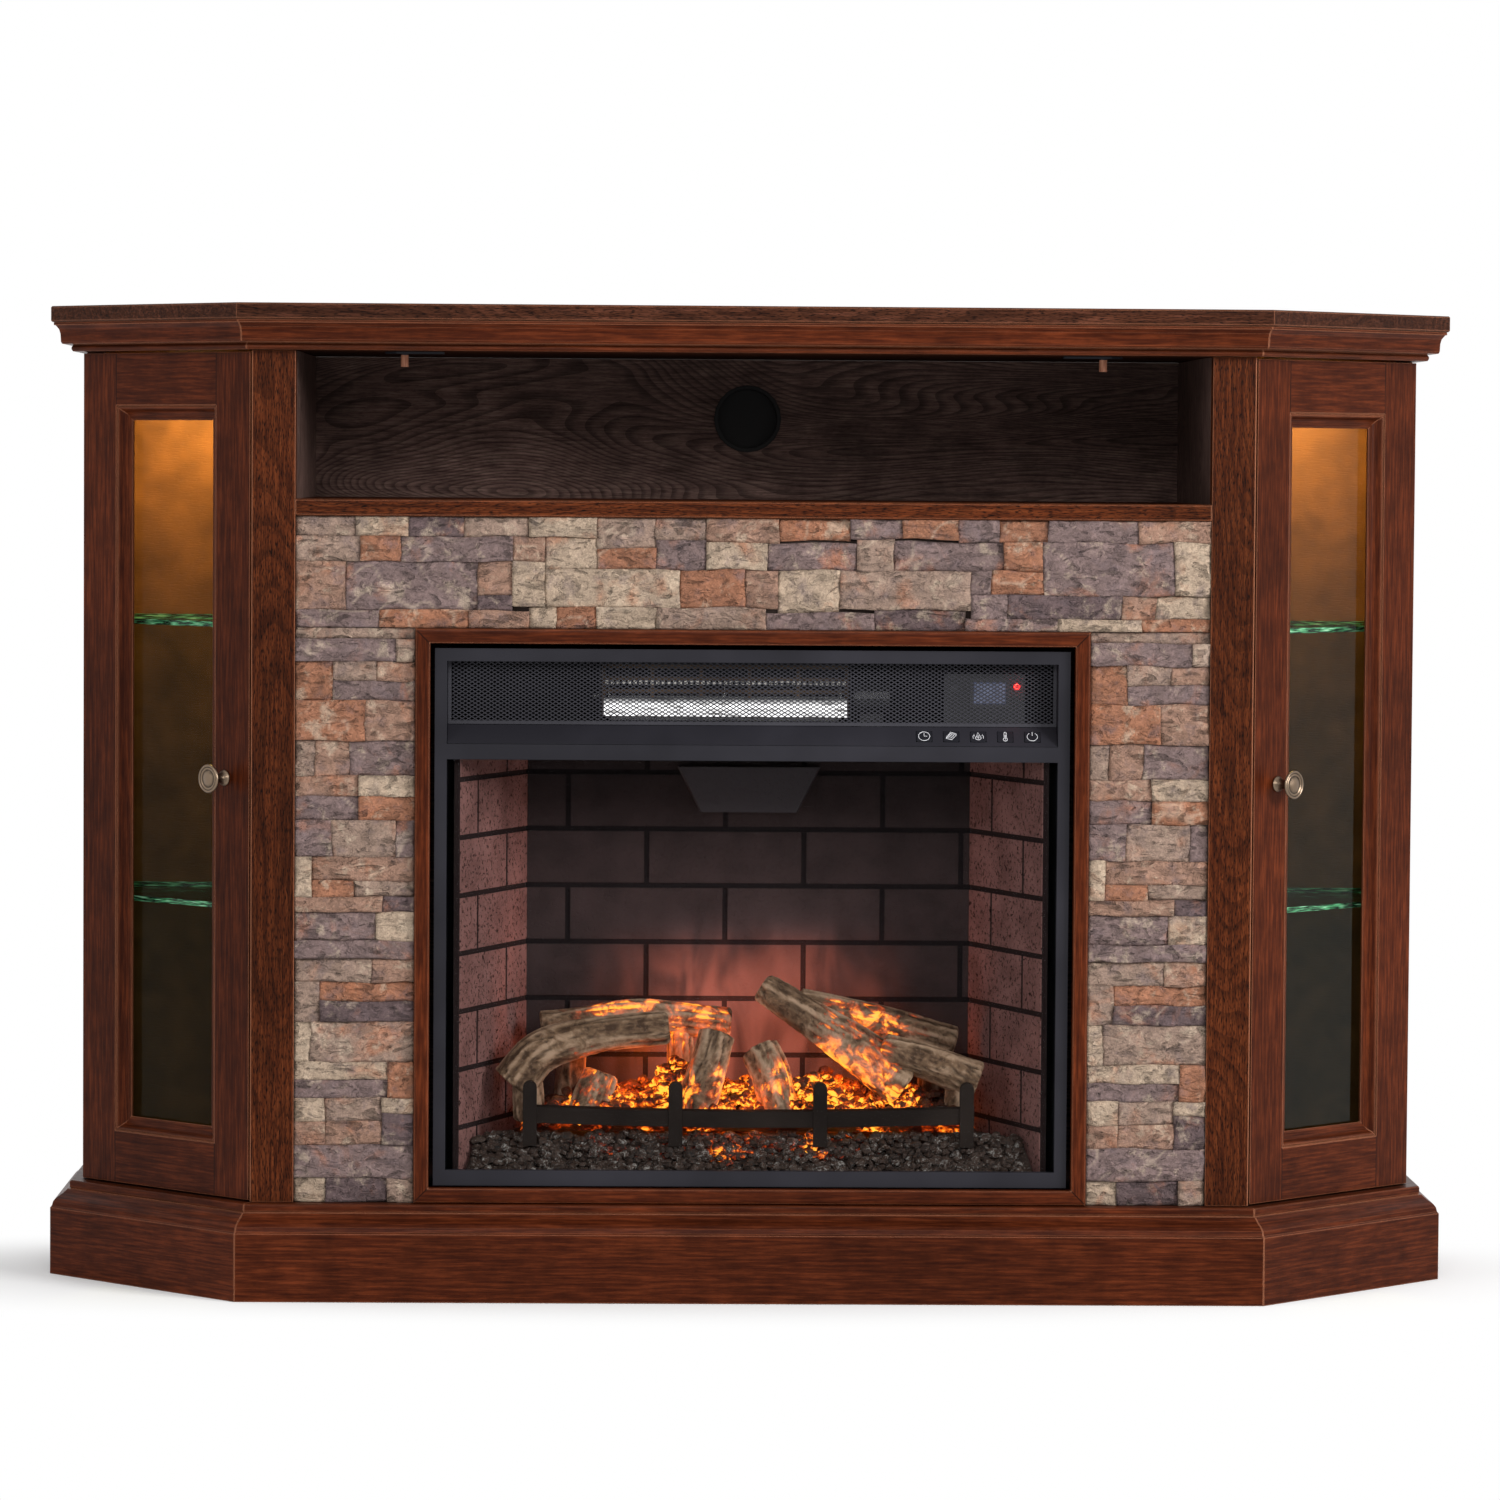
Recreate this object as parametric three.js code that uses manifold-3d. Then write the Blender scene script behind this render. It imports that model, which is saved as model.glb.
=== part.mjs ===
// Corner fireplace: a mantel cabinet with canted, glazed corners round an electric log insert.
// Millimetres. X runs to the right, Y to the back and Z up. The origin is on the floor, in the
// middle of the overall box, and the flat front faces -Y.
import * as THREE from "three";
import { mergeVertices } from "three/addons/utils/BufferGeometryUtils.js";
import Module from "manifold-3d";

const wasm = await Module();
wasm.setup();

// ---------------------------------------------------------------- driving sizes

// Overall box and plan shape
const overallWidth = 1327;
const overallDepth = 400;
const overallHeight = 920;
const cantRun = 170; // each 45 degree corner runs this far back and this far sideways
const mouldingOverhang = 30; // cornice and plinth stand out this far from the carcass
const seat = 0.3; // clearance where one piece rests on, or butts against, another

// Boards of the carcass
const topBoardThickness = 15;
const boardEasing = 1.2;
const corniceHeight = 27.5;
const plinthFaceHeight = 63;
const baseMouldHeight = 25.5;
const roofThickness = 15;
const deckThickness = 15;
const panelThickness = 18;
const backThickness = 6;
const backRecess = 12; // the back panel sits this far in from the rear edges
const pilasterWidth = 40.3;
const pilasterThickness = 20;
const mediaBayHeight = 137;
const mediaShelfThickness = 15.5;

// Doors
const doorThickness = 20;
const doorSideGap = 2.5;
const doorEndGap = 2;
const doorBackGap = 2; // behind the closed door
const stileWidth = 47.5;
const railWidth = 49;
const glassBeadWidth = 14;
const glassBeadDepth = 10.7;
const doorGlassThickness = 4;
const doorGlassEdgeGap = 0.6;
const knobInset = 36.5; // from the door's inner edge line to the knob's axis
const knobHeight = 481;
const knobRadius = 13.4;
const knobProjection = 22;
const hingeInset = 95; // from the door's ends to the hinge centres
const hingeWidth = 18;

// Glass shelves
const shelfGlassThickness = 5;
const lowerShelfTop = 361;
const upperShelfTop = 624.5;
const shelfSetback = 12; // behind the closed door's back
const shelfPinRadius = 2.5;
const shelfPinLength = 8;
const shelfPinFrontInset = 45;
const shelfPinBackInset = 40;

// Media bay fittings
const cableHoleRadius = 31;
const cableHoleDrop = 58; // below the ceiling of the media bay
const accessHalfWidth = 250; // opening in the back panel, behind the insert
const accessRise = 41; // from the base to its lower edge
const accessHeight = 430;
const ceilingPlateOffset = 325; // each side of the middle
const dowelRadius = 3.7;
const dowelDrop = 14;

// Insert, trim and stone
const insertWidth = 588.4;
const insertHeight = 499;
const insertDepth = 220;
const trimWidth = 14;
const trimThickness = 16;
const trimSideGap = 4;
const trimTopGap = 4.5;
const trimBottomGap = 1.7;
const trimProud = 4; // the trim stands in front of the pilasters by this much
const frameSetback = 4; // the insert's frame lies behind the pilasters by this much
const frameSide = 11.3;
const frameTop = 12;
const frameBottom = 14.5;
const frameThickness = 8;
const crossBarHeight = 14.4;
const controlBandHeight = 88.5; // from the cross bar's top to the insert's top
const sheet = 1.5; // sheet steel of the insert
const stoneBacking = 12;
const stoneLeastRelief = 3;
const stoneMostRelief = 7.6;
const stoneJoint = 1.8;

// Firebox
const brickPitch = 54;
const brickLength = 150;
const brickJoint = 5;
const brickRelief = 1.6;
const linerThickness = 5;
const linerFrontHalf = 271.5; // inner faces of the splayed side walls at the glass
const linerBackHalf = 211.8; // and at the back wall
const fireboxDepth = 152;
const trayGap = 7.2; // from the log tray's back corners to the splayed walls
const viewingGlassThickness = 4;

// Heater and controls
const lipRise = 17.2;
const lipRun = 15.7;
const lipThickness = 2.2;
const keyCount = 5;
const keyPitch = 25.1;
const firstKeyX = 159.1;
const keyWidth = 15;
const keyDepth = 13;
const keyProud = 0.4;
const keyTravel = 1;
const grilleThickness = 1.4;
const grillePitchX = 40;
const grillePitchZ = 20;
const grilleStrand = 3.6;
const ductLeft = -142;
const ductRight = 92;
const blowerRadius = 26;
const blowerBlades = 12;
const blowerRise = 53.9; // from the heater deck to the wheel's axis
const blowerSetback = 73; // from the grille's back to the wheel's axis
const display = {
  left: 178, right: 253, height: 49.2,
  windowLeft: 205, windowRight: 236, windowFoot: 20.7, windowHead: 41.7, bezel: 3,
  lampX: 245.6, lampRise: 37.6, sensorX: 187.4, sensorRise: 35.9, // rises are from the grille's foot
};
const shaftRadius = 3;
const rotorRadius = 15;
const rotorTabs = 10;

// ---------------------------------------------------------------- values that follow

const bodyHalf = overallWidth / 2 - mouldingOverhang;
const frontHalf = bodyHalf - cantRun;
const backY = overallDepth / 2;
const frontY = -overallDepth / 2 + mouldingOverhang;
const shoulderY = frontY + cantRun;
const cantLength = cantRun * Math.SQRT2;
const tanHalfCant = Math.tan(Math.PI / 8);

const boardBottom = overallHeight - topBoardThickness;
const corniceBottom = boardBottom - corniceHeight;
const baseTop = plinthFaceHeight + baseMouldHeight;
const backFace = backY - backRecess - backThickness;
const baySideHalf = frontHalf - pilasterWidth;
const partitionOuter = baySideHalf + panelThickness;
const sideInner = bodyHalf - panelThickness;
const uprightTop = corniceBottom - seat;
const uprightBottom = baseTop + seat;
const mediaShelfTop = corniceBottom - mediaBayHeight;
const mediaShelfBottom = mediaShelfTop - mediaShelfThickness;
const cableHoleHeight = corniceBottom - cableHoleDrop;

const doorBottom = baseTop + doorEndGap;
const doorTop = corniceBottom - doorEndGap;

const insertHalf = insertWidth / 2;
const insertBottom = uprightBottom + trimWidth + trimBottomGap;
const insertTop = insertBottom + insertHeight;
const crossBarTop = insertTop - controlBandHeight;
const crossBarBottom = crossBarTop - crossBarHeight;
const frameFront = frontY + frameSetback;
const frameBack = frameFront + frameThickness;
const trimInnerHalf = insertHalf + trimSideGap;
const trimOuterHalf = trimInnerHalf + trimWidth;
const trimInnerTop = insertTop + trimTopGap;
const trimOuterTop = trimInnerTop + trimWidth;

const housingHalf = insertHalf - frameSide + sheet;
const housingFront = frameBack + seat;
const housingBack = housingFront + insertDepth;
const housingTop = insertTop - sheet;
const heaterDeckTop = crossBarBottom + sheet;
const heaterDeckBottom = heaterDeckTop - sheet;
const fireboxFloor = uprightBottom + sheet;
const cavityHalf = housingHalf - sheet;
const viewingGlassFront = housingFront;
const fireboxFront = viewingGlassFront + viewingGlassThickness + seat;
const fireboxBack = fireboxFront + fireboxDepth;

const lipFoot = { y: frameFront + seat, z: crossBarTop + seat };
const lipHead = { y: lipFoot.y + lipRun, z: lipFoot.z + lipRise };
const lipTilt = Math.atan2(lipRun, lipRise); // how far the lip leans back from upright
const grilleFront = lipHead.y;
const grilleBottom = lipHead.z + seat;
const grilleTop = housingTop - sheet - seat;

// ---------------------------------------------------------------- geometry helpers

// A closed body through rings of points that match one to one. The outline is the first ring as
// seen flat, anticlockwise; it caps both ends unless the last ring joins up with the first.
function skin(rings, outline, closed = false) {
  const count = outline.length;
  const positions = rings.flatMap((ring) => ring.flatMap((v) => v.toArray()));
  const index = [];
  const spans = closed ? rings.length : rings.length - 1;
  for (let s = 0; s < spans; s++) {
    const a = s * count;
    const b = ((s + 1) % rings.length) * count;
    for (let i = 0; i < count; i++) {
      const j = (i + 1) % count;
      index.push(a + i, a + j, b + j, a + i, b + j, b + i);
    }
  }
  if (!closed) {
    const last = (rings.length - 1) * count;
    for (const [p, q, r] of THREE.ShapeUtils.triangulateShape(outline, [])) {
      index.push(r, q, p, last + p, last + q, last + r);
    }
  }
  return facingOut(bufferOf(positions, index));
}

function anticlockwise(outline) {
  return THREE.ShapeUtils.isClockWise(outline) ? [...outline].reverse() : outline;
}

// A closed body lofted through stations. Each station places the profile's point (a, b) in space.
function loft(profile, stations, closed = false) {
  const outline = anticlockwise(profile);
  return skin(stations.map((place) => outline.map((p) => place(p.x, p.y))), outline, closed);
}

function bufferOf(positions, index) {
  const geometry = new THREE.BufferGeometry();
  geometry.setAttribute("position", new THREE.Float32BufferAttribute(positions, 3));
  geometry.setIndex(index);
  geometry.computeVertexNormals();
  return geometry;
}

// Turns every face round where a mirrored placement left the body inside out.
function facingOut(geometry) {
  const position = geometry.attributes.position;
  const index = geometry.index.array;
  const corner = [new THREE.Vector3(), new THREE.Vector3(), new THREE.Vector3()];
  let sixVolumes = 0;
  for (let i = 0; i < index.length; i += 3) {
    corner.forEach((v, k) => v.fromBufferAttribute(position, index[i + k]));
    sixVolumes += corner[0].dot(corner[1].clone().cross(corner[2]));
  }
  if (sixVolumes < 0) {
    for (let i = 0; i < index.length; i += 3) {
      [index[i + 1], index[i + 2]] = [index[i + 2], index[i + 1]];
    }
    geometry.computeVertexNormals();
  }
  return geometry;
}

function solidOf(geometry) {
  const bare = geometry.clone();
  bare.deleteAttribute("normal");
  bare.deleteAttribute("uv");
  const merged = mergeVertices(bare);
  return new wasm.Manifold(
    new wasm.Mesh({
      numProp: 3,
      vertProperties: merged.attributes.position.array,
      triVerts: new Uint32Array(merged.index.array),
    }),
  );
}

function geometryOf(solid) {
  const mesh = solid.getMesh();
  return bufferOf(Array.from(mesh.vertProperties), Array.from(mesh.triVerts));
}

function join(...geometries) {
  return geometryOf(geometries.map(solidOf).reduce((whole, piece) => whole.add(piece)));
}

function cut(geometry, ...tools) {
  return geometryOf(tools.map(solidOf).reduce((rest, tool) => rest.subtract(tool), solidOf(geometry)));
}

function box(x0, x1, y0, y1, z0, z1) {
  const geometry = new THREE.BoxGeometry(x1 - x0, y1 - y0, z1 - z0);
  return geometry.translate((x0 + x1) / 2, (y0 + y1) / 2, (z0 + z1) / 2);
}

// The points of an outline drawn with lines and curves.
function drawn(draw, curveSteps = 5) {
  const path = new THREE.Path();
  draw(path);
  return path.getPoints(curveSteps);
}

const points = (...pairs) => pairs.map(([x, y]) => new THREE.Vector2(x, y));

// A board with the plan outline given, its long edges eased where an easing is given.
function board(planAt, z0, z1, easing = 0) {
  const levels = easing
    ? [[z0, -easing], [z0 + easing, 0], [z1 - easing, 0], [z1, -easing]]
    : [[z0, 0], [z1, 0]];
  const ringAt = ([z, grow]) =>
    anticlockwise(planAt(grow)).map((p) => new THREE.Vector3(p.x, p.y, z));
  return skin(levels.map(ringAt), anticlockwise(planAt(levels[0][1])));
}

// A flat plate standing in the XZ plane: the shape's y is height, and depth runs back from frontY.
function standing(shape, front, thickness, curveSteps = 8) {
  const geometry = new THREE.ExtrudeGeometry(shape, {
    depth: thickness,
    bevelEnabled: false,
    curveSegments: curveSteps,
  });
  return geometry.rotateX(Math.PI / 2).translate(0, front + thickness, 0);
}

function rectangle(Kind, x0, x1, z0, z1) {
  const shape = new Kind();
  shape.moveTo(x0, z0);
  shape.lineTo(x1, z0);
  shape.lineTo(x1, z1);
  shape.lineTo(x0, z1);
  shape.closePath();
  return shape;
}

// A prism along X whose section is given in (y, z).
function alongX(section, x0, x1) {
  const at = (x) => (y, z) => new THREE.Vector3(x, y, z);
  return loft(section, [at(x0), at(x1)]);
}

function rodAlongX(radius, x0, x1, y, z, sides = 10) {
  const circle = [];
  for (let i = 0; i < sides; i++) {
    const angle = (2 * Math.PI * i) / sides;
    circle.push(new THREE.Vector2(y + radius * Math.cos(angle), z + radius * Math.sin(angle)));
  }
  return alongX(circle, x0, x1);
}

// Repeatable irregularity between 0 and 1, for stone and bark.
function unevenness(seed) {
  let state = seed;
  return () => {
    state = (state * 16807) % 2147483647;
    return state / 2147483647;
  };
}

const fireplace = new THREE.Group();

function finish(color, roughness, metalness = 0) {
  return new THREE.MeshStandardMaterial({ color, roughness, metalness });
}

function addPiece(name, geometry, material, parent = fireplace) {
  const mesh = new THREE.Mesh(geometry, material);
  mesh.name = name;
  parent.add(mesh);
  return mesh;
}

const sideName = (side) => (side < 0 ? "left" : "right");

// ---------------------------------------------------------------- finishes

const oak = () => finish(0x6b3016, 0.42);
const darkOak = () => finish(0x1d1210, 0.5);
const carcassBoard = () => finish(0x4a2415, 0.55);
const clearGlass = () => finish(0xb9c4bd, 0.05);
const agedNickel = () => finish(0x8d8378, 0.38, 0.9);
const blackSheet = () => finish(0x1b1b1d, 0.5, 0.3);
const brightSheet = () => finish(0xd9d6d0, 0.25, 0.9);
const stackedStone = () => finish(0x8d7568, 0.9);
const brick = () => finish(0x7b5f54, 0.85);

// ---------------------------------------------------------------- plan of the carcass

// The body outline moved out by offset, from back left round the front to back right.
function bodyPlan(offset, rear = backY) {
  const right = [
    new THREE.Vector2(frontHalf + offset * tanHalfCant, frontY - offset),
    new THREE.Vector2(bodyHalf + offset, shoulderY - offset * tanHalfCant),
    new THREE.Vector2(bodyHalf + offset, rear),
  ];
  const left = right.map((p) => new THREE.Vector2(-p.x, p.y)).reverse();
  return [...left, ...right];
}

// Stations of a moulding, whose profile is (distance out from the body, height).
function frontCornerStation(side, shift = 0) {
  return (out, z) =>
    new THREE.Vector3(side * (frontHalf + out * tanHalfCant - shift), frontY - out, z);
}
function cantStartStation(side, shift) {
  const step = shift / Math.SQRT2;
  return (out, z) =>
    new THREE.Vector3(side * (frontHalf + out * tanHalfCant + step), frontY - out + step, z);
}
function shoulderStation(side) {
  return (out, z) =>
    new THREE.Vector3(side * (bodyHalf + out), shoulderY - out * tanHalfCant, z);
}
function rearStation(side) {
  return (out, z) => new THREE.Vector3(side * (bodyHalf + out), backY, z);
}

// One moulding in three mitred runs: the front, and a cant with its side return on each side.
function addMoulding(name, profile, material) {
  const front = loft(profile, [frontCornerStation(-1, seat / 2), frontCornerStation(1, seat / 2)]);
  addPiece(`front_${name}`, front, material());
  for (const side of [-1, 1]) {
    const run = [cantStartStation(side, seat / 2), shoulderStation(side), rearStation(side)];
    addPiece(`${sideName(side)}_${name}`, loft(profile, run), material());
  }
}

// Bead at the foot, then a quirk, then an ogee that swells out to the fillet under the top board.
function corniceProfile() {
  const foot = corniceBottom;
  const head = boardBottom - seat;
  const beadHeight = 5.8;
  const beadOut = 11.5;
  const quirkOut = 10;
  const ogeeFootOut = 20;
  const ogeeHeadOut = 26;
  const filletOut = 27.5;
  const filletHeight = 2.6;
  const quirkHeight = 1.2;
  return drawn((path) => {
    path.moveTo(0, foot);
    path.lineTo(quirkOut, foot);
    path.quadraticCurveTo(beadOut + 1.5, foot + beadHeight / 2, quirkOut, foot + beadHeight);
    path.lineTo(quirkOut, foot + beadHeight + quirkHeight);
    path.lineTo(ogeeFootOut, foot + beadHeight + quirkHeight);
    const ogeeFoot = foot + beadHeight + quirkHeight;
    const ogeeHead = head - filletHeight;
    const middle = (ogeeFoot + ogeeHead) / 2;
    path.bezierCurveTo(
      ogeeFootOut + 3, ogeeFoot + 2,
      ogeeFootOut - 1.5, middle + 3,
      ogeeHeadOut, ogeeHead,
    );
    path.lineTo(filletOut, ogeeHead);
    path.lineTo(filletOut, head);
    path.lineTo(0, head);
  });
}

// Plain plinth board with an ogee and a top bead, worked in one section.
function plinthProfile() {
  const faceOut = mouldingOverhang;
  const beadFoot = baseTop - 7.2;
  const beadOut = 12;
  const ogeeFootOut = mouldingOverhang - 1.5;
  const ogeeFoot = plinthFaceHeight + 1.5;
  const ogeeHeadOut = beadOut + 2;
  return drawn((path) => {
    path.moveTo(0, 0);
    path.lineTo(faceOut, 0);
    path.lineTo(faceOut, plinthFaceHeight);
    path.lineTo(ogeeFootOut, ogeeFoot);
    path.bezierCurveTo(
      ogeeFootOut - 1, ogeeFoot + 9,
      ogeeHeadOut + 7, beadFoot - 9,
      ogeeHeadOut, beadFoot - 1,
    );
    path.lineTo(beadOut - 0.5, beadFoot - 1);
    path.lineTo(beadOut - 0.5, beadFoot);
    path.lineTo(beadOut, beadFoot + 1);
    path.lineTo(beadOut, baseTop - 2.5);
    path.quadraticCurveTo(beadOut, baseTop, beadOut - 2.5, baseTop);
    path.lineTo(0, baseTop);
  });
}

function addTopAndBase() {
  const top = board((grow) => bodyPlan(mouldingOverhang + grow), boardBottom, overallHeight, boardEasing);
  addPiece("mantel_top", top, oak());
  addMoulding("cornice", corniceProfile(), oak);
  addMoulding("plinth", plinthProfile(), oak);

  const roof = board(() => bodyPlan(-seat), corniceBottom, corniceBottom + roofThickness);
  addPiece("roof_panel", roof, carcassBoard());
  addPiece("base_deck", baseDeck(), carcassBoard());
}

// The deck fills the plan between the plinth runs, notched round the side panels, and stands on
// two bearers under the partitions.
function baseDeck() {
  const deckBottom = baseTop - deckThickness;
  const rear = backFace + backThickness;
  const plate = board(() => bodyPlan(-seat, rear), deckBottom, baseTop);
  const notches = [-1, 1].map((side) => sidePanelBlank(side, seat, deckBottom - 1, baseTop + 1));
  const bearers = [-1, 1].map((side) => {
    const inner = side * baySideHalf;
    const outer = side * partitionOuter;
    const reach = frontY + pilasterThickness;
    return box(Math.min(inner, outer), Math.max(inner, outer), reach, rear, 0, deckBottom + 1);
  });
  return join(cut(plate, ...notches), ...bearers);
}

// ---------------------------------------------------------------- carcass uprights

// Where a line parallel to the cant, sunk by depth behind the door face, meets the plane |x| = x.
function cantLineY(x, depth) {
  return x - frontHalf + frontY + depth * Math.SQRT2;
}

// Side panel as a plan outline run up from z0 to z1, grown all round by margin.
function sidePanelBlank(side, margin, z0, z1) {
  const depth = doorThickness + doorBackGap;
  const outer = bodyHalf + margin;
  const inner = sideInner - margin;
  const bevelShift = margin * Math.SQRT2;
  const rear = backY + margin * 10;
  const plan = points(
    [side * outer, cantLineY(outer, depth) - bevelShift],
    [side * outer, rear],
    [side * inner, rear],
    [side * inner, cantLineY(inner, depth) - bevelShift],
  );
  return board(() => plan, z0, z1);
}

function shelfPins(face, direction, frontmost) {
  const heights = [lowerShelfTop, upperShelfTop].map(
    (top) => top - shelfGlassThickness - shelfPinRadius - seat,
  );
  const depths = [frontmost + shelfPinFrontInset, backFace - shelfPinBackInset];
  return heights.flatMap((z) =>
    depths.map((y) => {
      const root = face - direction;
      const tip = face + direction * shelfPinLength;
      return rodAlongX(shelfPinRadius, Math.min(root, tip), Math.max(root, tip), y, z, 8);
    }),
  );
}

function addUprights() {
  for (const side of [-1, 1]) {
    const name = sideName(side);
    const sidePanel = join(
      sidePanelBlank(side, 0, 0, uprightTop),
      ...shelfPins(side * sideInner, -side, cantLineY(sideInner, doorThickness)),
    );
    addPiece(`${name}_side_panel`, sidePanel, oak());

    const inner = side * baySideHalf;
    const outer = side * partitionOuter;
    const partitionFront = frontY + pilasterThickness + seat;
    const partition = join(
      box(Math.min(inner, outer), Math.max(inner, outer), partitionFront, backFace - seat,
        uprightBottom, uprightTop),
      ...shelfPins(outer, side, cantLineY(partitionOuter, doorThickness)),
    );
    addPiece(`${name}_partition`, partition, darkOak());
    addPiece(`${name}_pilaster`, pilaster(side), oak());
  }
}

// The pilaster's outer edge is bevelled square to the cant, so that the door's edge lies along it.
function pilaster(side) {
  const bevel = doorThickness / Math.SQRT2;
  const plan = (grow) => points(
    [side * (baySideHalf - grow), frontY - grow],
    [side * (frontHalf + grow), frontY - grow],
    [side * (frontHalf - bevel + grow), frontY + bevel],
    [side * (frontHalf - bevel + grow), frontY + pilasterThickness + grow],
    [side * (baySideHalf - grow), frontY + pilasterThickness + grow],
  );
  return board(plan, uprightBottom, uprightTop, boardEasing / 2);
}

// One sheet across the back with the cable hole, and open behind the insert for air and access.
function backPanel() {
  const accessBottom = baseTop + accessRise;
  const sheetShape = rectangle(THREE.Shape, -sideInner + seat, sideInner - seat, uprightBottom, uprightTop);
  sheetShape.holes.push(rectangle(
    THREE.Path, -accessHalfWidth, accessHalfWidth, accessBottom, accessBottom + accessHeight,
  ));
  const cableHole = new THREE.Path();
  cableHole.absarc(0, cableHoleHeight, cableHoleRadius, 0, 2 * Math.PI, true);
  sheetShape.holes.push(cableHole);
  return standing(sheetShape, backFace, backThickness, 12);
}

function addBayFittings() {
  addPiece("back_panel", backPanel(), darkOak());

  const easing = boardEasing;
  const shelfPlan = (grow) => points(
    [-baySideHalf + seat, frontY - grow],
    [baySideHalf - seat, frontY - grow],
    [baySideHalf - seat, backFace - seat],
    [-baySideHalf + seat, backFace - seat],
  );
  addPiece("media_shelf", board(shelfPlan, mediaShelfBottom, mediaShelfTop, easing), oak());
  addPiece("cable_grommet", cableGrommet(), finish(0x141212, 0.55));
  for (const side of [-1, 1]) {
    addPiece(`${sideName(side)}_ceiling_plate`, ceilingPlate(side), blackSheet());
  }
}

// A blind cup that lines the cable hole, with a thin lip in front of the panel.
function cableGrommet() {
  const lip = 1.2;
  const wall = 1.6;
  const depth = 14;
  const sleeve = cableHoleRadius - seat;
  const profile = points(
    [0, depth], [sleeve, depth], [sleeve, -seat],
    [cableHoleRadius + 2, -seat], [cableHoleRadius + 2, -seat - lip], [sleeve - wall, -seat - lip],
    [sleeve - wall, depth - wall], [0, depth - wall],
  );
  const cup = new THREE.LatheGeometry(profile, 20);
  return facingOut(mergeVertices(bareOf(cup))).translate(0, backFace, cableHoleHeight);
}

function bareOf(geometry) {
  geometry.deleteAttribute("normal");
  geometry.deleteAttribute("uv");
  return geometry;
}

// Small tapered plate under the ceiling of the media bay, with a dowel standing down from it.
function ceilingPlate(side) {
  const thickness = 2;
  const innerReach = 37;
  const outerReach = 18;
  const halfWidth = 10;
  const front = frontY + 40;
  const plateTop = corniceBottom - seat;
  const x = side * ceilingPlateOffset;
  const plan = points(
    [x - side * innerReach, front],
    [x + side * outerReach * 0.4, front],
    [x + side * outerReach, front + halfWidth],
    [x + side * outerReach, front + 2 * halfWidth],
    [x - side * innerReach, front + 2 * halfWidth],
  );
  const plate = board(() => plan, plateTop - thickness, plateTop);
  const dowel = new THREE.CylinderGeometry(dowelRadius, dowelRadius, dowelDrop, 12)
    .rotateX(Math.PI / 2)
    .translate(x, front + halfWidth, plateTop - dowelDrop / 2);
  return join(plate, dowel);
}

// ---------------------------------------------------------------- glass shelves and lights

function addShelvesAndLights() {
  const front = doorThickness + shelfSetback;
  for (const side of [-1, 1]) {
    const inner = partitionOuter + seat + 0.5;
    const outer = sideInner - seat - 0.5;
    const plan = points(
      [side * inner, cantLineY(inner, front)],
      [side * outer, cantLineY(outer, front)],
      [side * outer, backFace - seat],
      [side * inner, backFace - seat],
    );
    const levels = { lower: lowerShelfTop, upper: upperShelfTop };
    for (const [level, top] of Object.entries(levels)) {
      const shelf = board(() => plan, top - shelfGlassThickness, top);
      addPiece(`${sideName(side)}_${level}_glass_shelf`, shelf, clearGlass());
    }
    addPiece(`${sideName(side)}_cabinet_light`, puckLight(side), finish(0xf3e2bd, 0.4));
  }
}

// Shallow round lamp screwed up under the roof of each cabinet.
function puckLight(side) {
  const radius = 30;
  const height = 11;
  const profile = points(
    [0, 0], [radius, 0], [radius, -height + 3], [radius - 3, -height],
    [radius - 7, -height], [radius - 8, -height + 1.5], [0, -height + 1.5],
  );
  const lamp = new THREE.LatheGeometry(profile, 16).rotateX(Math.PI / 2);
  return facingOut(mergeVertices(bareOf(lamp)))
    .translate(side * (sideInner + partitionOuter) / 2, backFace / 2, corniceBottom - seat);
}

// ---------------------------------------------------------------- doors

// Each door is built along its canted face: x runs from the pilaster to the side, y is the depth
// behind the door's face. The outer edge is bevelled to lie flush with the side panel.
function addDoor(side) {
  const door = new THREE.Group();
  door.position.set(side * frontHalf, frontY, 0);
  door.rotation.z = side * Math.PI / 4;
  fireplace.add(door);

  const name = sideName(side);
  addPiece(`${name}_door_frame`, doorFrame(side), oak(), door);
  addPiece(`${name}_door_glass`, doorGlass(side), clearGlass(), door);
  addPiece(`${name}_knob`, ringKnob(side), agedNickel(), door);
}

const doorOpening = {
  inner: doorSideGap + stileWidth,
  outer: cantLength - stileWidth,
  bottom: doorBottom + railWidth,
  top: doorTop - railWidth,
};

function doorFrame(side) {
  const slabPlan = points(
    [side * doorSideGap, 0],
    [side * cantLength, 0],
    [side * (cantLength + doorThickness), doorThickness],
    [side * doorSideGap, doorThickness],
  );
  const slab = board(() => slabPlan, doorBottom, doorTop);
  const { inner, outer, bottom, top } = doorOpening;
  const opening = box(
    Math.min(side * inner, side * outer), Math.max(side * inner, side * outer),
    -1, doorThickness + 1, bottom, top,
  );
  const hingeCups = hingeHeights().map((z) => {
    const cupRadius = 17.5;
    const cupDepth = 11;
    const cupCentre = cantLength - 22;
    return new THREE.CylinderGeometry(cupRadius, cupRadius, cupDepth * 2, 20)
      .translate(side * cupCentre, doorThickness, z);
  });
  return join(cut(slab, opening, ...hingeCups), glassBead(side));
}

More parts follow.
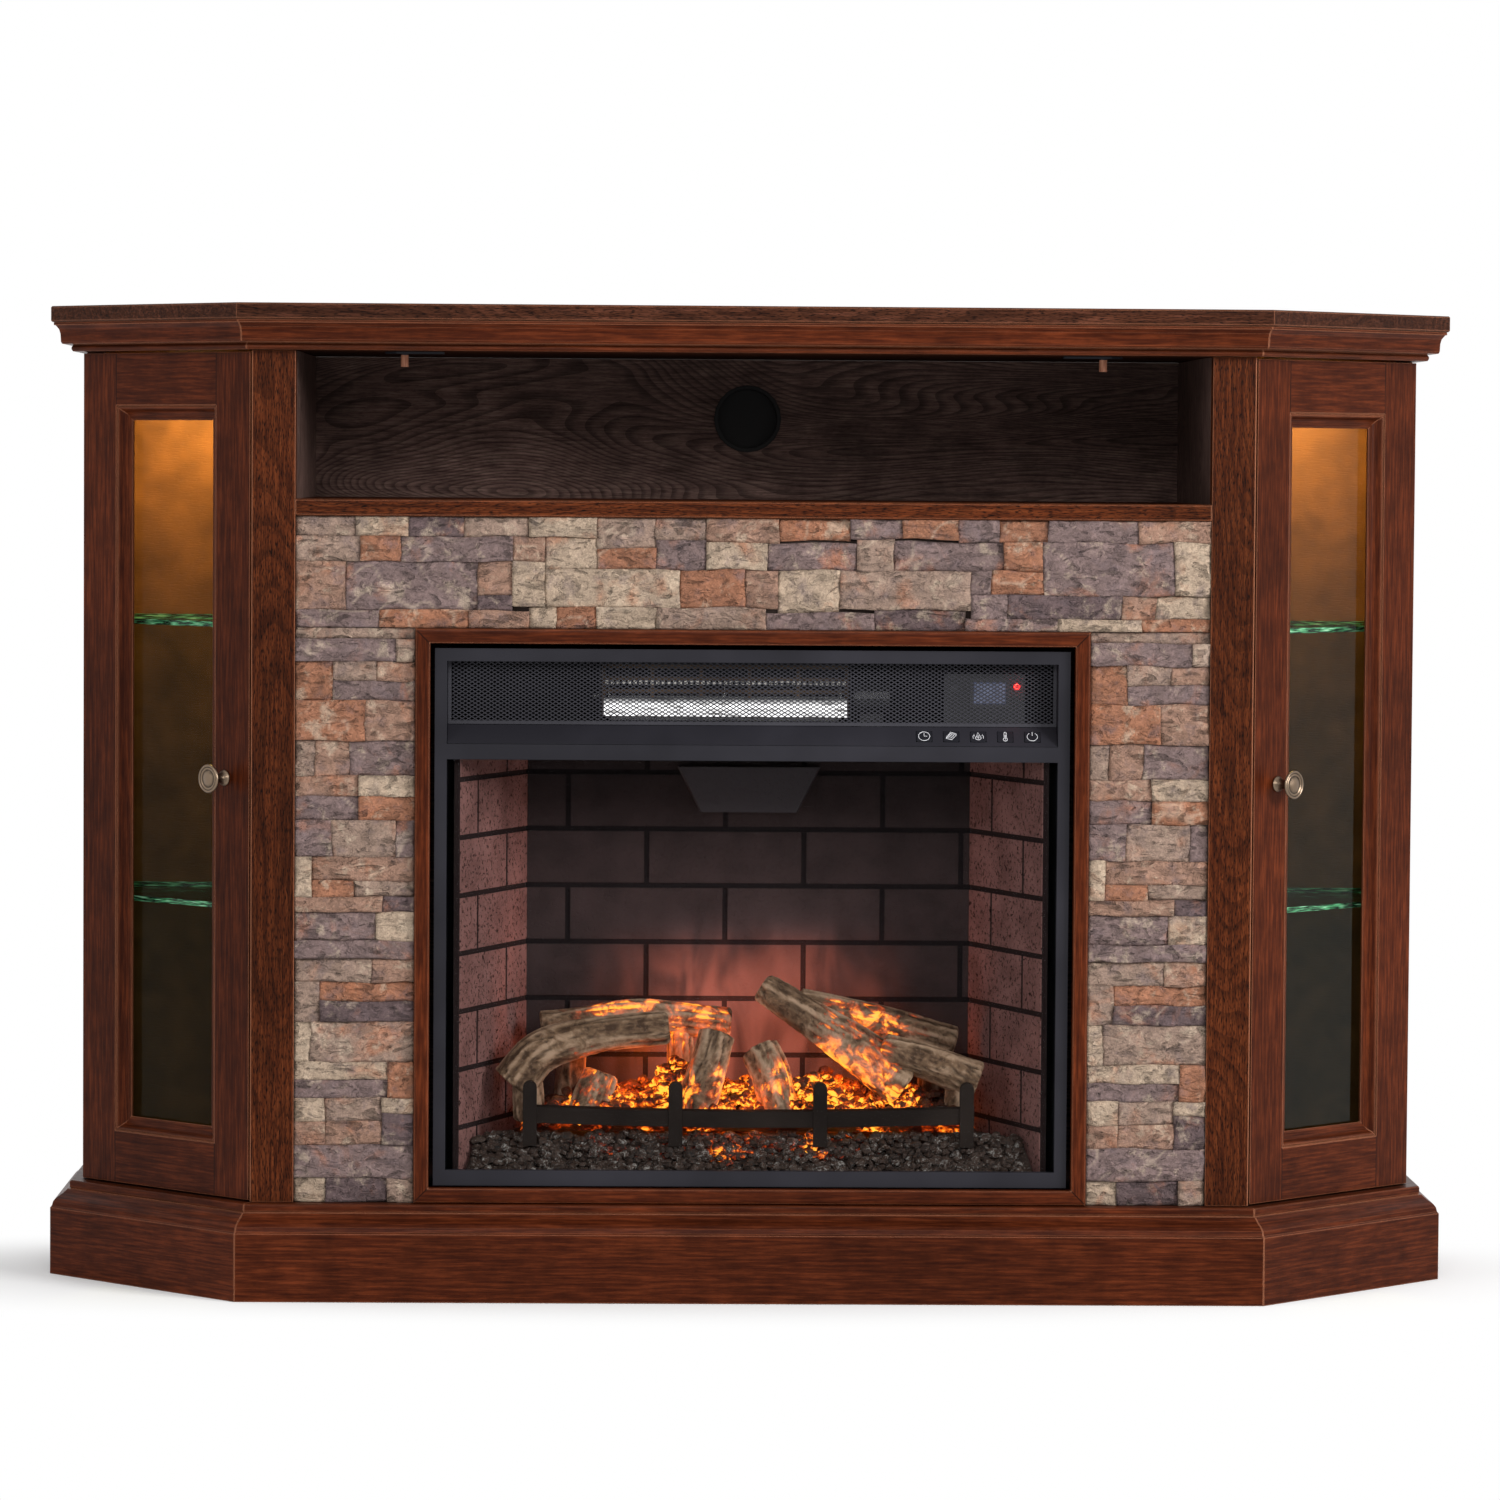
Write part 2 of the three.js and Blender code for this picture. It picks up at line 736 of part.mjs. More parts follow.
// Moulded bead round the glass, mitred at the corners: a quirk, a small astragal and a cove.
function glassBead(side) {
  const width = glassBeadWidth;
  const depth = glassBeadDepth;
  const profile = drawn((path) => {
    path.moveTo(-1, depth);
    path.lineTo(-1, 1.6);
    path.lineTo(0.6, 1.6);
    path.quadraticCurveTo(2.4, -0.4, 4.2, 2.4);
    path.lineTo(4.8, 3.4);
    path.quadraticCurveTo(7.5, 8.2, width - 1.5, 8);
    path.lineTo(width, 8.8);
    path.lineTo(width, depth);
  }, 4);
  const { inner, outer, bottom, top } = doorOpening;
  const corner = (u, z, uSign, zSign) => (into, y) =>
    new THREE.Vector3(side * (u + uSign * into), y, z + zSign * into);
  return loft(profile, [
    corner(inner, bottom, 1, 1),
    corner(outer, bottom, -1, 1),
    corner(outer, top, -1, -1),
    corner(inner, top, 1, -1),
  ], true);
}

function doorGlass(side) {
  const { inner, outer, bottom, top } = doorOpening;
  const near = side * (inner + doorGlassEdgeGap);
  const far = side * (outer - doorGlassEdgeGap);
  const front = glassBeadDepth + seat;
  return box(
    Math.min(near, far), Math.max(near, far), front, front + doorGlassThickness,
    bottom + doorGlassEdgeGap, top - doorGlassEdgeGap,
  );
}

// Turned knob: a small rose, a waisted neck and a dished disc with a double rim.
function ringKnob(side) {
  const face = knobProjection;
  const rim = knobRadius;
  const profile = drawn((path) => {
    path.moveTo(0, seat);
    path.lineTo(7.3, seat);
    path.lineTo(7.5, 1.6);
    path.quadraticCurveTo(4.2, 4.5, 4.2, 9);
    path.quadraticCurveTo(4.4, face - 6.5, rim - 1.6, face - 4.4);
    path.quadraticCurveTo(rim + 0.8, face - 2.4, rim - 1.5, face - 0.6);
    path.lineTo(rim - 2.6, face - 1.5);
    path.lineTo(rim - 3.9, face - 0.7);
    path.lineTo(rim - 5.2, face - 1.8);
    path.quadraticCurveTo(rim * 0.3, face - 0.4, 0, face);
  }, 2);
  const knob = new THREE.LatheGeometry(profile, 15).rotateZ(Math.PI);
  return facingOut(mergeVertices(bareOf(knob))).translate(side * knobInset, 0, knobHeight);
}

function hingeHeights() {
  return [doorBottom + hingeInset, doorTop - hingeInset];
}

// Cranked arm of a concealed hinge: screwed to the side panel, it reaches behind the door's cup.
function addHinges(side) {
  const doorBack = doorThickness + seat;
  const mountFace = sideInner - seat;
  const noseX = sideInner - 19;
  const plan = points(
    [side * mountFace, cantLineY(mountFace, doorBack + 40)],
    [side * mountFace, cantLineY(mountFace, doorBack + 8)],
    [side * (noseX + 8), cantLineY(noseX + 8, doorBack)],
    [side * (noseX - 6), cantLineY(noseX - 6, doorBack)],
    [side * (noseX - 2), cantLineY(noseX - 2, doorBack + 14)],
    [side * (noseX + 6), cantLineY(noseX + 6, doorBack + 24)],
    [side * (noseX + 6), cantLineY(noseX + 6, doorBack + 52)],
    [side * (mountFace - 3), cantLineY(mountFace - 3, doorBack + 52)],
  );
  const levels = ["lower", "upper"];
  hingeHeights().forEach((z, i) => {
    const arm = board(() => plan, z - hingeWidth / 2, z + hingeWidth / 2);
    addPiece(`${sideName(side)}_${levels[i]}_hinge`, arm, agedNickel());
  });
}

// ---------------------------------------------------------------- stone surround and trim

// The moulds of the ledge stone: each stone's left, right, foot and head on a board of the given
// size, from its lower left corner.
const topMould = {
  width: 846,
  height: 102,
  stones: [
    [0, 55, 84, 102], [55, 105, 84, 102], [105, 155, 84, 102], [155, 215, 84, 102], [215, 278, 84, 102],
    [0, 59, 61, 84], [59, 97, 61, 84], [97, 200, 61, 84], [200, 230, 61, 84], [230, 278, 55, 84],
    [278, 332, 74, 102], [278, 332, 55, 74], [332, 379, 82, 102], [332, 379, 55, 82], [379, 446, 80, 102],
    [379, 435, 55, 80], [0, 46, 16, 61], [46, 168, 16, 61], [168, 200, 30, 61], [200, 230, 20, 61],
    [168, 200, 16, 30], [230, 355, 20, 55], [355, 415, 20, 55], [0, 77, 0, 16], [77, 160, 0, 16],
    [160, 215, 0, 16], [215, 240, 0, 20], [240, 278, 0, 20], [278, 333, 0, 20], [333, 435, 0, 20],
    [446, 512, 82, 102], [512, 560, 84, 102], [560, 612, 84, 102], [612, 650, 82, 102], [650, 696, 82, 102],
    [696, 778, 82, 102], [778, 846, 82, 102], [435, 518, 55, 80], [518, 553, 55, 84], [553, 654, 55, 82],
    [654, 691, 55, 82], [691, 812, 33, 82], [812, 846, 33, 82], [415, 446, 20, 55], [446, 503, 16, 55],
    [503, 624, 19, 55], [624, 643, 33, 55], [643, 691, 33, 55], [624, 658, 12, 33], [658, 764, 12, 33],
    [764, 796, 12, 33], [796, 846, 12, 33], [435, 535, 0, 16], [535, 619, 0, 19], [619, 704, 0, 12],
    [704, 783, 0, 12], [783, 846, 0, 12],
  ],
};
const sideMould = {
  width: 110,
  height: 533,
  stones: [
    [0, 110, 523, 533], [0, 93, 502, 523], [93, 110, 502, 523], [0, 34, 466, 502], [34, 75, 484, 502],
    [75, 110, 484, 502], [34, 110, 466, 484], [0, 65, 429, 466], [65, 110, 429, 466], [0, 18, 396, 429],
    [18, 50, 396, 429], [50, 110, 396, 429], [0, 58, 377, 396], [0, 58, 355, 377], [58, 110, 377, 396],
    [58, 110, 355, 377], [0, 34, 321, 355], [34, 93, 321, 355], [93, 110, 321, 355], [0, 15, 284, 321],
    [15, 110, 299, 321], [15, 54, 284, 299], [54, 110, 284, 299], [0, 81, 270, 284], [81, 110, 270, 284],
    [0, 75, 243, 270], [75, 110, 243, 270], [0, 110, 227, 243], [0, 71, 205, 227], [71, 110, 205, 227],
    [0, 24, 168, 205], [24, 110, 187, 205], [24, 110, 168, 187], [0, 15, 131, 168], [15, 110, 131, 168],
    [0, 86, 114, 131], [0, 86, 97, 114], [86, 110, 97, 131], [0, 29, 75, 97], [0, 29, 53, 75],
    [29, 81, 75, 97], [29, 81, 53, 75], [81, 110, 83, 97], [81, 110, 53, 83], [0, 110, 23, 53],
    [0, 29, 0, 23], [29, 86, 0, 23], [86, 110, 0, 23],
  ],
};

// Ledge stones on a backing board, each standing out by its own amount. The mould's stones are
// stretched to the board they are laid on.
function stonePanel(x0, x1, z0, z1, mould, seed) {
  const random = unevenness(seed);
  const backingFront = frontY + stoneMostRelief + 0.4;
  const backing = box(x0, x1, backingFront, backingFront + stoneBacking, z0, z1);
  const onBoardX = (drawn) => THREE.MathUtils.lerp(x0, x1, drawn / mould.width);
  const onBoardZ = (drawn) => THREE.MathUtils.lerp(z0, z1, drawn / mould.height);
  const stones = mould.stones.map(([left, right, foot, head]) => {
    const relief = THREE.MathUtils.lerp(stoneLeastRelief, stoneMostRelief, random());
    return ledgeStone(
      onBoardX(left), onBoardX(right), onBoardZ(foot), onBoardZ(head), relief, backingFront,
    );
  });
  return join(backing, ...stones);
}

function ledgeStone(left, right, foot, head, relief, backingFront) {
  const edge = stoneJoint / 2;
  const chamfer = 1.1;
  const outline = points([left, foot], [right, foot], [right, head], [left, head]);
  const ringAt = (y, inset) => outline.map((p) => new THREE.Vector3(
    p.x + (p.x === left ? inset : -inset), y, p.y + (p.y === foot ? inset : -inset),
  ));
  return skin([ringAt(backingFront + 1, edge), ringAt(backingFront - relief, edge + chamfer)], outline);
}

function addStoneAndTrim() {
  const edge = baySideHalf - seat;
  const topPanel = stonePanel(-edge, edge, trimOuterTop + seat, mediaShelfBottom - seat, topMould, 11);
  addPiece("stone_panel_top", topPanel, stackedStone());
  const jamb = trimOuterHalf + seat;
  for (const side of [-1, 1]) {
    const x0 = side < 0 ? -edge : jamb;
    const x1 = side < 0 ? -jamb : edge;
    const panel = stonePanel(x0, x1, uprightBottom, trimOuterTop - seat, sideMould, 29);
    addPiece(`stone_panel_${sideName(side)}`, panel, stackedStone());
  }
  addPiece("firebox_trim", fireboxTrim(), oak());
}

// Mitred picture-frame trim round the insert.
function fireboxTrim() {
  const front = frontY - trimProud;
  const profile = drawn((path) => {
    path.moveTo(0, front + trimThickness);
    path.lineTo(0, front + 2);
    path.quadraticCurveTo(0, front, 2, front);
    path.lineTo(trimWidth - 3, front);
    path.quadraticCurveTo(trimWidth, front, trimWidth, front + 3);
    path.lineTo(trimWidth, front + trimThickness);
  }, 3);
  const corner = (xSign, z, zSign) => (out, y) =>
    new THREE.Vector3(xSign * (trimInnerHalf + out), y, z + zSign * out);
  const foot = insertBottom - trimBottomGap;
  return loft(profile, [
    corner(-1, foot, -1), corner(1, foot, -1), corner(1, trimInnerTop, 1), corner(-1, trimInnerTop, 1),
  ], true);
}

// ---------------------------------------------------------------- insert: frame and housing

function insertFrontFrame() {
  const shape = rectangle(THREE.Shape, -insertHalf, insertHalf, insertBottom, insertTop);
  const windowHalf = insertHalf - frameSide;
  shape.holes.push(
    rectangle(THREE.Path, -windowHalf, windowHalf, insertBottom + frameBottom, crossBarBottom),
    rectangle(THREE.Path, -windowHalf, windowHalf, crossBarTop, insertTop - frameTop),
  );
  return standing(shape, frameFront, frameThickness);
}

// Folded steel box, open at the front, with a deck between firebox and heater, air slots high in
// the back, a cord gland low in the back and two bearing brackets for the flame rotor.
function insertHousing() {
  const shell = box(-housingHalf, housingHalf, housingFront, housingBack, uprightBottom, housingTop);
  const inner = housingBack - sheet;
  const open = housingFront - 1;
  const firebox = box(-cavityHalf, cavityHalf, open, inner, fireboxFloor, heaterDeckBottom);
  const heaterBay = box(-cavityHalf, cavityHalf, open, inner, heaterDeckTop, housingTop - sheet);
  const slots = [];
  const slotCount = 9;
  const slotPitch = 44;
  for (let i = 0; i < slotCount; i++) {
    const x = (i - (slotCount - 1) / 2) * slotPitch;
    slots.push(box(x - 15, x + 15, inner - 1, housingBack + 1, wheel.z - 4, wheel.z + 4));
  }
  const gland = new THREE.CylinderGeometry(7, 9, 10, 14)
    .translate(housingHalf - 40, housingBack + 4, uprightBottom + 40);
  const brackets = [-1, 1].map((side) => rotorBracket(side));
  return join(cut(shell, firebox, heaterBay, ...slots), gland, ...brackets);
}

const wheel = {
  y: grilleFront + grilleThickness + blowerSetback,
  z: heaterDeckTop + blowerRise,
};

const rotor = {
  halfLength: 250,
  y: fireboxBack + linerThickness + seat + rotorRadius + 9,
  z: fireboxFloor + 48,
};

function rotorBracket(side) {
  const bracketAt = rotor.halfLength - 8;
  const halfWidth = 11;
  const x0 = side < 0 ? -bracketAt - 3 : bracketAt;
  const plate = box(x0, x0 + 3, rotor.y - halfWidth, rotor.y + halfWidth, fireboxFloor - 1, rotor.z + 10);
  return cut(plate, rodAlongX(shaftRadius + seat, x0 - 1, x0 + 4, rotor.y, rotor.z, 12));
}

// Flicker rod behind the back wall: bright tabs set round a shaft at stepped angles.
function flameRotor() {
  const shaft = rodAlongX(shaftRadius, -rotor.halfLength, rotor.halfLength, rotor.y, rotor.z, 10);
  const tabs = [];
  const pitch = (2 * rotor.halfLength - 34) / rotorTabs;
  for (let i = 0; i < rotorTabs; i++) {
    const x = (i - (rotorTabs - 1) / 2) * pitch;
    const tab = new THREE.BoxGeometry(pitch - 9, 2 * rotorRadius, 1)
      .rotateX((i * Math.PI) / 3 + 0.2)
      .translate(x, rotor.y, rotor.z);
    tabs.push(tab);
  }
  return join(shaft, ...tabs);
}

function addInsertShell() {
  addPiece("insert_front_frame", insertFrontFrame(), blackSheet());
  addPiece("insert_housing", insertHousing(), blackSheet());
  addPiece("flame_rotor", flameRotor(), brightSheet());
  const edge = cavityHalf - seat;
  const pane = box(
    -edge, edge, viewingGlassFront, viewingGlassFront + viewingGlassThickness,
    fireboxFloor + seat, heaterDeckBottom - seat,
  );
  addPiece("viewing_glass", pane, clearGlass());
}

// ---------------------------------------------------------------- firebox

// A wall panel in its own plane: x from 0 to length, height from 0, face at y = 0, bricks standing
// forward of it. The joints of every other course are shifted by phases[0] and phases[1].
function brickWall(length, height, phases) {
  const pieces = [box(0, length, 0, linerThickness, 0, height)];
  const firstCourse = 12.6;
  const half = brickJoint / 2;
  let course = 0;
  for (let foot = firstCourse - brickPitch; foot < height; foot += brickPitch) {
    const z0 = Math.max(foot + half, 0);
    const z1 = Math.min(foot + brickPitch - half, height);
    if (z1 - z0 > half) {
      const start = phases[course % 2] - brickLength;
      for (let left = start; left < length; left += brickLength) {
        const x0 = Math.max(left + half, 0);
        const x1 = Math.min(left + brickLength - half, length);
        if (x1 - x0 > half) pieces.push(box(x0, x1, -brickRelief, 1, z0, z1));
      }
    }
    course += 1;
  }
  return join(...pieces);
}

function brickLiner() {
  const foot = fireboxFloor + seat;
  const height = heaterDeckBottom - seat - foot;
  const splayRun = linerFrontHalf - linerBackHalf;
  const splayLength = Math.hypot(splayRun, fireboxDepth);
  const back = brickWall(2 * linerBackHalf, height, [linerBackHalf + 53, linerBackHalf - 22].map(
    (joint) => joint % brickLength,
  ));
  back.translate(-linerBackHalf, fireboxBack, foot);
  const splay = Math.atan2(fireboxDepth, splayRun);
  const left = brickWall(splayLength, height, [112, 42])
    .rotateZ(splay)
    .translate(-linerFrontHalf, fireboxFront, foot);
  const right = brickWall(splayLength, height, [splayLength - 42, splayLength - 112])
    .rotateZ(-splay)
    .translate(linerBackHalf, fireboxBack, foot);
  const posts = [-1, 1].map((side) => cornerPost(side, foot, height));
  const walls = join(back, left, right, ...posts, hoodPlate());
  const ahead = box(-housingHalf, housingHalf, housingFront, fireboxFront, foot - 1, foot + height + 1);
  return cut(walls, ahead);
}

// Closes the wedge where a splayed wall meets the back wall.
function cornerPost(side, foot, height) {
  const plan = points(
    [side * (linerBackHalf - 1), fireboxBack],
    [side * (linerBackHalf + linerThickness), fireboxBack],
    [side * (linerBackHalf + linerThickness), fireboxBack + linerThickness],
    [side * (linerBackHalf - 1), fireboxBack + linerThickness],
  );
  return board(() => plan, foot, foot + height);
}

// Dark pressed plate high on the back wall, narrower at its foot.
function hoodPlate() {
  const headHalf = 69;
  const footHalf = 47;
  const head = heaterDeckBottom - 13.6;
  const foot = head - 43;
  const proud = 12;
  const profile = points([-headHalf, head], [headHalf, head], [footHalf, foot], [-footHalf, foot]);
  const at = (y, shrink) => (x, z) => new THREE.Vector3(x * shrink, y, z);
  return loft(profile, [at(fireboxBack + 1, 1), at(fireboxBack - proud, 0.96)]);
}

// A log as a bent, tapering body with a lumpy section.
function logAlong(path, startRadius, endRadius, seed) {
  const sides = 8;
  const steps = 2 * (path.length - 1);
  const random = unevenness(seed);
  const curve = new THREE.CatmullRomCurve3(path);
  const section = [];
  for (let i = 0; i < sides; i++) {
    const angle = (2 * Math.PI * i) / sides;
    const lump = 0.9 + 0.2 * random();
    section.push(new THREE.Vector2(lump * Math.cos(angle), lump * Math.sin(angle)));
  }
  const stations = [];
  for (let s = 0; s <= steps; s++) {
    const t = s / steps;
    const centre = curve.getPoint(t);
    const along = curve.getTangent(t);
    const across = new THREE.Vector3(0, 1, 0).cross(along).normalize();
    const third = new THREE.Vector3().crossVectors(along, across).normalize();
    const swell = 0.94 + 0.12 * random();
    const radius = THREE.MathUtils.lerp(startRadius, endRadius, t) * swell;
    stations.push((a, b) =>
      centre.clone().addScaledVector(across, a * radius).addScaledVector(third, b * radius),
    );
  }
  return loft(section, stations);
}

const embers = { ledge: fireboxFloor + 48, crown: fireboxFloor + 60, padTop: fireboxFloor + 70 };
const grateLine = fireboxFront + 20;
const padFront = fireboxFront + 36;
const padBack = fireboxBack - 24;

// Half the clear width between the splayed walls, at a depth into the firebox.
const linerHalfAt = (y) =>
  THREE.MathUtils.mapLinear(y, fireboxFront, fireboxBack, linerFrontHalf, linerBackHalf);

// The logs and prongs below are placed across a tray of this half width, and follow the real one.
const drawnTrayHalf = 214;
const padHalf = linerHalfAt(padBack) - trayGap;
const acrossTray = (x) => (x * padHalf) / drawnTrayHalf;

// One moulded set: a coal pad that carries the logs, as the real resin casting does.
function logSet() {
  const front = padFront + 18;
  const back = fireboxBack - 42;
  const mid = (front + back) / 2;
  const bent = (path, startRadius, endRadius, seed) =>
    logAlong(path.map(([x, y, rise]) => new THREE.Vector3(acrossTray(x), y, fireboxFloor + rise)),
      startRadius, endRadius, seed);
  const logs = [
    bent([[-221, front, 102], [-196, front, 132], [-146, front, 148], [-75, front, 156]], 22, 15, 5),
    bent([[-196, back, 148], [-110, back + 2, 160], [-16, back, 154]], 17, 16, 9),
    bent([[12, mid, 193], [60, mid - 8, 162], [100, front + 8, 136], [148, front + 4, 102]], 14, 24, 13),
    bent([[46, back, 170], [130, back - 2, 154], [196, back, 136]], 19, 17, 17),
    bent([[124, front + 2, 136], [176, front - 4, 122], [216, front - 8, 108]], 16, 18, 23),
    bent([[-54, front - 5, 70], [-40, front - 4, 115], [-30, front + 8, 150]], 19, 17, 31),
    bent([[30, front - 6, 70], [22, front - 2, 110], [10, front + 10, 136]], 20, 17, 37),
    bent([[-154, front - 4, 70], [-138, front, 114]], 20, 16, 41),
    bent([[-170, back, 68], [-166, back, 146]], 15, 12, 43),
    bent([[-60, back, 68], [-64, back, 150]], 15, 12, 47),
    bent([[178, back + 2, 68], [172, back, 136]], 16, 12, 53),
    bent([[-206, front + 4, 68], [-208, front + 2, 106]], 15, 14, 59),
    bent([[196, front, 68], [198, front - 4, 106]], 15, 12, 61),
  ];
  return join(coalPad(), ...logs);
}

// A heap over a grid of stations: its top follows a height function and its underside is flat.
function mound(xs, ys, base, heightAt) {
  const across = xs.length;
  const positions = ys.flatMap((y, r) => xs.flatMap((x, c) => [x, y, heightAt(x, y, c, r)]));
  const index = [];
  for (let r = 0; r + 1 < ys.length; r++) {
    for (let c = 0; c + 1 < across; c++) {
      const a = r * across + c;
      index.push(a, a + 1, a + across + 1, a, a + across + 1, a + across);
    }
  }
  const topCount = across * ys.length;
  const lastRow = topCount - across;
  const rim = [
    ...xs.slice(0, -1).map((_, c) => c),
    ...ys.slice(0, -1).map((_, r) => r * across + across - 1),
    ...xs.slice(0, -1).map((_, c) => lastRow + across - 1 - c),
    ...ys.slice(0, -1).map((_, r) => lastRow - r * across),
  ];
  rim.forEach((top, i) => {
    positions.push(positions[top * 3], positions[top * 3 + 1], base);
    const j = (i + 1) % rim.length;
    index.push(top, topCount + i, topCount + j, top, topCount + j, rim[j]);
  });
  const foot = rim.map((top) => new THREE.Vector2(positions[top * 3], positions[top * 3 + 1]));
  for (const [a, b, c] of THREE.ShapeUtils.triangulateShape(foot, [])) {
    index.push(topCount + c, topCount + b, topCount + a);
  }
  return facingOut(bufferOf(positions, index));
}

const evenly = (from, to, steps) =>
  Array.from({ length: steps + 1 }, (_, i) => THREE.MathUtils.lerp(from, to, i / steps));

function coalPad() {
  const random = unevenness(71);
  const base = embers.crown + seat;
  const xs = evenly(-padHalf, padHalf, 18);
  const ys = evenly(padFront, padBack, 3);
  return mound(xs, ys, base, (x, y, c, r) => {
    const edge = c === 0 || c === xs.length - 1 || r === 0 || r === ys.length - 1;
    return edge ? base + 4 : embers.padTop + 9 * random();
  });
}

// Bank of embers: a steep lumpy front, a ledge that the grate stands on, and a level bed behind.
function emberBed() {
  const random = unevenness(83);
  const front = fireboxFront + 2;
  const back = fireboxBack - brickRelief - seat - 2;
  const ledgeFront = grateLine - 8;
  const ledgeBack = grateLine + 6;
  const slope = evenly(front, ledgeFront, 2);
  const ys = [...slope, ledgeBack, ledgeBack + 4, padFront - 1, (padFront + back) / 2, back];
  const xs = evenly(-linerFrontHalf, linerFrontHalf, 22);
  const bank = mound(xs, ys, fireboxFloor + seat, (x, y) => {
    const lump = 6 * random();
    if (y < ledgeFront) {
      const climb = (y - front) / (ledgeFront - front);
      return THREE.MathUtils.lerp(fireboxFloor + 26, embers.ledge - 6, climb) + lump;
    }
    if (y <= ledgeBack) return embers.ledge;
    return y < padFront - 2 ? embers.ledge + 4 + lump : embers.crown;
  });
  return cut(bank, ...splayTrims(front, back));
}

// Wedges that trim the ember bed back from the splayed side walls.
function splayTrims(front, back) {
  const clear = brickRelief + seat + 1.5;
  const wallAt = (y) => linerHalfAt(y) - clear;
  return [-1, 1].map((side) => {
    const plan = points(
      [side * wallAt(front - 4), front - 4],
      [side * (linerFrontHalf + 8), front - 4],
      [side * (linerFrontHalf + 8), back + 4],
      [side * wallAt(back + 4), back + 4],
    );
    return board(() => plan, fireboxFloor - 5, embers.crown + 40);
  });
}

// Cast grate: a slightly bowed bar with four prongs that stand on the ember ledge.
function grate() {
  const barHalf = padHalf - 4;
  const barHeight = 17;
  const barDepth = 7;
  const bow = 4;
  const barFoot = embers.ledge + 22;
  const stations = [];
  const steps = 8;
  for (let s = 0; s <= steps; s++) {
    const t = s / steps;
    const x = THREE.MathUtils.lerp(-barHalf, barHalf, t);
    const sag = bow * Math.sin(Math.PI * t);
    stations.push((y, z) => new THREE.Vector3(x, y, z - sag));
  }
  const section = points(
    [grateLine - barDepth / 2, barFoot], [grateLine + barDepth / 2, barFoot],
    [grateLine + barDepth / 2, barFoot + barHeight - 2], [grateLine, barFoot + barHeight],
    [grateLine - barDepth / 2, barFoot + barHeight - 2],
  );
  const prongs = [-205, -69, 66, 203].map((x) => prong(acrossTray(x), barFoot + barHeight));
  return join(loft(section, stations), ...prongs);
}

function prong(x, barTop) {
  const foot = embers.ledge + seat;
  const head = barTop + 22;
  const half = 6.5;
  const shape = new THREE.Shape();
  shape.moveTo(x - half, foot);
  shape.lineTo(x + half, foot);
  shape.lineTo(x + half, head - half);
  shape.absarc(x, head - half, half, 0, Math.PI, false);
  return standing(shape, grateLine - 5, 9, 5);
}

function addFirebox() {
  addPiece("brick_liner", brickLiner(), brick());
  addPiece("ember_bed", emberBed(), finish(0x2a2422, 0.9));
  addPiece("log_set", logSet(), finish(0x6f5a48, 0.85));
  addPiece("grate", grate(), finish(0x1c1b1c, 0.6, 0.5));
}

// ---------------------------------------------------------------- heater and controls

const grilleHalf = cavityHalf - seat;

// Expanded metal as a plate with staggered diamond openings inside a plain margin.
function outletGrille() {
  const shape = rectangle(THREE.Shape, -grilleHalf, grilleHalf, grilleBottom, grilleTop);
  const margin = 3;
  const halfX = (grillePitchX - grilleStrand) / 2;
  const halfZ = (grillePitchZ - grilleStrand) / 2;
  const rows = Math.floor((grilleTop - grilleBottom - 2 * margin - grillePitchZ) / (grillePitchZ / 2)) + 1;
  const middle = (grilleTop + grilleBottom) / 2;
  for (let r = 0; r < rows; r++) {
    const z = middle + ((r - (rows - 1) / 2) * grillePitchZ) / 2;
    const shift = r % 2 ? grillePitchX / 2 : 0;
    const reach = grilleHalf - margin - grillePitchX / 2;
    const columns = Math.floor((reach - shift) / grillePitchX);
    const first = shift ? -columns - 1 : -columns;
    for (let c = first; c <= columns; c++) {
      const x = c * grillePitchX + shift;
      const hole = new THREE.Path();
      hole.moveTo(x - halfX, z);
      hole.lineTo(x, z + halfZ);
      hole.lineTo(x + halfX, z);
      hole.lineTo(x, z - halfZ);
      hole.closePath();
      shape.holes.push(hole);
    }
  }
  return standing(shape, grilleFront, grilleThickness);
}

// Bright outlet duct: a scroll round the wheel that opens forward, with an air gap behind its top.
function heaterDuct() {
  const mouth = grilleFront + grilleThickness + 2;
  const casing = blowerRadius + 7;
  const top = wheel.z + casing;
  const lipHeight = heaterDeckTop + 31;
  const roof = alongX(points(
    [mouth, top], [wheel.y - casing / 2, top], [wheel.y - casing / 2, top + sheet], [mouth, top + sheet],
  ), ductLeft, ductRight);
  const scroll = drawn((path) => {
    path.absarc(wheel.y, wheel.z, casing + sheet, 0.35, -Math.PI / 2, true);
    path.lineTo(mouth, lipHeight);
    path.lineTo(mouth, lipHeight + sheet);
    path.lineTo(wheel.y, wheel.z - casing);
    path.absarc(wheel.y, wheel.z, casing, -Math.PI / 2, 0.35, false);
  }, 5);
  const cheeks = [ductLeft, ductRight - sheet].map((x) => {
    const plan = drawn((path) => {
      path.moveTo(mouth, top + sheet);
      path.lineTo(mouth, lipHeight);
      path.lineTo(wheel.y, wheel.z - casing - sheet);
      path.absarc(wheel.y, wheel.z, casing + sheet, -Math.PI / 2, Math.PI / 2, false);
    }, 5);
    const plate = alongX(plan, x, x + sheet);
    return cut(plate, rodAlongX(shaftRadius + seat, x - 1, x + sheet + 1, wheel.y, wheel.z, 12));
  });
  const feet = [ductLeft + 20, ductRight - 40].map((x) =>
    box(x, x + 20, wheel.y - 6, wheel.y + 6, heaterDeckTop + seat, wheel.z - casing - sheet / 2),
  );
  return join(roof, alongX(scroll, ductLeft, ductRight), ...cheeks, ...feet);
}

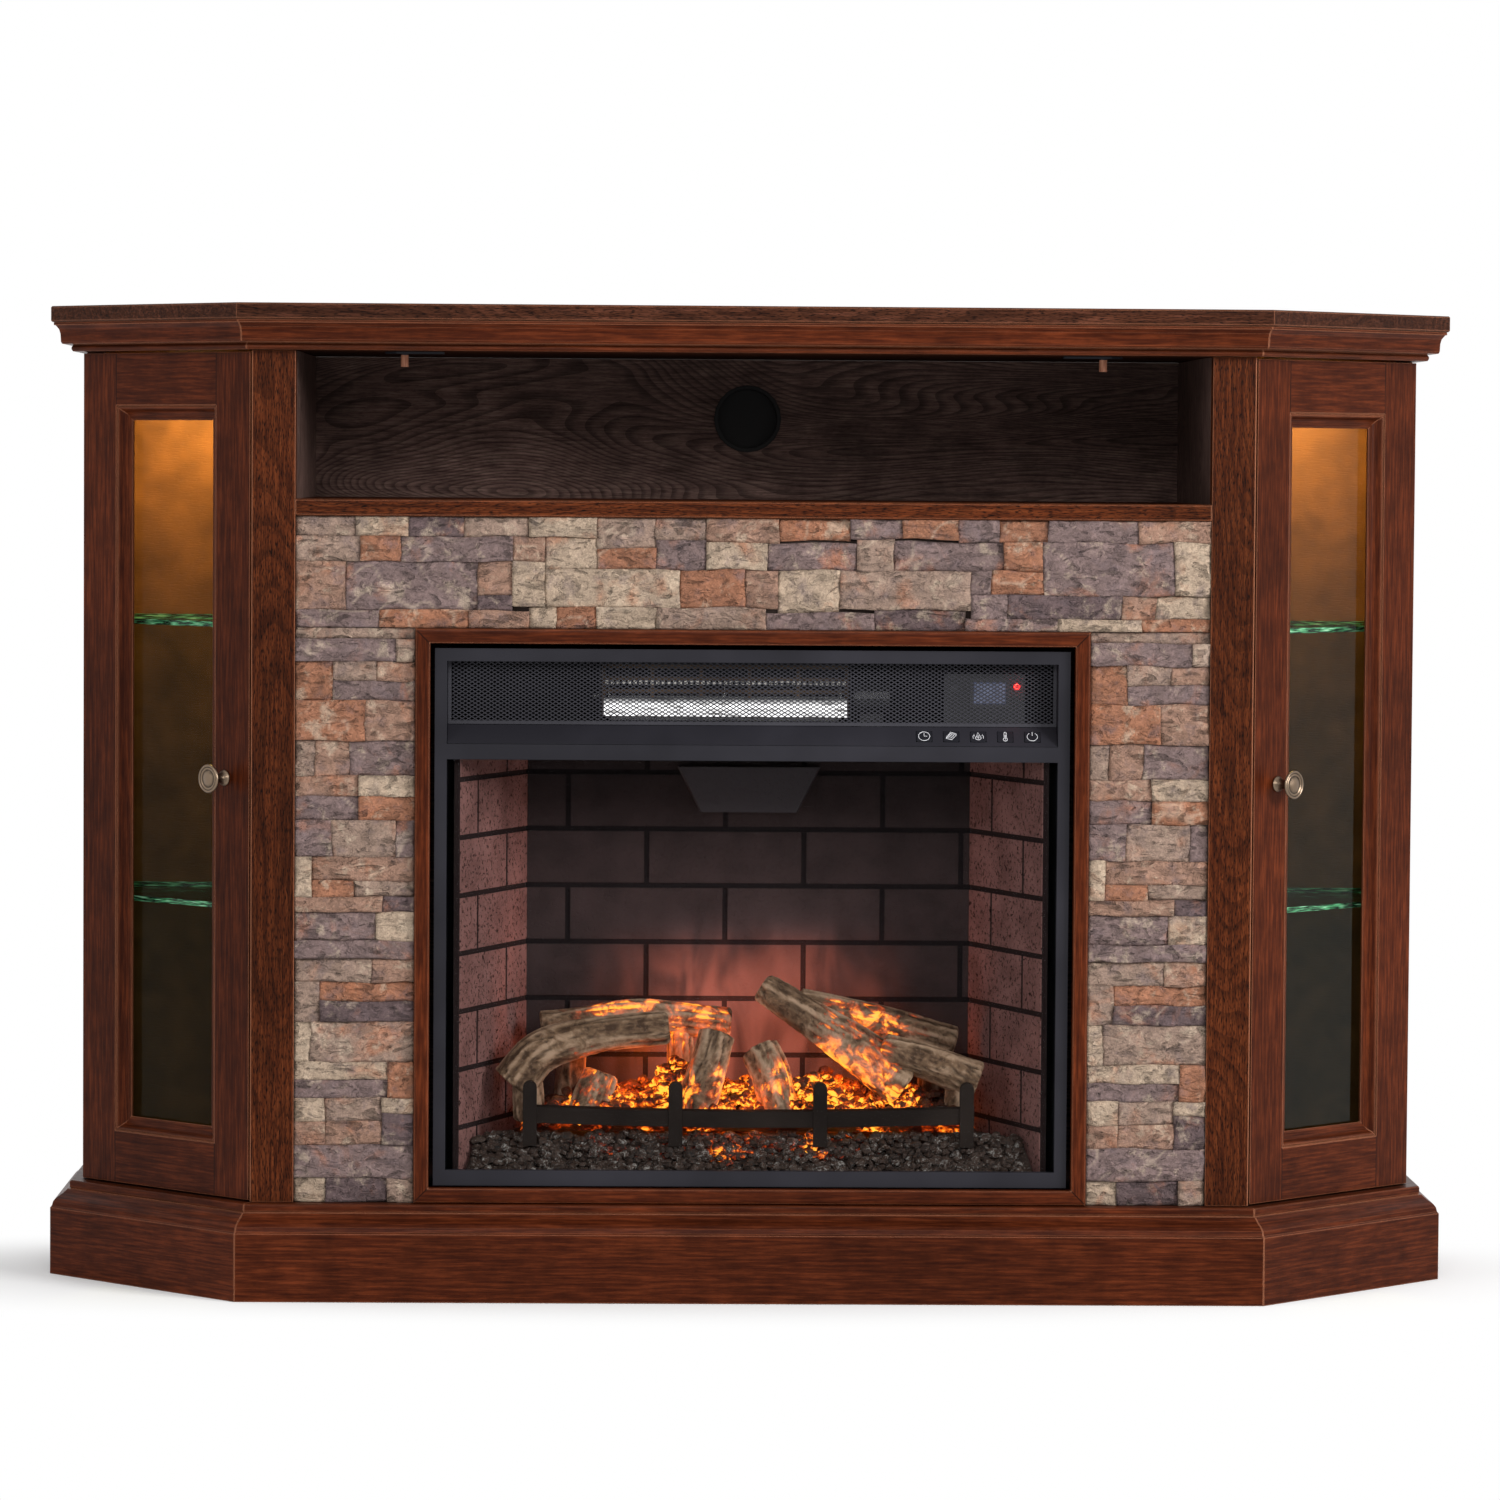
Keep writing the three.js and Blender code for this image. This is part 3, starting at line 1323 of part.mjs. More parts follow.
// Element board across the duct's mouth: heating strips with open slots between them.
function heatingElement() {
  const x0 = ductLeft + sheet + seat;
  const x1 = ductRight - sheet - seat;
  const z0 = heaterDeckTop + 37;
  const z1 = wheel.z + blowerRadius + 6;
  const front = grilleFront + 24;
  const thickness = 3;
  const strip = 3.5;
  const rows = 4;
  const columns = 5;
  const cellX = (x1 - x0 - strip) / columns;
  const cellZ = (z1 - z0 - strip) / rows;
  const slots = [];
  for (let r = 0; r < rows; r++) {
    for (let c = 0; c < columns; c++) {
      const left = x0 + strip + c * cellX;
      const foot = z0 + strip + r * cellZ;
      slots.push(box(
        left, left + cellX - strip, front - 1, front + thickness + 1, foot, foot + cellZ - strip,
      ));
    }
  }
  return cut(box(x0, x1, front, front + thickness, z0, z1), ...slots);
}

// Tangential blower wheel: forward-curved blades between three discs on one shaft.
function blowerWheel() {
  const x0 = ductLeft + sheet + 6;
  const x1 = ductRight - sheet - 6;
  const discs = [x0, (x0 + x1) / 2 - 1, x1 - 2].map((x) =>
    rodAlongX(blowerRadius, x, x + 2, wheel.y, wheel.z, blowerBlades),
  );
  const shaft = rodAlongX(shaftRadius, ductLeft - 6, ductRight + 16, wheel.y, wheel.z, 10);
  const blades = [];
  for (let i = 0; i < blowerBlades; i++) {
    const turn = (2 * Math.PI * (i + 0.5)) / blowerBlades;
    const onBlade = (radius, lead, out) => {
      const angle = turn + lead;
      return [
        wheel.y + (radius + out) * Math.cos(angle),
        wheel.z + (radius + out) * Math.sin(angle),
      ];
    };
    const section = points(
      onBlade(blowerRadius - 8, 0, 0),
      onBlade(blowerRadius - 4.5, 0.07, 0),
      onBlade(blowerRadius - 0.6, 0.2, 0),
      onBlade(blowerRadius - 0.6, 0.24, 0),
      onBlade(blowerRadius - 4.5, 0.12, 0),
      onBlade(blowerRadius - 8, 0.06, 0),
    );
    blades.push(alongX(section, x0 + 1, x1 - 1));
  }
  return join(shaft, ...discs, ...blades);
}

// Shaded-pole motor on its own foot, with the wheel's shaft running in its bore.
function blowerMotor() {
  const x0 = ductRight + 4;
  const body = rodAlongX(20, x0, x0 + 34, wheel.y, wheel.z, 18);
  const nose = rodAlongX(9, x0 - 2, x0 + 1, wheel.y, wheel.z, 14);
  const foot = box(x0 + 6, x0 + 28, wheel.y - 14, wheel.y + 14, heaterDeckTop + seat, wheel.z - 12);
  const bore = rodAlongX(shaftRadius + seat, x0 - 3, x0 + 14, wheel.y, wheel.z, 12);
  return cut(join(body, nose, foot), bore);
}

// Sloped sheet lip under the grille, pierced for the keys.
function controlLip() {
  const along = { y: Math.sin(lipTilt), z: Math.cos(lipTilt) };
  const inward = { y: along.z * lipThickness, z: -along.y * lipThickness };
  const backLineAtFoot = inward.y - (inward.z * along.y) / along.z;
  const section = points(
    [lipFoot.y, lipFoot.z],
    [lipHead.y, lipHead.z],
    [lipHead.y + inward.y, lipHead.z + inward.z],
    [lipFoot.y + backLineAtFoot, lipFoot.z],
  );
  const plate = alongX(section, -grilleHalf, grilleHalf);
  const slots = keyCentres().map((centre) => {
    const slot = new THREE.BoxGeometry(keyWidth, keyDepth, lipThickness * 4);
    return onLip(slot, centre, 0);
  });
  return cut(plate, ...slots);
}

function keyCentres() {
  return Array.from({ length: keyCount }, (_, i) => firstKeyX + i * keyPitch);
}

// Moves a geometry made round the origin, with Z out of the lip, to its place on the lip.
function onLip(geometry, x, out) {
  return geometry
    .translate(0, 0, out)
    .rotateX(Math.PI / 2 - lipTilt)
    .translate(x, (lipFoot.y + lipHead.y) / 2, (lipFoot.z + lipHead.z) / 2);
}

// A key with a rounded cap, and a flange behind the lip that keeps it in.
function lipKey(x) {
  const capWidth = keyWidth - 2 * seat;
  const capDepth = keyDepth - 2 * seat;
  const radius = 1.6;
  const cap = new THREE.Shape();
  const cornersAt = [
    [capWidth / 2 - radius, capDepth / 2 - radius, 0],
    [-capWidth / 2 + radius, capDepth / 2 - radius, Math.PI / 2],
    [-capWidth / 2 + radius, -capDepth / 2 + radius, Math.PI],
    [capWidth / 2 - radius, -capDepth / 2 + radius, -Math.PI / 2],
  ];
  cornersAt.forEach(([cx, cy, start]) => cap.absarc(cx, cy, radius, start, start + Math.PI / 2, false));
  const flangeTop = -lipThickness - seat;
  const capBody = new THREE.ExtrudeGeometry(cap, {
    depth: keyProud - flangeTop + 0.5,
    bevelEnabled: false,
    curveSegments: 2,
  }).translate(0, 0, flangeTop - 0.5);
  const flange = new THREE.BoxGeometry(keyWidth + 2, keyDepth + 1.6, 0.8)
    .translate(0, 0, flangeTop - 0.4);
  return onLip(join(capBody, flange), x, 0);
}

// Display board behind the grille: a window with a raised bezel, a lamp and a round sensor.
function displayModule() {
  const front = grilleFront + grilleThickness + seat;
  const reliefThickness = 3;
  const foot = grilleBottom;
  const { left, right, height, windowLeft, windowRight, windowFoot, windowHead, bezel } = display;
  const bodyFront = front + reliefThickness - 1;
  const plate = box(left, right, bodyFront, bodyFront + 6, foot, foot + height);
  const bezelShape = rectangle(
    THREE.Shape, windowLeft - bezel, windowRight + bezel,
    foot + windowFoot - bezel, foot + windowHead + bezel,
  );
  bezelShape.holes.push(
    rectangle(THREE.Path, windowLeft, windowRight, foot + windowFoot, foot + windowHead),
  );
  const dome = (x, rise, radius) =>
    new THREE.CylinderGeometry(radius, radius, reliefThickness, 12)
      .translate(x, front + reliefThickness / 2, foot + rise);
  const lamp = dome(display.lampX, display.lampRise, 2);
  const sensor = dome(display.sensorX, display.sensorRise, 3.4);
  return join(plate, standing(bezelShape, front, reliefThickness), lamp, sensor);
}

function addHeaterAndControls() {
  addPiece("outlet_grille", outletGrille(), blackSheet());
  addPiece("heater_duct", heaterDuct(), brightSheet());
  addPiece("heating_element", heatingElement(), finish(0x5b4a3c, 0.6, 0.4));
  addPiece("blower_wheel", blowerWheel(), finish(0x9a9a98, 0.45, 0.8));
  addPiece("blower_motor", blowerMotor(), finish(0x4a4a4c, 0.5, 0.6));
  addPiece("control_lip", controlLip(), blackSheet());
  addPiece("display_module", displayModule(), finish(0x202428, 0.35));
  const functions = ["timer", "heater", "flame", "thermostat", "power"];
  keyCentres().forEach((x, i) => addPiece(`${functions[i]}_key`, lipKey(x), finish(0x26262a, 0.45)));
}

// ---------------------------------------------------------------- assembly

addTopAndBase();
addUprights();
addBayFittings();
addShelvesAndLights();
for (const side of [-1, 1]) {
  addDoor(side);
  addHinges(side);
}
addStoneAndTrim();
addInsertShell();
addFirebox();
addHeaterAndControls();

export default fireplace;
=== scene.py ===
import math
import random

import bmesh
import bpy
from mathutils import Matrix, Vector, noise


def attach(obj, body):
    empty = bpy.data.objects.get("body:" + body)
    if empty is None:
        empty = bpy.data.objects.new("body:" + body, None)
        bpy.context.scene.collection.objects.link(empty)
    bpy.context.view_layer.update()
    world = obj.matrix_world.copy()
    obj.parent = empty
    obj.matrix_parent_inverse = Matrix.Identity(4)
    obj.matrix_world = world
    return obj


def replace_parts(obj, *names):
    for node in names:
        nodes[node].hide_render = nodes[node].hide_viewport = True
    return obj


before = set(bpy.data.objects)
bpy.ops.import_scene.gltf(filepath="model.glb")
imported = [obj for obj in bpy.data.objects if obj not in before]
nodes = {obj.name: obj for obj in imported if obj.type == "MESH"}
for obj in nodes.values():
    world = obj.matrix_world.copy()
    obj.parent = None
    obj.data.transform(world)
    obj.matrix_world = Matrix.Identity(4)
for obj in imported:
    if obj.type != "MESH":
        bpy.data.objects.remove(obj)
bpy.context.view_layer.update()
print("frame loaded:", len(nodes), "nodes")

# places that several pieces share, in metres, as the model has them
plan = {
    "frontY": -0.170,
    "frontHalf": 0.4635,  # half width of the flat front, to where the canted doors start
    "doorStile": 0.0475,
    "doorEdge": 0.0025,  # from the corner of the cant to the door's inner edge
    "doorMiddle": 0.4830,
    "openingHalf": 0.3435,  # half height of the doors' glazed opening
    "cantLength": 0.240416,
    "baySide": 0.4300,  # beyond this the side boards face a cabinet
    "fireboxFloor": 0.0903,
    "fireboxFront": -0.1534,
    "fireboxBack": -0.0014,
    "fireboxHalf": 0.2715,  # half width at the glass, between the mortar planes of the side walls
    "fireboxTaper": 0.0597 / 0.152,  # how fast the side walls close in towards the back
}

# the six sides of a box over four front corners and the four behind them
boxQuads = ((0, 1, 2, 3), (7, 6, 5, 4), (0, 4, 5, 1), (1, 5, 6, 2), (2, 6, 7, 3), (3, 7, 4, 0))


# small helpers for meshes and node trees

def hexColour(text, alpha=1.0):
    parts = [int(text[i:i + 2], 16) / 255 for i in (1, 3, 5)]
    return tuple(p / 12.92 if p <= 0.04045 else ((p + 0.055) / 1.055) ** 2.4 for p in parts) + (alpha,)


def addNode(tree, kind, settings=None, links=None):
    node = tree.nodes.new(kind)
    for name, value in (settings or {}).items():
        if name == "stops":
            while len(node.color_ramp.elements) < len(value):
                node.color_ramp.elements.new(1.0)
            for element, (place, colour) in zip(node.color_ramp.elements, value):
                element.position = place
                element.color = colour
        else:
            setattr(node, name, value)
    for socket, value in (links or {}).items():
        if isinstance(value, bpy.types.Node):
            value = value.outputs[0]
        if isinstance(value, bpy.types.NodeSocket):
            tree.links.new(value, node.inputs[socket])
        else:
            node.inputs[socket].default_value = value
    return node


# settings that many nodes share
colourTimes = {"data_type": "RGBA", "blend_type": "MULTIPLY"}
colourMix = {"data_type": "RGBA"}
softly = {"interpolation_type": "SMOOTHSTEP"}
fourWay = {"noise_dimensions": "4D"}
times = {"operation": "MULTIPLY"}
timesPlus = {"operation": "MULTIPLY_ADD"}
minus = {"operation": "SUBTRACT"}
sizeOf = {"operation": "ABSOLUTE"}
above = {"operation": "GREATER_THAN"}
below = {"operation": "LESS_THAN"}


def startMaterial(name):
    material = bpy.data.materials.new(name)
    material.use_nodes = True
    material.node_tree.nodes.clear()
    return material, material.node_tree


def surface(tree, shader):
    addNode(tree, "ShaderNodeOutputMaterial", None, {"Surface": shader})


def dress(material, *names):
    for name in names:
        mesh = nodes[name].data
        mesh.materials.clear()
        mesh.materials.append(material)


def makePiece(name, verts, faces, materials, smooth=True, faceMaterials=None, values=None):
    mesh = bpy.data.meshes.new(name)
    mesh.from_pydata(verts, [], faces)
    for material in materials:
        mesh.materials.append(material)
    if faceMaterials:
        mesh.polygons.foreach_set("material_index", faceMaterials)
    mesh.polygons.foreach_set("use_smooth", [smooth] * len(faces))
    for key, numbers in (values or {}).items():
        mesh.attributes.new(key, "FLOAT", "POINT").data.foreach_set("value", numbers)
    mesh.update()
    piece = bpy.data.objects.new(name, mesh)
    bpy.context.scene.collection.objects.link(piece)
    return piece


def gridFaces(across, along, start=0, closed=False):
    faces = []
    for r in range(along - 1):
        for c in range(across if closed else across - 1):
            a = start + r * across + c
            b = start + r * across + (c + 1) % across
            faces.append((a, b, b + across, a + across))
    return faces


def lerp(a, b, t):
    return a + (b - a) * t


def smoothStep(low, high, value):
    t = min(max((value - low) / (high - low), 0.0), 1.0)
    return t * t * (3 - 2 * t)


# camera, lamps and floor

cameraLook = {
    "place": (-0.1129, -5.6067, 0.7761),
    "yaw": 0.0203,
    "pitchDown": 0.0487,
    "roll": 0.0069,
    "lens": 141.27,
}


def placeCamera(look):
    yaw, pitch, roll = look["yaw"], look["pitchDown"], look["roll"]
    forward = Vector((math.sin(yaw) * math.cos(pitch), math.cos(yaw) * math.cos(pitch), -math.sin(pitch)))
    level = Vector((math.cos(yaw), -math.sin(yaw), 0))
    upright = level.cross(forward)
    right = level * math.cos(roll) + upright * math.sin(roll)
    up = upright * math.cos(roll) - level * math.sin(roll)
    data = bpy.data.cameras.new("camera")
    data.lens = look["lens"]
    data.sensor_width = 36
    data.clip_end = 100
    camera = bpy.data.objects.new("camera", data)
    bpy.context.scene.collection.objects.link(camera)
    camera.matrix_world = Matrix((right, up, -forward)).transposed().to_4x4()
    camera.location = look["place"]
    bpy.context.scene.camera = camera


stageLook = {
    "fillStrength": 0.55,
    "lamps": [  # name, place, aim, width, height, watts
        ("keyLamp", (3.3, -2.5, 1.9), (0.2, 0, 0.4), 1.3, 1.5, 165),
        ("sideLamp", (-3.0, -2.6, 2.1), (-0.3, 0, 0.5), 1.0, 1.8, 20),
        ("frontLamp", (-0.2, -5.4, 2.6), (0, 0, 0.45), 2.4, 1.2, 72),
    ],
    "backdrop": "#ffffff",
    "floor": "#fbfbfb",
    "floorHalf": 14,
    "floorDrop": 0.0004,
    "shadowReach": (0.17, 0.36),  # between these the floor turns to plain white
    "shadowSqueeze": 0.32,  # x is squeezed by this, so the shadow reaches further sideways
}


def lampAt(name, place, aim, width, height, watts, colour=(1, 1, 1)):
    data = bpy.data.lights.new(name, "AREA")
    data.shape = "RECTANGLE"
    data.size = width
    data.size_y = height
    data.energy = watts
    data.color = colour
    lamp = bpy.data.objects.new(name, data)
    bpy.context.scene.collection.objects.link(lamp)
    lamp.location = place
    lamp.rotation_euler = (Vector(aim) - Vector(place)).to_track_quat("-Z", "Y").to_euler()
    return lamp


def glowLamp(name, place, watts, colour, radius):
    data = bpy.data.lights.new(name, "POINT")
    data.energy = watts
    data.color = hexColour(colour)[:3]
    data.shadow_soft_size = radius
    lamp = bpy.data.objects.new(name, data)
    lamp.location = place
    bpy.context.scene.collection.objects.link(lamp)


def lightStage(look):
    world = bpy.data.worlds.new("studio")
    bpy.context.scene.world = world
    world.use_nodes = True
    tree = world.node_tree
    tree.nodes.clear()
    path = addNode(tree, "ShaderNodeLightPath")
    seen = addNode(tree, "ShaderNodeMath", {"operation": "MAXIMUM"},
                   {0: path.outputs["Is Camera Ray"], 1: path.outputs["Is Glossy Ray"]})
    seen = addNode(tree, "ShaderNodeMath", {"operation": "MAXIMUM"},
                   {0: seen, 1: path.outputs["Is Transmission Ray"]})
    fill = addNode(tree, "ShaderNodeBackground", None,
                   {"Color": hexColour("#ffffff"), "Strength": look["fillStrength"]})
    white = addNode(tree, "ShaderNodeBackground", None,
                    {"Color": hexColour(look["backdrop"]), "Strength": 1.0})
    mixed = addNode(tree, "ShaderNodeMixShader", None, {0: seen, 1: fill, 2: white})
    addNode(tree, "ShaderNodeOutputWorld", None, {"Surface": mixed})
    for lamp in look["lamps"]:
        lampAt(*lamp)


def layFloor(look):
    material, tree = startMaterial("white studio floor")
    coords = addNode(tree, "ShaderNodeTexCoord")
    squeezed = addNode(tree, "ShaderNodeMapping", None,
                       {"Vector": coords.outputs["Object"], "Scale": (look["shadowSqueeze"], 1, 1)})
    reach = addNode(tree, "ShaderNodeVectorMath", {"operation": "LENGTH"}, {0: squeezed})
    far = addNode(tree, "ShaderNodeMapRange", softly,
                  {"Value": reach.outputs["Value"], "From Min": look["shadowReach"][0],
                   "From Max": look["shadowReach"][1]})
    near = addNode(tree, "ShaderNodeBsdfDiffuse", None, {"Color": hexColour(look["floor"])})
    plain = addNode(tree, "ShaderNodeEmission", None,
                    {"Color": hexColour(look["backdrop"]), "Strength": 1.0})
    surface(tree, addNode(tree, "ShaderNodeMixShader", None, {0: far, 1: near, 2: plain}))
    half, drop = look["floorHalf"], -look["floorDrop"]
    floor = makePiece("floor",
                      [(-half, -half, drop), (half, -half, drop), (half, half, drop), (-half, half, drop)],
                      [(0, 1, 2, 3)], [material], smooth=False)


placeCamera(cameraLook)
lightStage(stageLook)
layFloor(stageLook)
print("camera, lamps and floor placed")


# stained wood

# poplar and cherry veneer under a brown-red stain and satin lacquer: soft streaks, few pores
stainedLook = {
    "dark": "#3a1508",
    "middle": "#4b1f0d",
    "light": "#622c15",
    # pale tone of the eased edges: worn stain, and a painted highlight
    "edge": "#b8795a",
    "sheen": 0.24,  # how much one end of a board differs from the other
    "streakWidth": 0.0026,
    "stretch": 0.06,
    "waver": 0.15,
    "poreWidth": 0.0007,
    "poreLength": 0.10,  # 1 would make the pores round
    "poreDepth": 0.17,
    "rings": 0.0,
    "ringCount": 30,  # ring lines over the height of one hill in the figure
    "ringLength": 0.22,
    "blotch": 0.42,
    "blotchSize": 0.034,
    "roughness": 0.33,
    "specular": 0.05,
    "bump": 0.10,
    "edgeRadius": 0.0017,
}

# open-grain oak veneer, same stain: dark cathedral rings and long open pores
oakLook = dict(stainedLook, dark="#3a1708", middle="#50240f", light="#653218", streakWidth=0.0022,
               stretch=0.05,
               poreWidth=0.0008, poreLength=0.13, poreDepth=0.85, rings=0.34, ringCount=40, blotch=0.2,
               roughness=0.4, bump=0.32)

# the same oak stained nearly black at the back of the media bay
darkOakLook = dict(oakLook, dark="#5a443e", middle="#6e554e", light="#82695f", edge="#6e554e", ringCount=84,
                   rings=0.48, poreDepth=0.30, blotch=0.45, roughness=0.5, specular=0.05, bright="#6f4926")

# stained board where nobody looks: underside, roof and inside of the base
boardLook = dict(stainedLook, dark="#2a130b", middle="#3a1d12", light="#4a2a1b", edge="#4a2a1b",
                 blotch=0.45,
                 roughness=0.6)

grainScale = {
    "jointWidth": 0.0009,  # shadow line where a rail meets a stile
    "jointColour": "#140805",
    "offset": 3.7,  # shifts the pattern between one board and the next
    "trimMiddle": 0.35525,  # mid height of the trim frame, and how much wider than high its half is
    "trimExcess": 0.04605,
}


def grainOrder(tree, vector, order, stretch):
    # puts the grain's own direction first and draws it out
    parts = addNode(tree, "ShaderNodeSeparateXYZ", None, {0: vector})
    along = addNode(tree, "ShaderNodeMath", times, {0: parts.outputs[order[0]], 1: stretch})
    return addNode(tree, "ShaderNodeCombineXYZ", None,
                   {0: along, 1: parts.outputs[order[1]], 2: parts.outputs[order[2]]})


def grainSpace(tree, grain, side, stretch):
    coords = addNode(tree, "ShaderNodeTexCoord")
    place = coords.outputs["Object"]
    joint = None
    if grain == "x":
        space = grainOrder(tree, place, "XZY", stretch)
    elif grain == "y":
        space = grainOrder(tree, place, "YZX", stretch)
    elif grain == "z":
        space = grainOrder(tree, place, "ZXY", stretch)
    elif grain == "mitred":
        mask, joint = mitreMask(tree, place)
        first, second = grainOrder(tree, place, "XZY", stretch), grainOrder(tree, place, "ZXY", stretch)
        space = addNode(tree, "ShaderNodeMix", {"data_type": "VECTOR"},
                        {0: mask, 4: first, 5: second}).outputs[1]
    else:
        turned = addNode(tree, "ShaderNodeMapping", {"vector_type": "TEXTURE"},
                         {"Vector": place, "Location": (side * plan["frontHalf"], plan["frontY"], 0),
                          "Rotation": (0, 0, side * math.pi / 4)})
        first = grainOrder(tree, turned, "XZY", stretch)
        if grain == "run":
            second = grainOrder(tree, place, "YZX", stretch)
            facing = addNode(tree, "ShaderNodeSeparateXYZ", None, {0: coords.outputs["Normal"]})
            sideways = addNode(tree, "ShaderNodeMath", sizeOf, {0: facing.outputs["X"]})
            mask = addNode(tree, "ShaderNodeMath", above, {0: sideways, 1: 0.85})
        else:
            second = grainOrder(tree, turned, "ZXY", stretch)
            mask, joint = stileMask(tree, turned, side)
        space = addNode(tree, "ShaderNodeMix", {"data_type": "VECTOR"},
                        {0: mask, 4: first, 5: second}).outputs[1]
        shifted = addNode(tree, "ShaderNodeVectorMath", {"operation": "SCALE"},
                          {0: (1.0, 0.63, 0.37), "Scale": mask})
        space = addNode(tree, "ShaderNodeVectorMath", {"operation": "ADD"}, {0: space, 1: shifted})
    info = addNode(tree, "ShaderNodeObjectInfo")
    shift = addNode(tree, "ShaderNodeMath", times, {0: info.outputs["Random"], 1: grainScale["offset"]})
    return addNode(tree, "ShaderNodeVectorMath", {"operation": "ADD"}, {0: space, 1: shift}), place, joint


def mitreMask(tree, place):
    # 1 on the trim's uprights, 0 on its head and foot, and the mitre line between them
    parts = addNode(tree, "ShaderNodeSeparateXYZ", None, {0: place})
    away = addNode(tree, "ShaderNodeMath", sizeOf, {0: parts.outputs["X"]})
    climb = addNode(tree, "ShaderNodeMath", minus, {0: parts.outputs["Z"], 1: grainScale["trimMiddle"]})
    climb = addNode(tree, "ShaderNodeMath", sizeOf, {0: climb})
    beyond = addNode(tree, "ShaderNodeMath", minus, {0: away, 1: climb})
    mask = addNode(tree, "ShaderNodeMath", above, {0: beyond, 1: grainScale["trimExcess"]})
    joint = addNode(tree, "ShaderNodeMath", {"operation": "COMPARE"},
                    {0: beyond, 1: grainScale["trimExcess"], 2: grainScale["jointWidth"] / 1.4})
    return mask, joint


def stileMask(tree, turned, side):
    # 1 on the upright stiles, 0 on the rails between them, and the shadow line at their joints
    parts = addNode(tree, "ShaderNodeSeparateXYZ", None, {0: turned})
    across = addNode(tree, "ShaderNodeMath", times, {0: parts.outputs["X"], 1: float(side)})
    inner = plan["doorEdge"] + plan["doorStile"]
    outer = plan["cantLength"] - plan["doorStile"]
    offCentre = addNode(tree, "ShaderNodeMath", minus, {0: across, 1: (inner + outer) / 2})
    offCentre = addNode(tree, "ShaderNodeMath", sizeOf, {0: offCentre})
    half = (outer - inner) / 2
    mask = addNode(tree, "ShaderNodeMath", above, {0: offCentre, 1: half})
    # the beads round the glass are mitred: upright where a side is nearer than the head or foot
    climb = addNode(tree, "ShaderNodeMath", minus, {0: parts.outputs["Z"], 1: plan["doorMiddle"]})
    climb = addNode(tree, "ShaderNodeMath", sizeOf, {0: climb})
    fromSide = addNode(tree, "ShaderNodeMath", minus, {0: half, 1: offCentre})
    fromHead = addNode(tree, "ShaderNodeMath", minus, {0: plan["openingHalf"], 1: climb})
    beside = addNode(tree, "ShaderNodeMath", below, {0: fromSide, 1: fromHead})
    upright = addNode(tree, "ShaderNodeMath", {"operation": "MAXIMUM"}, {0: mask, 1: beside})
    within = addNode(tree, "ShaderNodeMath", above, {0: fromHead, 1: 0.0})
    fromJoint = addNode(tree, "ShaderNodeMath", minus, {0: offCentre, 1: half})
    fromJoint = addNode(tree, "ShaderNodeMath", sizeOf, {0: fromJoint})
    line = addNode(tree, "ShaderNodeMath", below, {0: fromJoint, 1: grainScale["jointWidth"] / 2})
    line = addNode(tree, "ShaderNodeMath", {"operation": "SUBTRACT", "use_clamp": True},
                   {0: line, 1: within})
    return upright, line


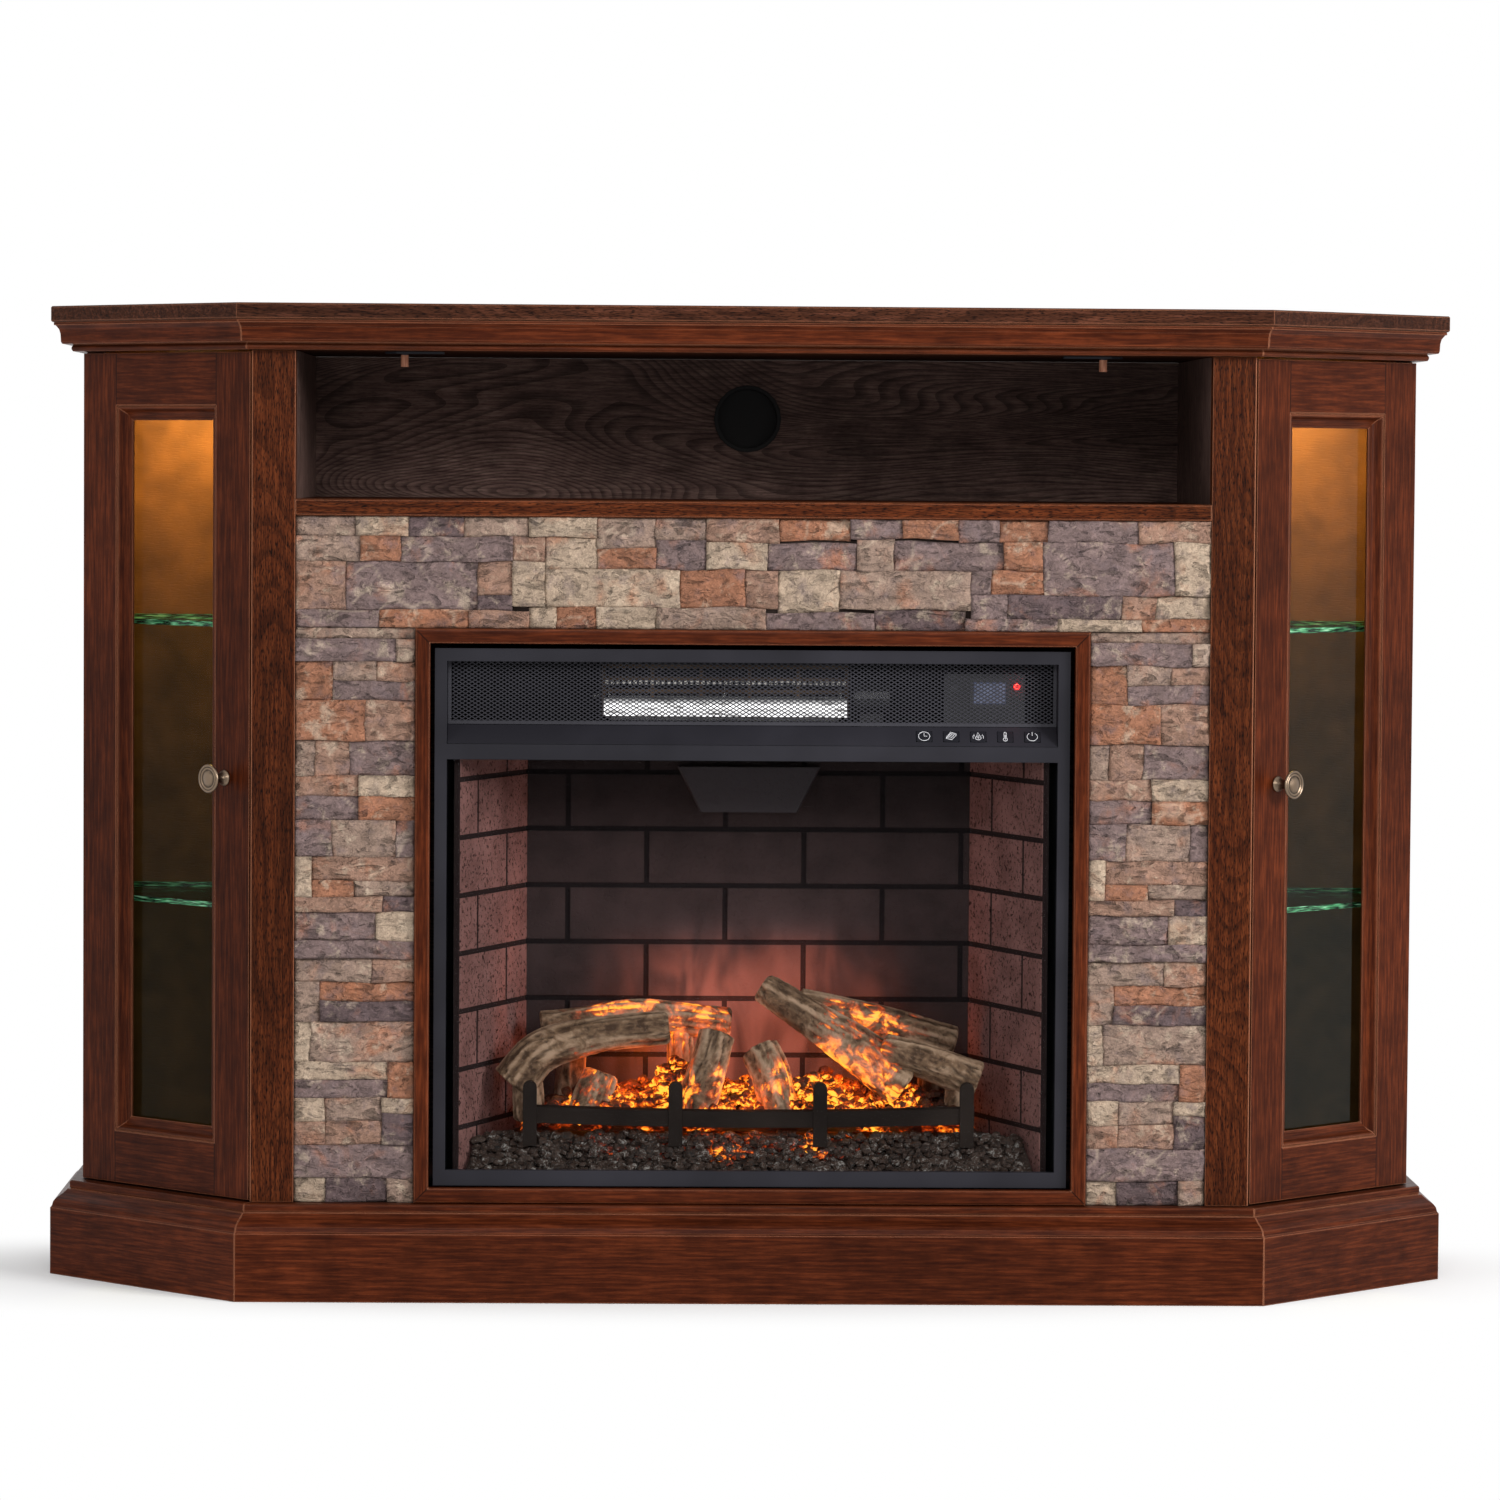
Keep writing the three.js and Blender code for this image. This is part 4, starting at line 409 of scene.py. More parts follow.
def woodFinish(name, look, grain, side=1):
    material, tree = startMaterial(name)
    space, place, joint = grainSpace(tree, grain, side, look["stretch"])
    streaks = addNode(tree, "ShaderNodeTexNoise", None,
                      {"Vector": space, "Scale": 1 / look["streakWidth"], "Detail": 4.0, "Roughness": 0.6,
                       "Distortion": look["waver"]})
    colour = addNode(tree, "ShaderNodeValToRGB",
                     {"stops": [(0.34, hexColour(look["dark"])), (0.50, hexColour(look["middle"])),
                                (0.66, hexColour(look["light"]))]}, {0: streaks}).outputs[0]
    blotch = addNode(tree, "ShaderNodeTexNoise", None,
                     {"Vector": place, "Scale": 1 / look["blotchSize"], "Detail": 3.0, "Roughness": 0.65})
    blotch = addNode(tree, "ShaderNodeMapRange", None, {"Value": blotch, "From Min": 0.3, "From Max": 0.7,
                                                        "To Min": 1 - look["blotch"], "To Max": 1.0})
    colour = addNode(tree, "ShaderNodeMix", colourTimes, {0: 1.0, 6: colour, 7: blotch}).outputs[2]
    broad = addNode(tree, "ShaderNodeTexNoise", fourWay,
                    {"Vector": place, "W": 6.0, "Scale": 3.2, "Detail": 1.0})
    broad = addNode(tree, "ShaderNodeMapRange", None,
                    {"Value": broad, "From Min": 0.35, "From Max": 0.65, "To Min": 1 - look["sheen"],
                     "To Max": 1 + look["sheen"]})
    colour = addNode(tree, "ShaderNodeMix", colourTimes, {0: 1.0, 6: colour, 7: broad}).outputs[2]
    shorter = addNode(tree, "ShaderNodeMapping", None,
                      {"Vector": space, "Scale": (look["poreLength"] / look["stretch"], 1, 1)})
    pores = addNode(tree, "ShaderNodeTexNoise", None,
                    {"Vector": shorter, "Scale": 1 / look["poreWidth"], "Detail": 2.0, "Roughness": 0.5})
    lines = addNode(tree, "ShaderNodeMapRange", None, {"Value": pores, "From Min": 0.38, "From Max": 0.48})
    if look["rings"]:
        # flat sawn figure: the rings run like contour lines round long hills
        figure = addNode(tree, "ShaderNodeMapping", None,
                         {"Vector": space, "Scale": (look["ringLength"] / look["stretch"], 1, 1)})
        hills = addNode(tree, "ShaderNodeTexNoise", None, {"Vector": figure, "Scale": 9.0, "Detail": 1.5,
                                                           "Roughness": 0.35, "Distortion": 0.3})
        rings = addNode(tree, "ShaderNodeMath", times, {0: hills, 1: look["ringCount"]})
        rings = addNode(tree, "ShaderNodeMath", {"operation": "FRACT"}, {0: rings})
        late = addNode(tree, "ShaderNodeMapRange", softly,
                       {"Value": rings, "From Min": 0.10, "From Max": 0.62, "To Min": 1 - look["rings"],
                        "To Max": 1.0})
        colour = addNode(tree, "ShaderNodeMix", colourTimes, {0: 1.0, 6: colour, 7: late}).outputs[2]
    dark = addNode(tree, "ShaderNodeMapRange", None,
                   {"Value": lines, "To Min": 1 - look["poreDepth"], "To Max": 1.0})
    colour = addNode(tree, "ShaderNodeMix", colourTimes, {0: 1.0, 6: colour, 7: dark}).outputs[2]
    if "bright" in look:
        # only the media bay and the rear are stained black: inside the cabinets the boards are plain
        away = addNode(tree, "ShaderNodeSeparateXYZ", None, {0: place})
        away = addNode(tree, "ShaderNodeMath", sizeOf, {0: away})
        outside = addNode(tree, "ShaderNodeMath", above, {0: away, 1: plan["baySide"]})
        normal = addNode(tree, "ShaderNodeTexCoord").outputs["Normal"]
        turnedTo = addNode(tree, "ShaderNodeSeparateXYZ", None, {0: normal})
        rear = addNode(tree, "ShaderNodeMath", above, {0: turnedTo.outputs["Y"], 1: 0.5})
        outside = addNode(tree, "ShaderNodeMath", {"operation": "SUBTRACT", "use_clamp": True},
                          {0: outside, 1: rear})
        plain = addNode(tree, "ShaderNodeMix", colourTimes,
                        {0: 1.0, 6: hexColour(look["bright"]), 7: blotch}).outputs[2]
        colour = addNode(tree, "ShaderNodeMix", colourMix, {0: outside, 6: colour, 7: plain}).outputs[2]
    if joint:
        colour = addNode(tree, "ShaderNodeMix", colourMix,
                         {0: joint, 6: colour, 7: hexColour(grainScale["jointColour"])}).outputs[2]
    rounded = addNode(tree, "ShaderNodeBevel", {"samples": 4}, {"Radius": look["edgeRadius"]})
    # the eased edges read paler: the stain is worn thin there, and the pale tone is also a painted highlight
    # along them
    facing = addNode(tree, "ShaderNodeNewGeometry").outputs["Normal"]
    along = addNode(tree, "ShaderNodeVectorMath", {"operation": "DOT_PRODUCT"}, {0: rounded, 1: facing})
    wornAndHighlitEdge = addNode(tree, "ShaderNodeMapRange", None,
                     {"Value": along.outputs["Value"], "From Min": 0.99, "From Max": 0.80, "To Max": 0.75})
    colour = addNode(tree, "ShaderNodeMix", colourMix,
                     {0: wornAndHighlitEdge, 6: colour, 7: hexColour(look["edge"])}).outputs[2]
    bump = addNode(tree, "ShaderNodeBump", None,
                   {"Strength": look["bump"], "Distance": 0.0004, "Height": lines, "Normal": rounded})
    shade = addNode(tree, "ShaderNodeMapRange", None,
                    {"Value": streaks, "From Min": 0.3, "From Max": 0.7, "To Min": look["roughness"] + 0.07,
                     "To Max": look["roughness"] - 0.04})
    shader = addNode(tree, "ShaderNodeBsdfPrincipled", None,
                     {"Base Color": colour, "Roughness": shade, "IOR": 1.5,
                      "Specular IOR Level": look["specular"], "Normal": bump})
    surface(tree, shader)
    return material


def dressWood():
    stainedX = woodFinish("stained veneer along the front", stainedLook, "x")
    stainedZ = woodFinish("stained veneer upright", stainedLook, "z")
    oakZ = woodFinish("open grain oak upright", oakLook, "z")
    oakX = woodFinish("open grain oak along the front", oakLook, "x")
    darkX = woodFinish("near black oak back", darkOakLook, "x")
    darkZ = woodFinish("near black oak upright", darkOakLook, "z")
    board = woodFinish("stained board", boardLook, "x")
    dress(stainedX, "front_cornice", "front_plinth")
    dress(woodFinish("stained veneer, mitred", stainedLook, "mitred"), "firebox_trim")
    dress(oakX, "media_shelf")
    topLook = dict(oakLook, dark="#33180d", middle="#432416", light="#573224")
    dress(woodFinish("open grain oak top board", topLook, "x"), "mantel_top")
    dress(oakZ, "left_pilaster", "right_pilaster")
    dress(darkX, "back_panel")
    dress(darkZ, "left_partition", "right_partition")
    dress(stainedZ, "left_side_panel", "right_side_panel")
    dress(board, "roof_panel", "base_deck")
    for side, name in ((-1, "left"), (1, "right")):
        run = woodFinish(name + " stained veneer round the corner", stainedLook, "run", side)
        door = woodFinish(name + " stained veneer stiles and rails", stainedLook, "door", side)
        dress(run, name + "_cornice", name + "_plinth")
        dress(door, name + "_door_frame")


dressWood()
print("wood dressed")


# stacked stone

# cast ledge stone, washed in several mineral colours: split faces, with a painted highlight along their
# lower margins and painted shade down their sides into the joints
stoneLook = {
    "tones": {  # purple, dark slate, rust, cream, tan and grey stones
        "p": "#776461", "d": "#5d4d4d", "r": "#95664e", "c": "#a8937f", "t": "#917160", "g": "#90796b",
    },
    "share": "pppptttgggccrrd",  # how often each wash is picked
    "rust": "#a56a4c",
    "cream": "#b9a691",
    "slate": "#67595c",
    # colour of the painted shade on the stones' sides, down into the joints
    "joint": "#4b382f",
    "waver": 0.0022,  # how far the joints wander off a straight line
    "split": 0.0017,  # depth of the split texture
    "cell": 0.0024,  # size of a mesh cell on a stone's face
    "setBack": 0.008,  # from the panel's front plane to its backing board
    "board": 0.012,
    "relief": (0.003, 0.0076),  # least and most that a stone stands out from the board
    "limits": (0.0012, 0.0078),  # a face's height stays between these, before its margin is rounded
    "worn": 0.0026,  # width of the rounded margin of a face
}

# the moulds' stones as left, right, foot and head in millimetres from a panel's lower left corner
topMould = [
    (0, 55, 84, 102), (55, 105, 84, 102), (105, 155, 84, 102), (155, 215, 84, 102), (215, 278, 84, 102),
    (0, 59, 61, 84), (59, 97, 61, 84), (97, 200, 61, 84), (200, 230, 61, 84), (230, 278, 55, 84),
    (278, 332, 74, 102), (278, 332, 55, 74), (332, 379, 82, 102), (332, 379, 55, 82), (379, 446, 80, 102),
    (379, 435, 55, 80), (0, 46, 16, 61), (46, 168, 16, 61), (168, 200, 30, 61), (200, 230, 20, 61),
    (168, 200, 16, 30), (230, 355, 20, 55), (355, 415, 20, 55), (0, 77, 0, 16), (77, 160, 0, 16),
    (160, 215, 0, 16), (215, 240, 0, 20), (240, 278, 0, 20), (278, 333, 0, 20), (333, 435, 0, 20),
    (446, 512, 82, 102), (512, 560, 84, 102), (560, 612, 84, 102), (612, 650, 82, 102), (650, 696, 82, 102),
    (696, 778, 82, 102), (778, 846, 82, 102), (435, 518, 55, 80), (518, 553, 55, 84), (553, 654, 55, 82),
    (654, 691, 55, 82), (691, 812, 33, 82), (812, 846, 33, 82), (415, 446, 20, 55), (446, 503, 16, 55),
    (503, 624, 19, 55), (624, 643, 33, 55), (643, 691, 33, 55), (624, 658, 12, 33), (658, 764, 12, 33),
    (764, 796, 12, 33), (796, 846, 12, 33), (435, 535, 0, 16), (535, 619, 0, 19), (619, 704, 0, 12),
    (704, 783, 0, 12), (783, 846, 0, 12),
]
sideMould = [
    (0, 110, 523, 533), (0, 93, 502, 523), (93, 110, 502, 523), (0, 34, 466, 502), (34, 75, 484, 502),
    (75, 110, 484, 502), (34, 110, 466, 484), (0, 65, 429, 466), (65, 110, 429, 466), (0, 18, 396, 429),
    (18, 50, 396, 429), (50, 110, 396, 429), (0, 58, 377, 396), (0, 58, 355, 377), (58, 110, 377, 396),
    (58, 110, 355, 377), (0, 34, 321, 355), (34, 93, 321, 355), (93, 110, 321, 355), (0, 15, 284, 321),
    (15, 110, 299, 321), (15, 54, 284, 299), (54, 110, 284, 299), (0, 81, 270, 284), (81, 110, 270, 284),
    (0, 75, 243, 270), (75, 110, 243, 270), (0, 110, 227, 243), (0, 71, 205, 227), (71, 110, 205, 227),
    (0, 24, 168, 205), (24, 110, 187, 205), (24, 110, 168, 187), (0, 15, 131, 168), (15, 110, 131, 168),
    (0, 86, 114, 131), (0, 86, 97, 114), (86, 110, 97, 131), (0, 29, 75, 97), (0, 29, 53, 75),
    (29, 81, 75, 97), (29, 81, 53, 75), (81, 110, 83, 97), (81, 110, 53, 83), (0, 110, 23, 53),
    (0, 29, 0, 23), (29, 86, 0, 23), (86, 110, 0, 23),
]

stonePanels = [  # name, x0, x1, z0, z1, the mould, its width and height, seed
    ("top", -0.4229, 0.4229, 0.6223, 0.7247, topMould, 846, 102, 11),
    ("left", -0.4229, -0.3125, 0.0888, 0.6217, sideMould, 110, 533, 29),
    ("right", 0.3125, 0.4229, 0.0888, 0.6217, sideMould, 110, 533, 29),
]


def unevenness(seed):
    state = [seed]

    def following():
        state[0] = (state[0] * 16807) % 2147483647
        return state[0] / 2147483647
    return following


def splitFace(x, z, seed):
    # broken steps and fine pitting of a split stone, about -1 to 1
    steps = noise.noise(Vector((x * 42, z * 95, seed)))
    steps = round(steps * 3) / 3 * 0.6 + steps * 0.4
    return steps + 0.5 * noise.noise(Vector((x * 170, z * 230, seed * 2.3)))


def stonesOf(x0, x1, z0, z1, mould, width, height, seed):
    chance, pick = unevenness(seed), random.Random(seed)
    order, last = list(stoneLook["tones"]), None
    for left, right, foot, head in mould:
        last = tone = pick.choice([wash for wash in stoneLook["share"] if wash != last])
        yield (lerp(x0, x1, left / width), lerp(x0, x1, right / width), lerp(z0, z1, foot / height),
               lerp(z0, z1, head / height), lerp(*stoneLook["relief"], chance()),
               (order.index(tone) + 0.5) / len(order))


def wandered(x, z, panel):
    # joints wander a little, but not at the panel's own border
    name, x0, x1, z0, z1 = panel[:5]
    inside = smoothStep(0, 0.008, min(x - x0, x1 - x, z - z0, z1 - z))
    place = Vector((x * 24, z * 34, 3.0 if name == "top" else 8.0))
    reach = stoneLook["waver"] * inside
    return (x + reach * noise.noise(place), z + reach * noise.noise(place + Vector((17, 5, 2))))


def stonePiece(panel, materials):
    name, x0, x1, z0, z1 = panel[:5]
    seed = panel[-1]
    backing = plan["frontY"] + stoneLook["setBack"]
    lowest, highest = stoneLook["limits"]
    verts, faces, slots, deep, vein, wash = [], [], [], [], [], []
    cell = stoneLook["cell"]
    for number, (left, right, foot, head, relief, tone) in enumerate(stonesOf(*panel[1:])):
        across = max(4, round((right - left) / cell))
        up = max(4, round((head - foot) / cell))
        stoneSeed = seed * 10 + number * 1.37
        tilt = noise.noise(Vector((stoneSeed, 0.3, 0.7))) * 0.0022
        lean = noise.noise(Vector((0.9, stoneSeed, 0.2))) * 0.0016
        start = len(verts)
        for r in range(up + 1):
            for c in range(across + 1):
                u, v = c / across, r / up
                x, z = lerp(left, right, u), lerp(foot, head, v)
                near = min(x - left, right - x, z - foot, head - z)
                edge = min(near / stoneLook["worn"], 1.0)
                ridge = noise.noise(Vector((x * 26, z * 40, stoneSeed)))
                patch = smoothStep(-0.1, 0.25, noise.noise(Vector((x * 9, z * 9, stoneSeed))))
                ridge = max(0.0, 1 - abs(ridge) / 0.045) * patch
                x, z = wandered(x, z, panel)
                rise = relief + tilt * (u - 0.5) * 2 + lean * (v - 0.5) * 2 + ridge * 0.0008
                rise += splitFace(x, z, stoneSeed) * stoneLook["split"]
                rise = min(max(rise, lowest), highest)
                rounding = (1 - edge) ** 2 * max(0.0, 0.0006 + 0.0034 * noise.noise(Vector((x * 60, z * 60,
                                                                                            4.0))))
                verts.append((x, backing - max(rise - rounding, 0.0006), z))
                deep.append(1 - edge)
                # pale veins on the ridges, and a painted highlight along the margin of the stone's lower
                # half
                vein.append(max(ridge, (1 - abs(edge - 0.6) / 0.3) * 0.5 if v < 0.5 else 0.0))
        faces += gridFaces(across + 1, up + 1, start)
        slots += [0] * (across * up)
        rim = [start + c for c in range(across + 1)]
        rim += [start + r * (across + 1) + across for r in range(1, up + 1)]
        rim += [start + up * (across + 1) + c for c in range(across - 1, -1, -1)]
        rim += [start + r * (across + 1) for r in range(up - 1, 0, -1)]
        skirt = len(verts)
        for index in rim:
            x, _, z = verts[index]
            verts.append((x, backing + 0.0005, z))
            deep.append(1.6)
            vein.append(0.0)
        for i in range(len(rim)):
            j = (i + 1) % len(rim)
            faces.append((rim[i], skirt + i, skirt + j, rim[j]))
            slots.append(0)
        wash += [tone] * (len(verts) - start)
    start = len(verts)
    back = backing + stoneLook["board"]
    for y in (backing, back):
        verts += [(x0, y, z0), (x1, y, z0), (x1, y, z1), (x0, y, z1)]
        deep += [1.6] * 4
        vein += [0.0] * 4
        wash += [0.0] * 4
    for quad in boxQuads:
        faces.append(tuple(start + i for i in quad))
        slots.append(1)
    piece = makePiece("stacked_stone_" + name, verts, faces, materials, smooth=True, faceMaterials=slots,
                      values={"deep": deep, "vein": vein, "wash": wash})
    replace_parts(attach(piece, "mantel"), "stone_panel_" + name)


def stoneFinish(look):
    material, tree = startMaterial("cast ledge stone")
    place = addNode(tree, "ShaderNodeTexCoord").outputs["Object"]
    island = addNode(tree, "ShaderNodeNewGeometry").outputs["Random Per Island"]
    wash = addNode(tree, "ShaderNodeAttribute", {"attribute_name": "wash"}).outputs["Fac"]
    count = len(look["tones"])
    base = addNode(tree, "ShaderNodeValToRGB",
                   {"stops": [(i / count, hexColour(c)) for i, c in enumerate(look["tones"].values())]},
                   {0: wash})
    base.color_ramp.interpolation = "CONSTANT"
    shifted = addNode(tree, "ShaderNodeVectorMath", timesPlus, {0: island, 1: (3.0, 5.0, 7.0), 2: place})
    cloud = addNode(tree, "ShaderNodeTexNoise", None,
                    {"Vector": shifted, "Scale": 24.0, "Detail": 6.0, "Roughness": 0.62, "Distortion": 0.5})
    rusty = addNode(tree, "ShaderNodeMapRange", softly,
                    {"Value": cloud, "From Min": 0.52, "From Max": 0.74, "To Max": 0.7})
    colour = addNode(tree, "ShaderNodeMix", colourMix,
                     {0: rusty, 6: base.outputs[0], 7: hexColour(look["rust"])}).outputs[2]
    veil = addNode(tree, "ShaderNodeTexNoise", fourWay,
                   {"Vector": shifted, "W": 2.0, "Scale": 46.0, "Detail": 5.0, "Roughness": 0.66})
    slaty = addNode(tree, "ShaderNodeMapRange", softly,
                    {"Value": veil, "From Min": 0.50, "From Max": 0.70, "To Max": 0.55})
    colour = addNode(tree, "ShaderNodeMix", colourMix,
                     {0: slaty, 6: colour, 7: hexColour(look["slate"])}).outputs[2]
    pale = addNode(tree, "ShaderNodeMapRange", softly,
                   {"Value": veil, "From Min": 0.46, "From Max": 0.34, "To Max": 0.55})
    colour = addNode(tree, "ShaderNodeMix", colourMix,
                     {0: pale, 6: colour, 7: hexColour(look["cream"])}).outputs[2]
    # scratches and chipped ridges catch light, about a millimetre wide
    grit = addNode(tree, "ShaderNodeTexNoise", None,
                   {"Vector": place, "Scale": 420.0, "Detail": 4.0, "Roughness": 0.7, "Distortion": 1.2})
    fleck = addNode(tree, "ShaderNodeMapRange", None,
                    {"Value": grit, "From Min": 0.35, "From Max": 0.68, "To Min": 0.66, "To Max": 1.30})
    light = addNode(tree, "ShaderNodeTexNoise", fourWay,
                    {"Vector": shifted, "W": 5.0, "Scale": 60.0, "Detail": 3.0, "Roughness": 0.6})
    light = addNode(tree, "ShaderNodeMapRange", None,
                    {"Value": light, "From Min": 0.3, "From Max": 0.7, "To Min": 0.72, "To Max": 1.22})
    fleck = addNode(tree, "ShaderNodeMath", times, {0: fleck, 1: light})
    colour = addNode(tree, "ShaderNodeMix",
                     {"data_type": "RGBA", "blend_type": "MULTIPLY", "clamp_result": False},
                     {0: 1.0, 6: colour, 7: fleck}).outputs[2]
    # pale veins, and the painted highlight along each stone's lower margin
    vein = addNode(tree, "ShaderNodeAttribute", {"attribute_name": "vein"}).outputs["Fac"]
    vein = addNode(tree, "ShaderNodeMath", times, {0: vein, 1: 0.38})
    colour = addNode(tree, "ShaderNodeMix", colourMix,
                     {0: vein, 6: colour, 7: hexColour("#cdb8a2")}).outputs[2]
    # the sides of each stone are painted darker towards the backing: painted shade in the joints
    deep = addNode(tree, "ShaderNodeAttribute", {"attribute_name": "deep"}).outputs["Fac"]
    shadow = addNode(tree, "ShaderNodeMapRange", softly, {"Value": deep, "From Min": 1.0, "From Max": 1.6})
    colour = addNode(tree, "ShaderNodeMix", colourMix,
                     {0: shadow, 6: colour, 7: hexColour(look["joint"])}).outputs[2]
    # broken shelves a centimetre or so across, under the grit
    flat = addNode(tree, "ShaderNodeMapping", None, {"Vector": shifted, "Scale": (1.0, 1.0, 2.1)})
    shelves = addNode(tree, "ShaderNodeTexNoise", None,
                      {"Vector": flat, "Scale": 52.0, "Detail": 5.0, "Roughness": 0.55, "Distortion": 0.7})
    steps = addNode(tree, "ShaderNodeMath", times, {0: shelves, 1: 7.0})
    steps = addNode(tree, "ShaderNodeMath", {"operation": "PINGPONG"}, {0: steps, 1: 1.0})
    broken = addNode(tree, "ShaderNodeMath", timesPlus, {0: steps, 1: 0.22, 2: shelves})
    shaped = addNode(tree, "ShaderNodeBump", None, {"Strength": 1.0, "Distance": 0.011, "Height": broken})
    # the low parts of the broken shelves are painted darker and the high parts lighter: painted shade and
    # highlight of the relief
    hollow = addNode(tree, "ShaderNodeMapRange", None,
                     {"Value": broken, "From Min": 0.38, "From Max": 0.86, "To Min": 0.66, "To Max": 1.44})
    colour = addNode(tree, "ShaderNodeMix",
                     {"data_type": "RGBA", "blend_type": "MULTIPLY", "clamp_result": False},
                     {0: 1.0, 6: colour, 7: hollow}).outputs[2]
    bump = addNode(tree, "ShaderNodeBump", None,
                   {"Strength": 0.8, "Distance": 0.0016, "Height": grit, "Normal": shaped})
    surface(tree, addNode(tree, "ShaderNodeBsdfPrincipled", None,
                          {"Base Color": colour, "Roughness": 0.82, "IOR": 1.5, "Specular IOR Level": 0.2,
                           "Normal": bump}))
    return material


def mortarFinish():
    material, tree = startMaterial("dark joint mortar")
    grain = addNode(tree, "ShaderNodeTexNoise", None, {"Scale": 600.0, "Detail": 3.0})
    colour = addNode(tree, "ShaderNodeValToRGB",
                     {"stops": [(0.3, hexColour("#1a110e")), (0.7, hexColour("#35261f"))]}, {0: grain})
    surface(tree, addNode(tree, "ShaderNodeBsdfPrincipled", None,
                          {"Base Color": colour, "Roughness": 0.95}))
    return material


stoneMaterials = [stoneFinish(stoneLook), mortarFinish()]
for panel in stonePanels:
    stonePiece(panel, stoneMaterials)
print("stone laid")


# metal, glass and plastic

# powder coated sheet: fine orange peel, satin
powderLook = {"colour": "#1d1c21", "worn": "#2a292f", "grit": 0.0012, "roughness": 0.42}
# antique nickel plate: brown-black in the hollows, pale where hands rub
nickelLook = {"bright": "#7d6b5a", "dull": "#2c2520", "roughness": 0.30}
# rolled sheet steel: fine lines along the roll
steelLook = {"colour": "#d8d5d0", "lineWidth": 0.0006, "roughness": 0.28}


def powderFinish(name, look, metallic=0.0):
    material, tree = startMaterial(name)
    place = addNode(tree, "ShaderNodeTexCoord").outputs["Object"]
    peel = addNode(tree, "ShaderNodeTexNoise", None,
                   {"Vector": place, "Scale": 1 / look["grit"], "Detail": 3.0})
    broad = addNode(tree, "ShaderNodeTexNoise", None, {"Vector": place, "Scale": 9.0, "Detail": 3.0})
    colour = addNode(tree, "ShaderNodeValToRGB", {"stops": [(0.35, hexColour(look["colour"])),
                                                            (0.75, hexColour(look["worn"]))]}, {0: broad})
    rounded = addNode(tree, "ShaderNodeBevel", {"samples": 4}, {"Radius": 0.0008})
    bump = addNode(tree, "ShaderNodeBump", None,
                   {"Strength": 0.06, "Distance": 0.0002, "Height": peel, "Normal": rounded})
    rough = addNode(tree, "ShaderNodeMapRange", None, {"Value": broad, "To Min": look["roughness"] - 0.05,
                                                       "To Max": look["roughness"] + 0.08})
    surface(tree, addNode(tree, "ShaderNodeBsdfPrincipled", None,
                          {"Base Color": colour, "Roughness": rough, "Metallic": metallic,
                           "Specular IOR Level": 0.12, "Normal": bump}))
    return material


# black sheet plate with a turned beech dowel standing down from it
dowelLook = {"plate": "#1d1c21", "beech": "#b07a60", "darkBeech": "#7d4a36", "plateFoot": 0.8742}


def dowelFinish(look):
    material, tree = startMaterial("sheet plate with beech dowel")
    place = addNode(tree, "ShaderNodeTexCoord").outputs["Object"]
    parts = addNode(tree, "ShaderNodeSeparateXYZ", None, {0: place})
    drawn = addNode(tree, "ShaderNodeMapping", None, {"Vector": place, "Scale": (1, 1, 0.1)})
    grain = addNode(tree, "ShaderNodeTexNoise", None, {"Vector": drawn, "Scale": 900.0, "Detail": 2.0})
    wood = addNode(tree, "ShaderNodeValToRGB", {"stops": [(0.3, hexColour(look["darkBeech"])),
                                                          (0.7, hexColour(look["beech"]))]}, {0: grain})
    low = addNode(tree, "ShaderNodeMath", below, {0: parts.outputs["Z"], 1: look["plateFoot"]})
    colour = addNode(tree, "ShaderNodeMix", colourMix,
                     {0: low, 6: hexColour(look["plate"]), 7: wood}).outputs[2]
    surface(tree, addNode(tree, "ShaderNodeBsdfPrincipled", None,
                          {"Base Color": colour, "Roughness": 0.5, "Specular IOR Level": 0.2}))
    return material


def nickelFinish(look):
    material, tree = startMaterial("antique nickel plate")
    place = addNode(tree, "ShaderNodeTexCoord").outputs["Object"]
    patina = addNode(tree, "ShaderNodeTexNoise", None,
                     {"Vector": place, "Scale": 260.0, "Detail": 4.0, "Roughness": 0.6})
    hollow = addNode(tree, "ShaderNodeNewGeometry").outputs["Pointiness"]
    worn = addNode(tree, "ShaderNodeMapRange", None, {"Value": hollow, "From Min": 0.44, "From Max": 0.54})
    mixed = addNode(tree, "ShaderNodeMath", timesPlus, {0: patina, 1: 0.7, 2: worn})
    mixed = addNode(tree, "ShaderNodeMapRange", None, {"Value": mixed, "From Min": 0.3, "From Max": 1.2})
    colour = addNode(tree, "ShaderNodeValToRGB", {"stops": [(0.15, hexColour(look["dull"])),
                                                            (0.8, hexColour(look["bright"]))]}, {0: mixed})
    rough = addNode(tree, "ShaderNodeMapRange", None, {"Value": patina, "To Min": look["roughness"] - 0.08,
                                                       "To Max": look["roughness"] + 0.14})
    surface(tree, addNode(tree, "ShaderNodeBsdfPrincipled", None,
                          {"Base Color": colour, "Metallic": 1.0, "Roughness": rough}))
    return material


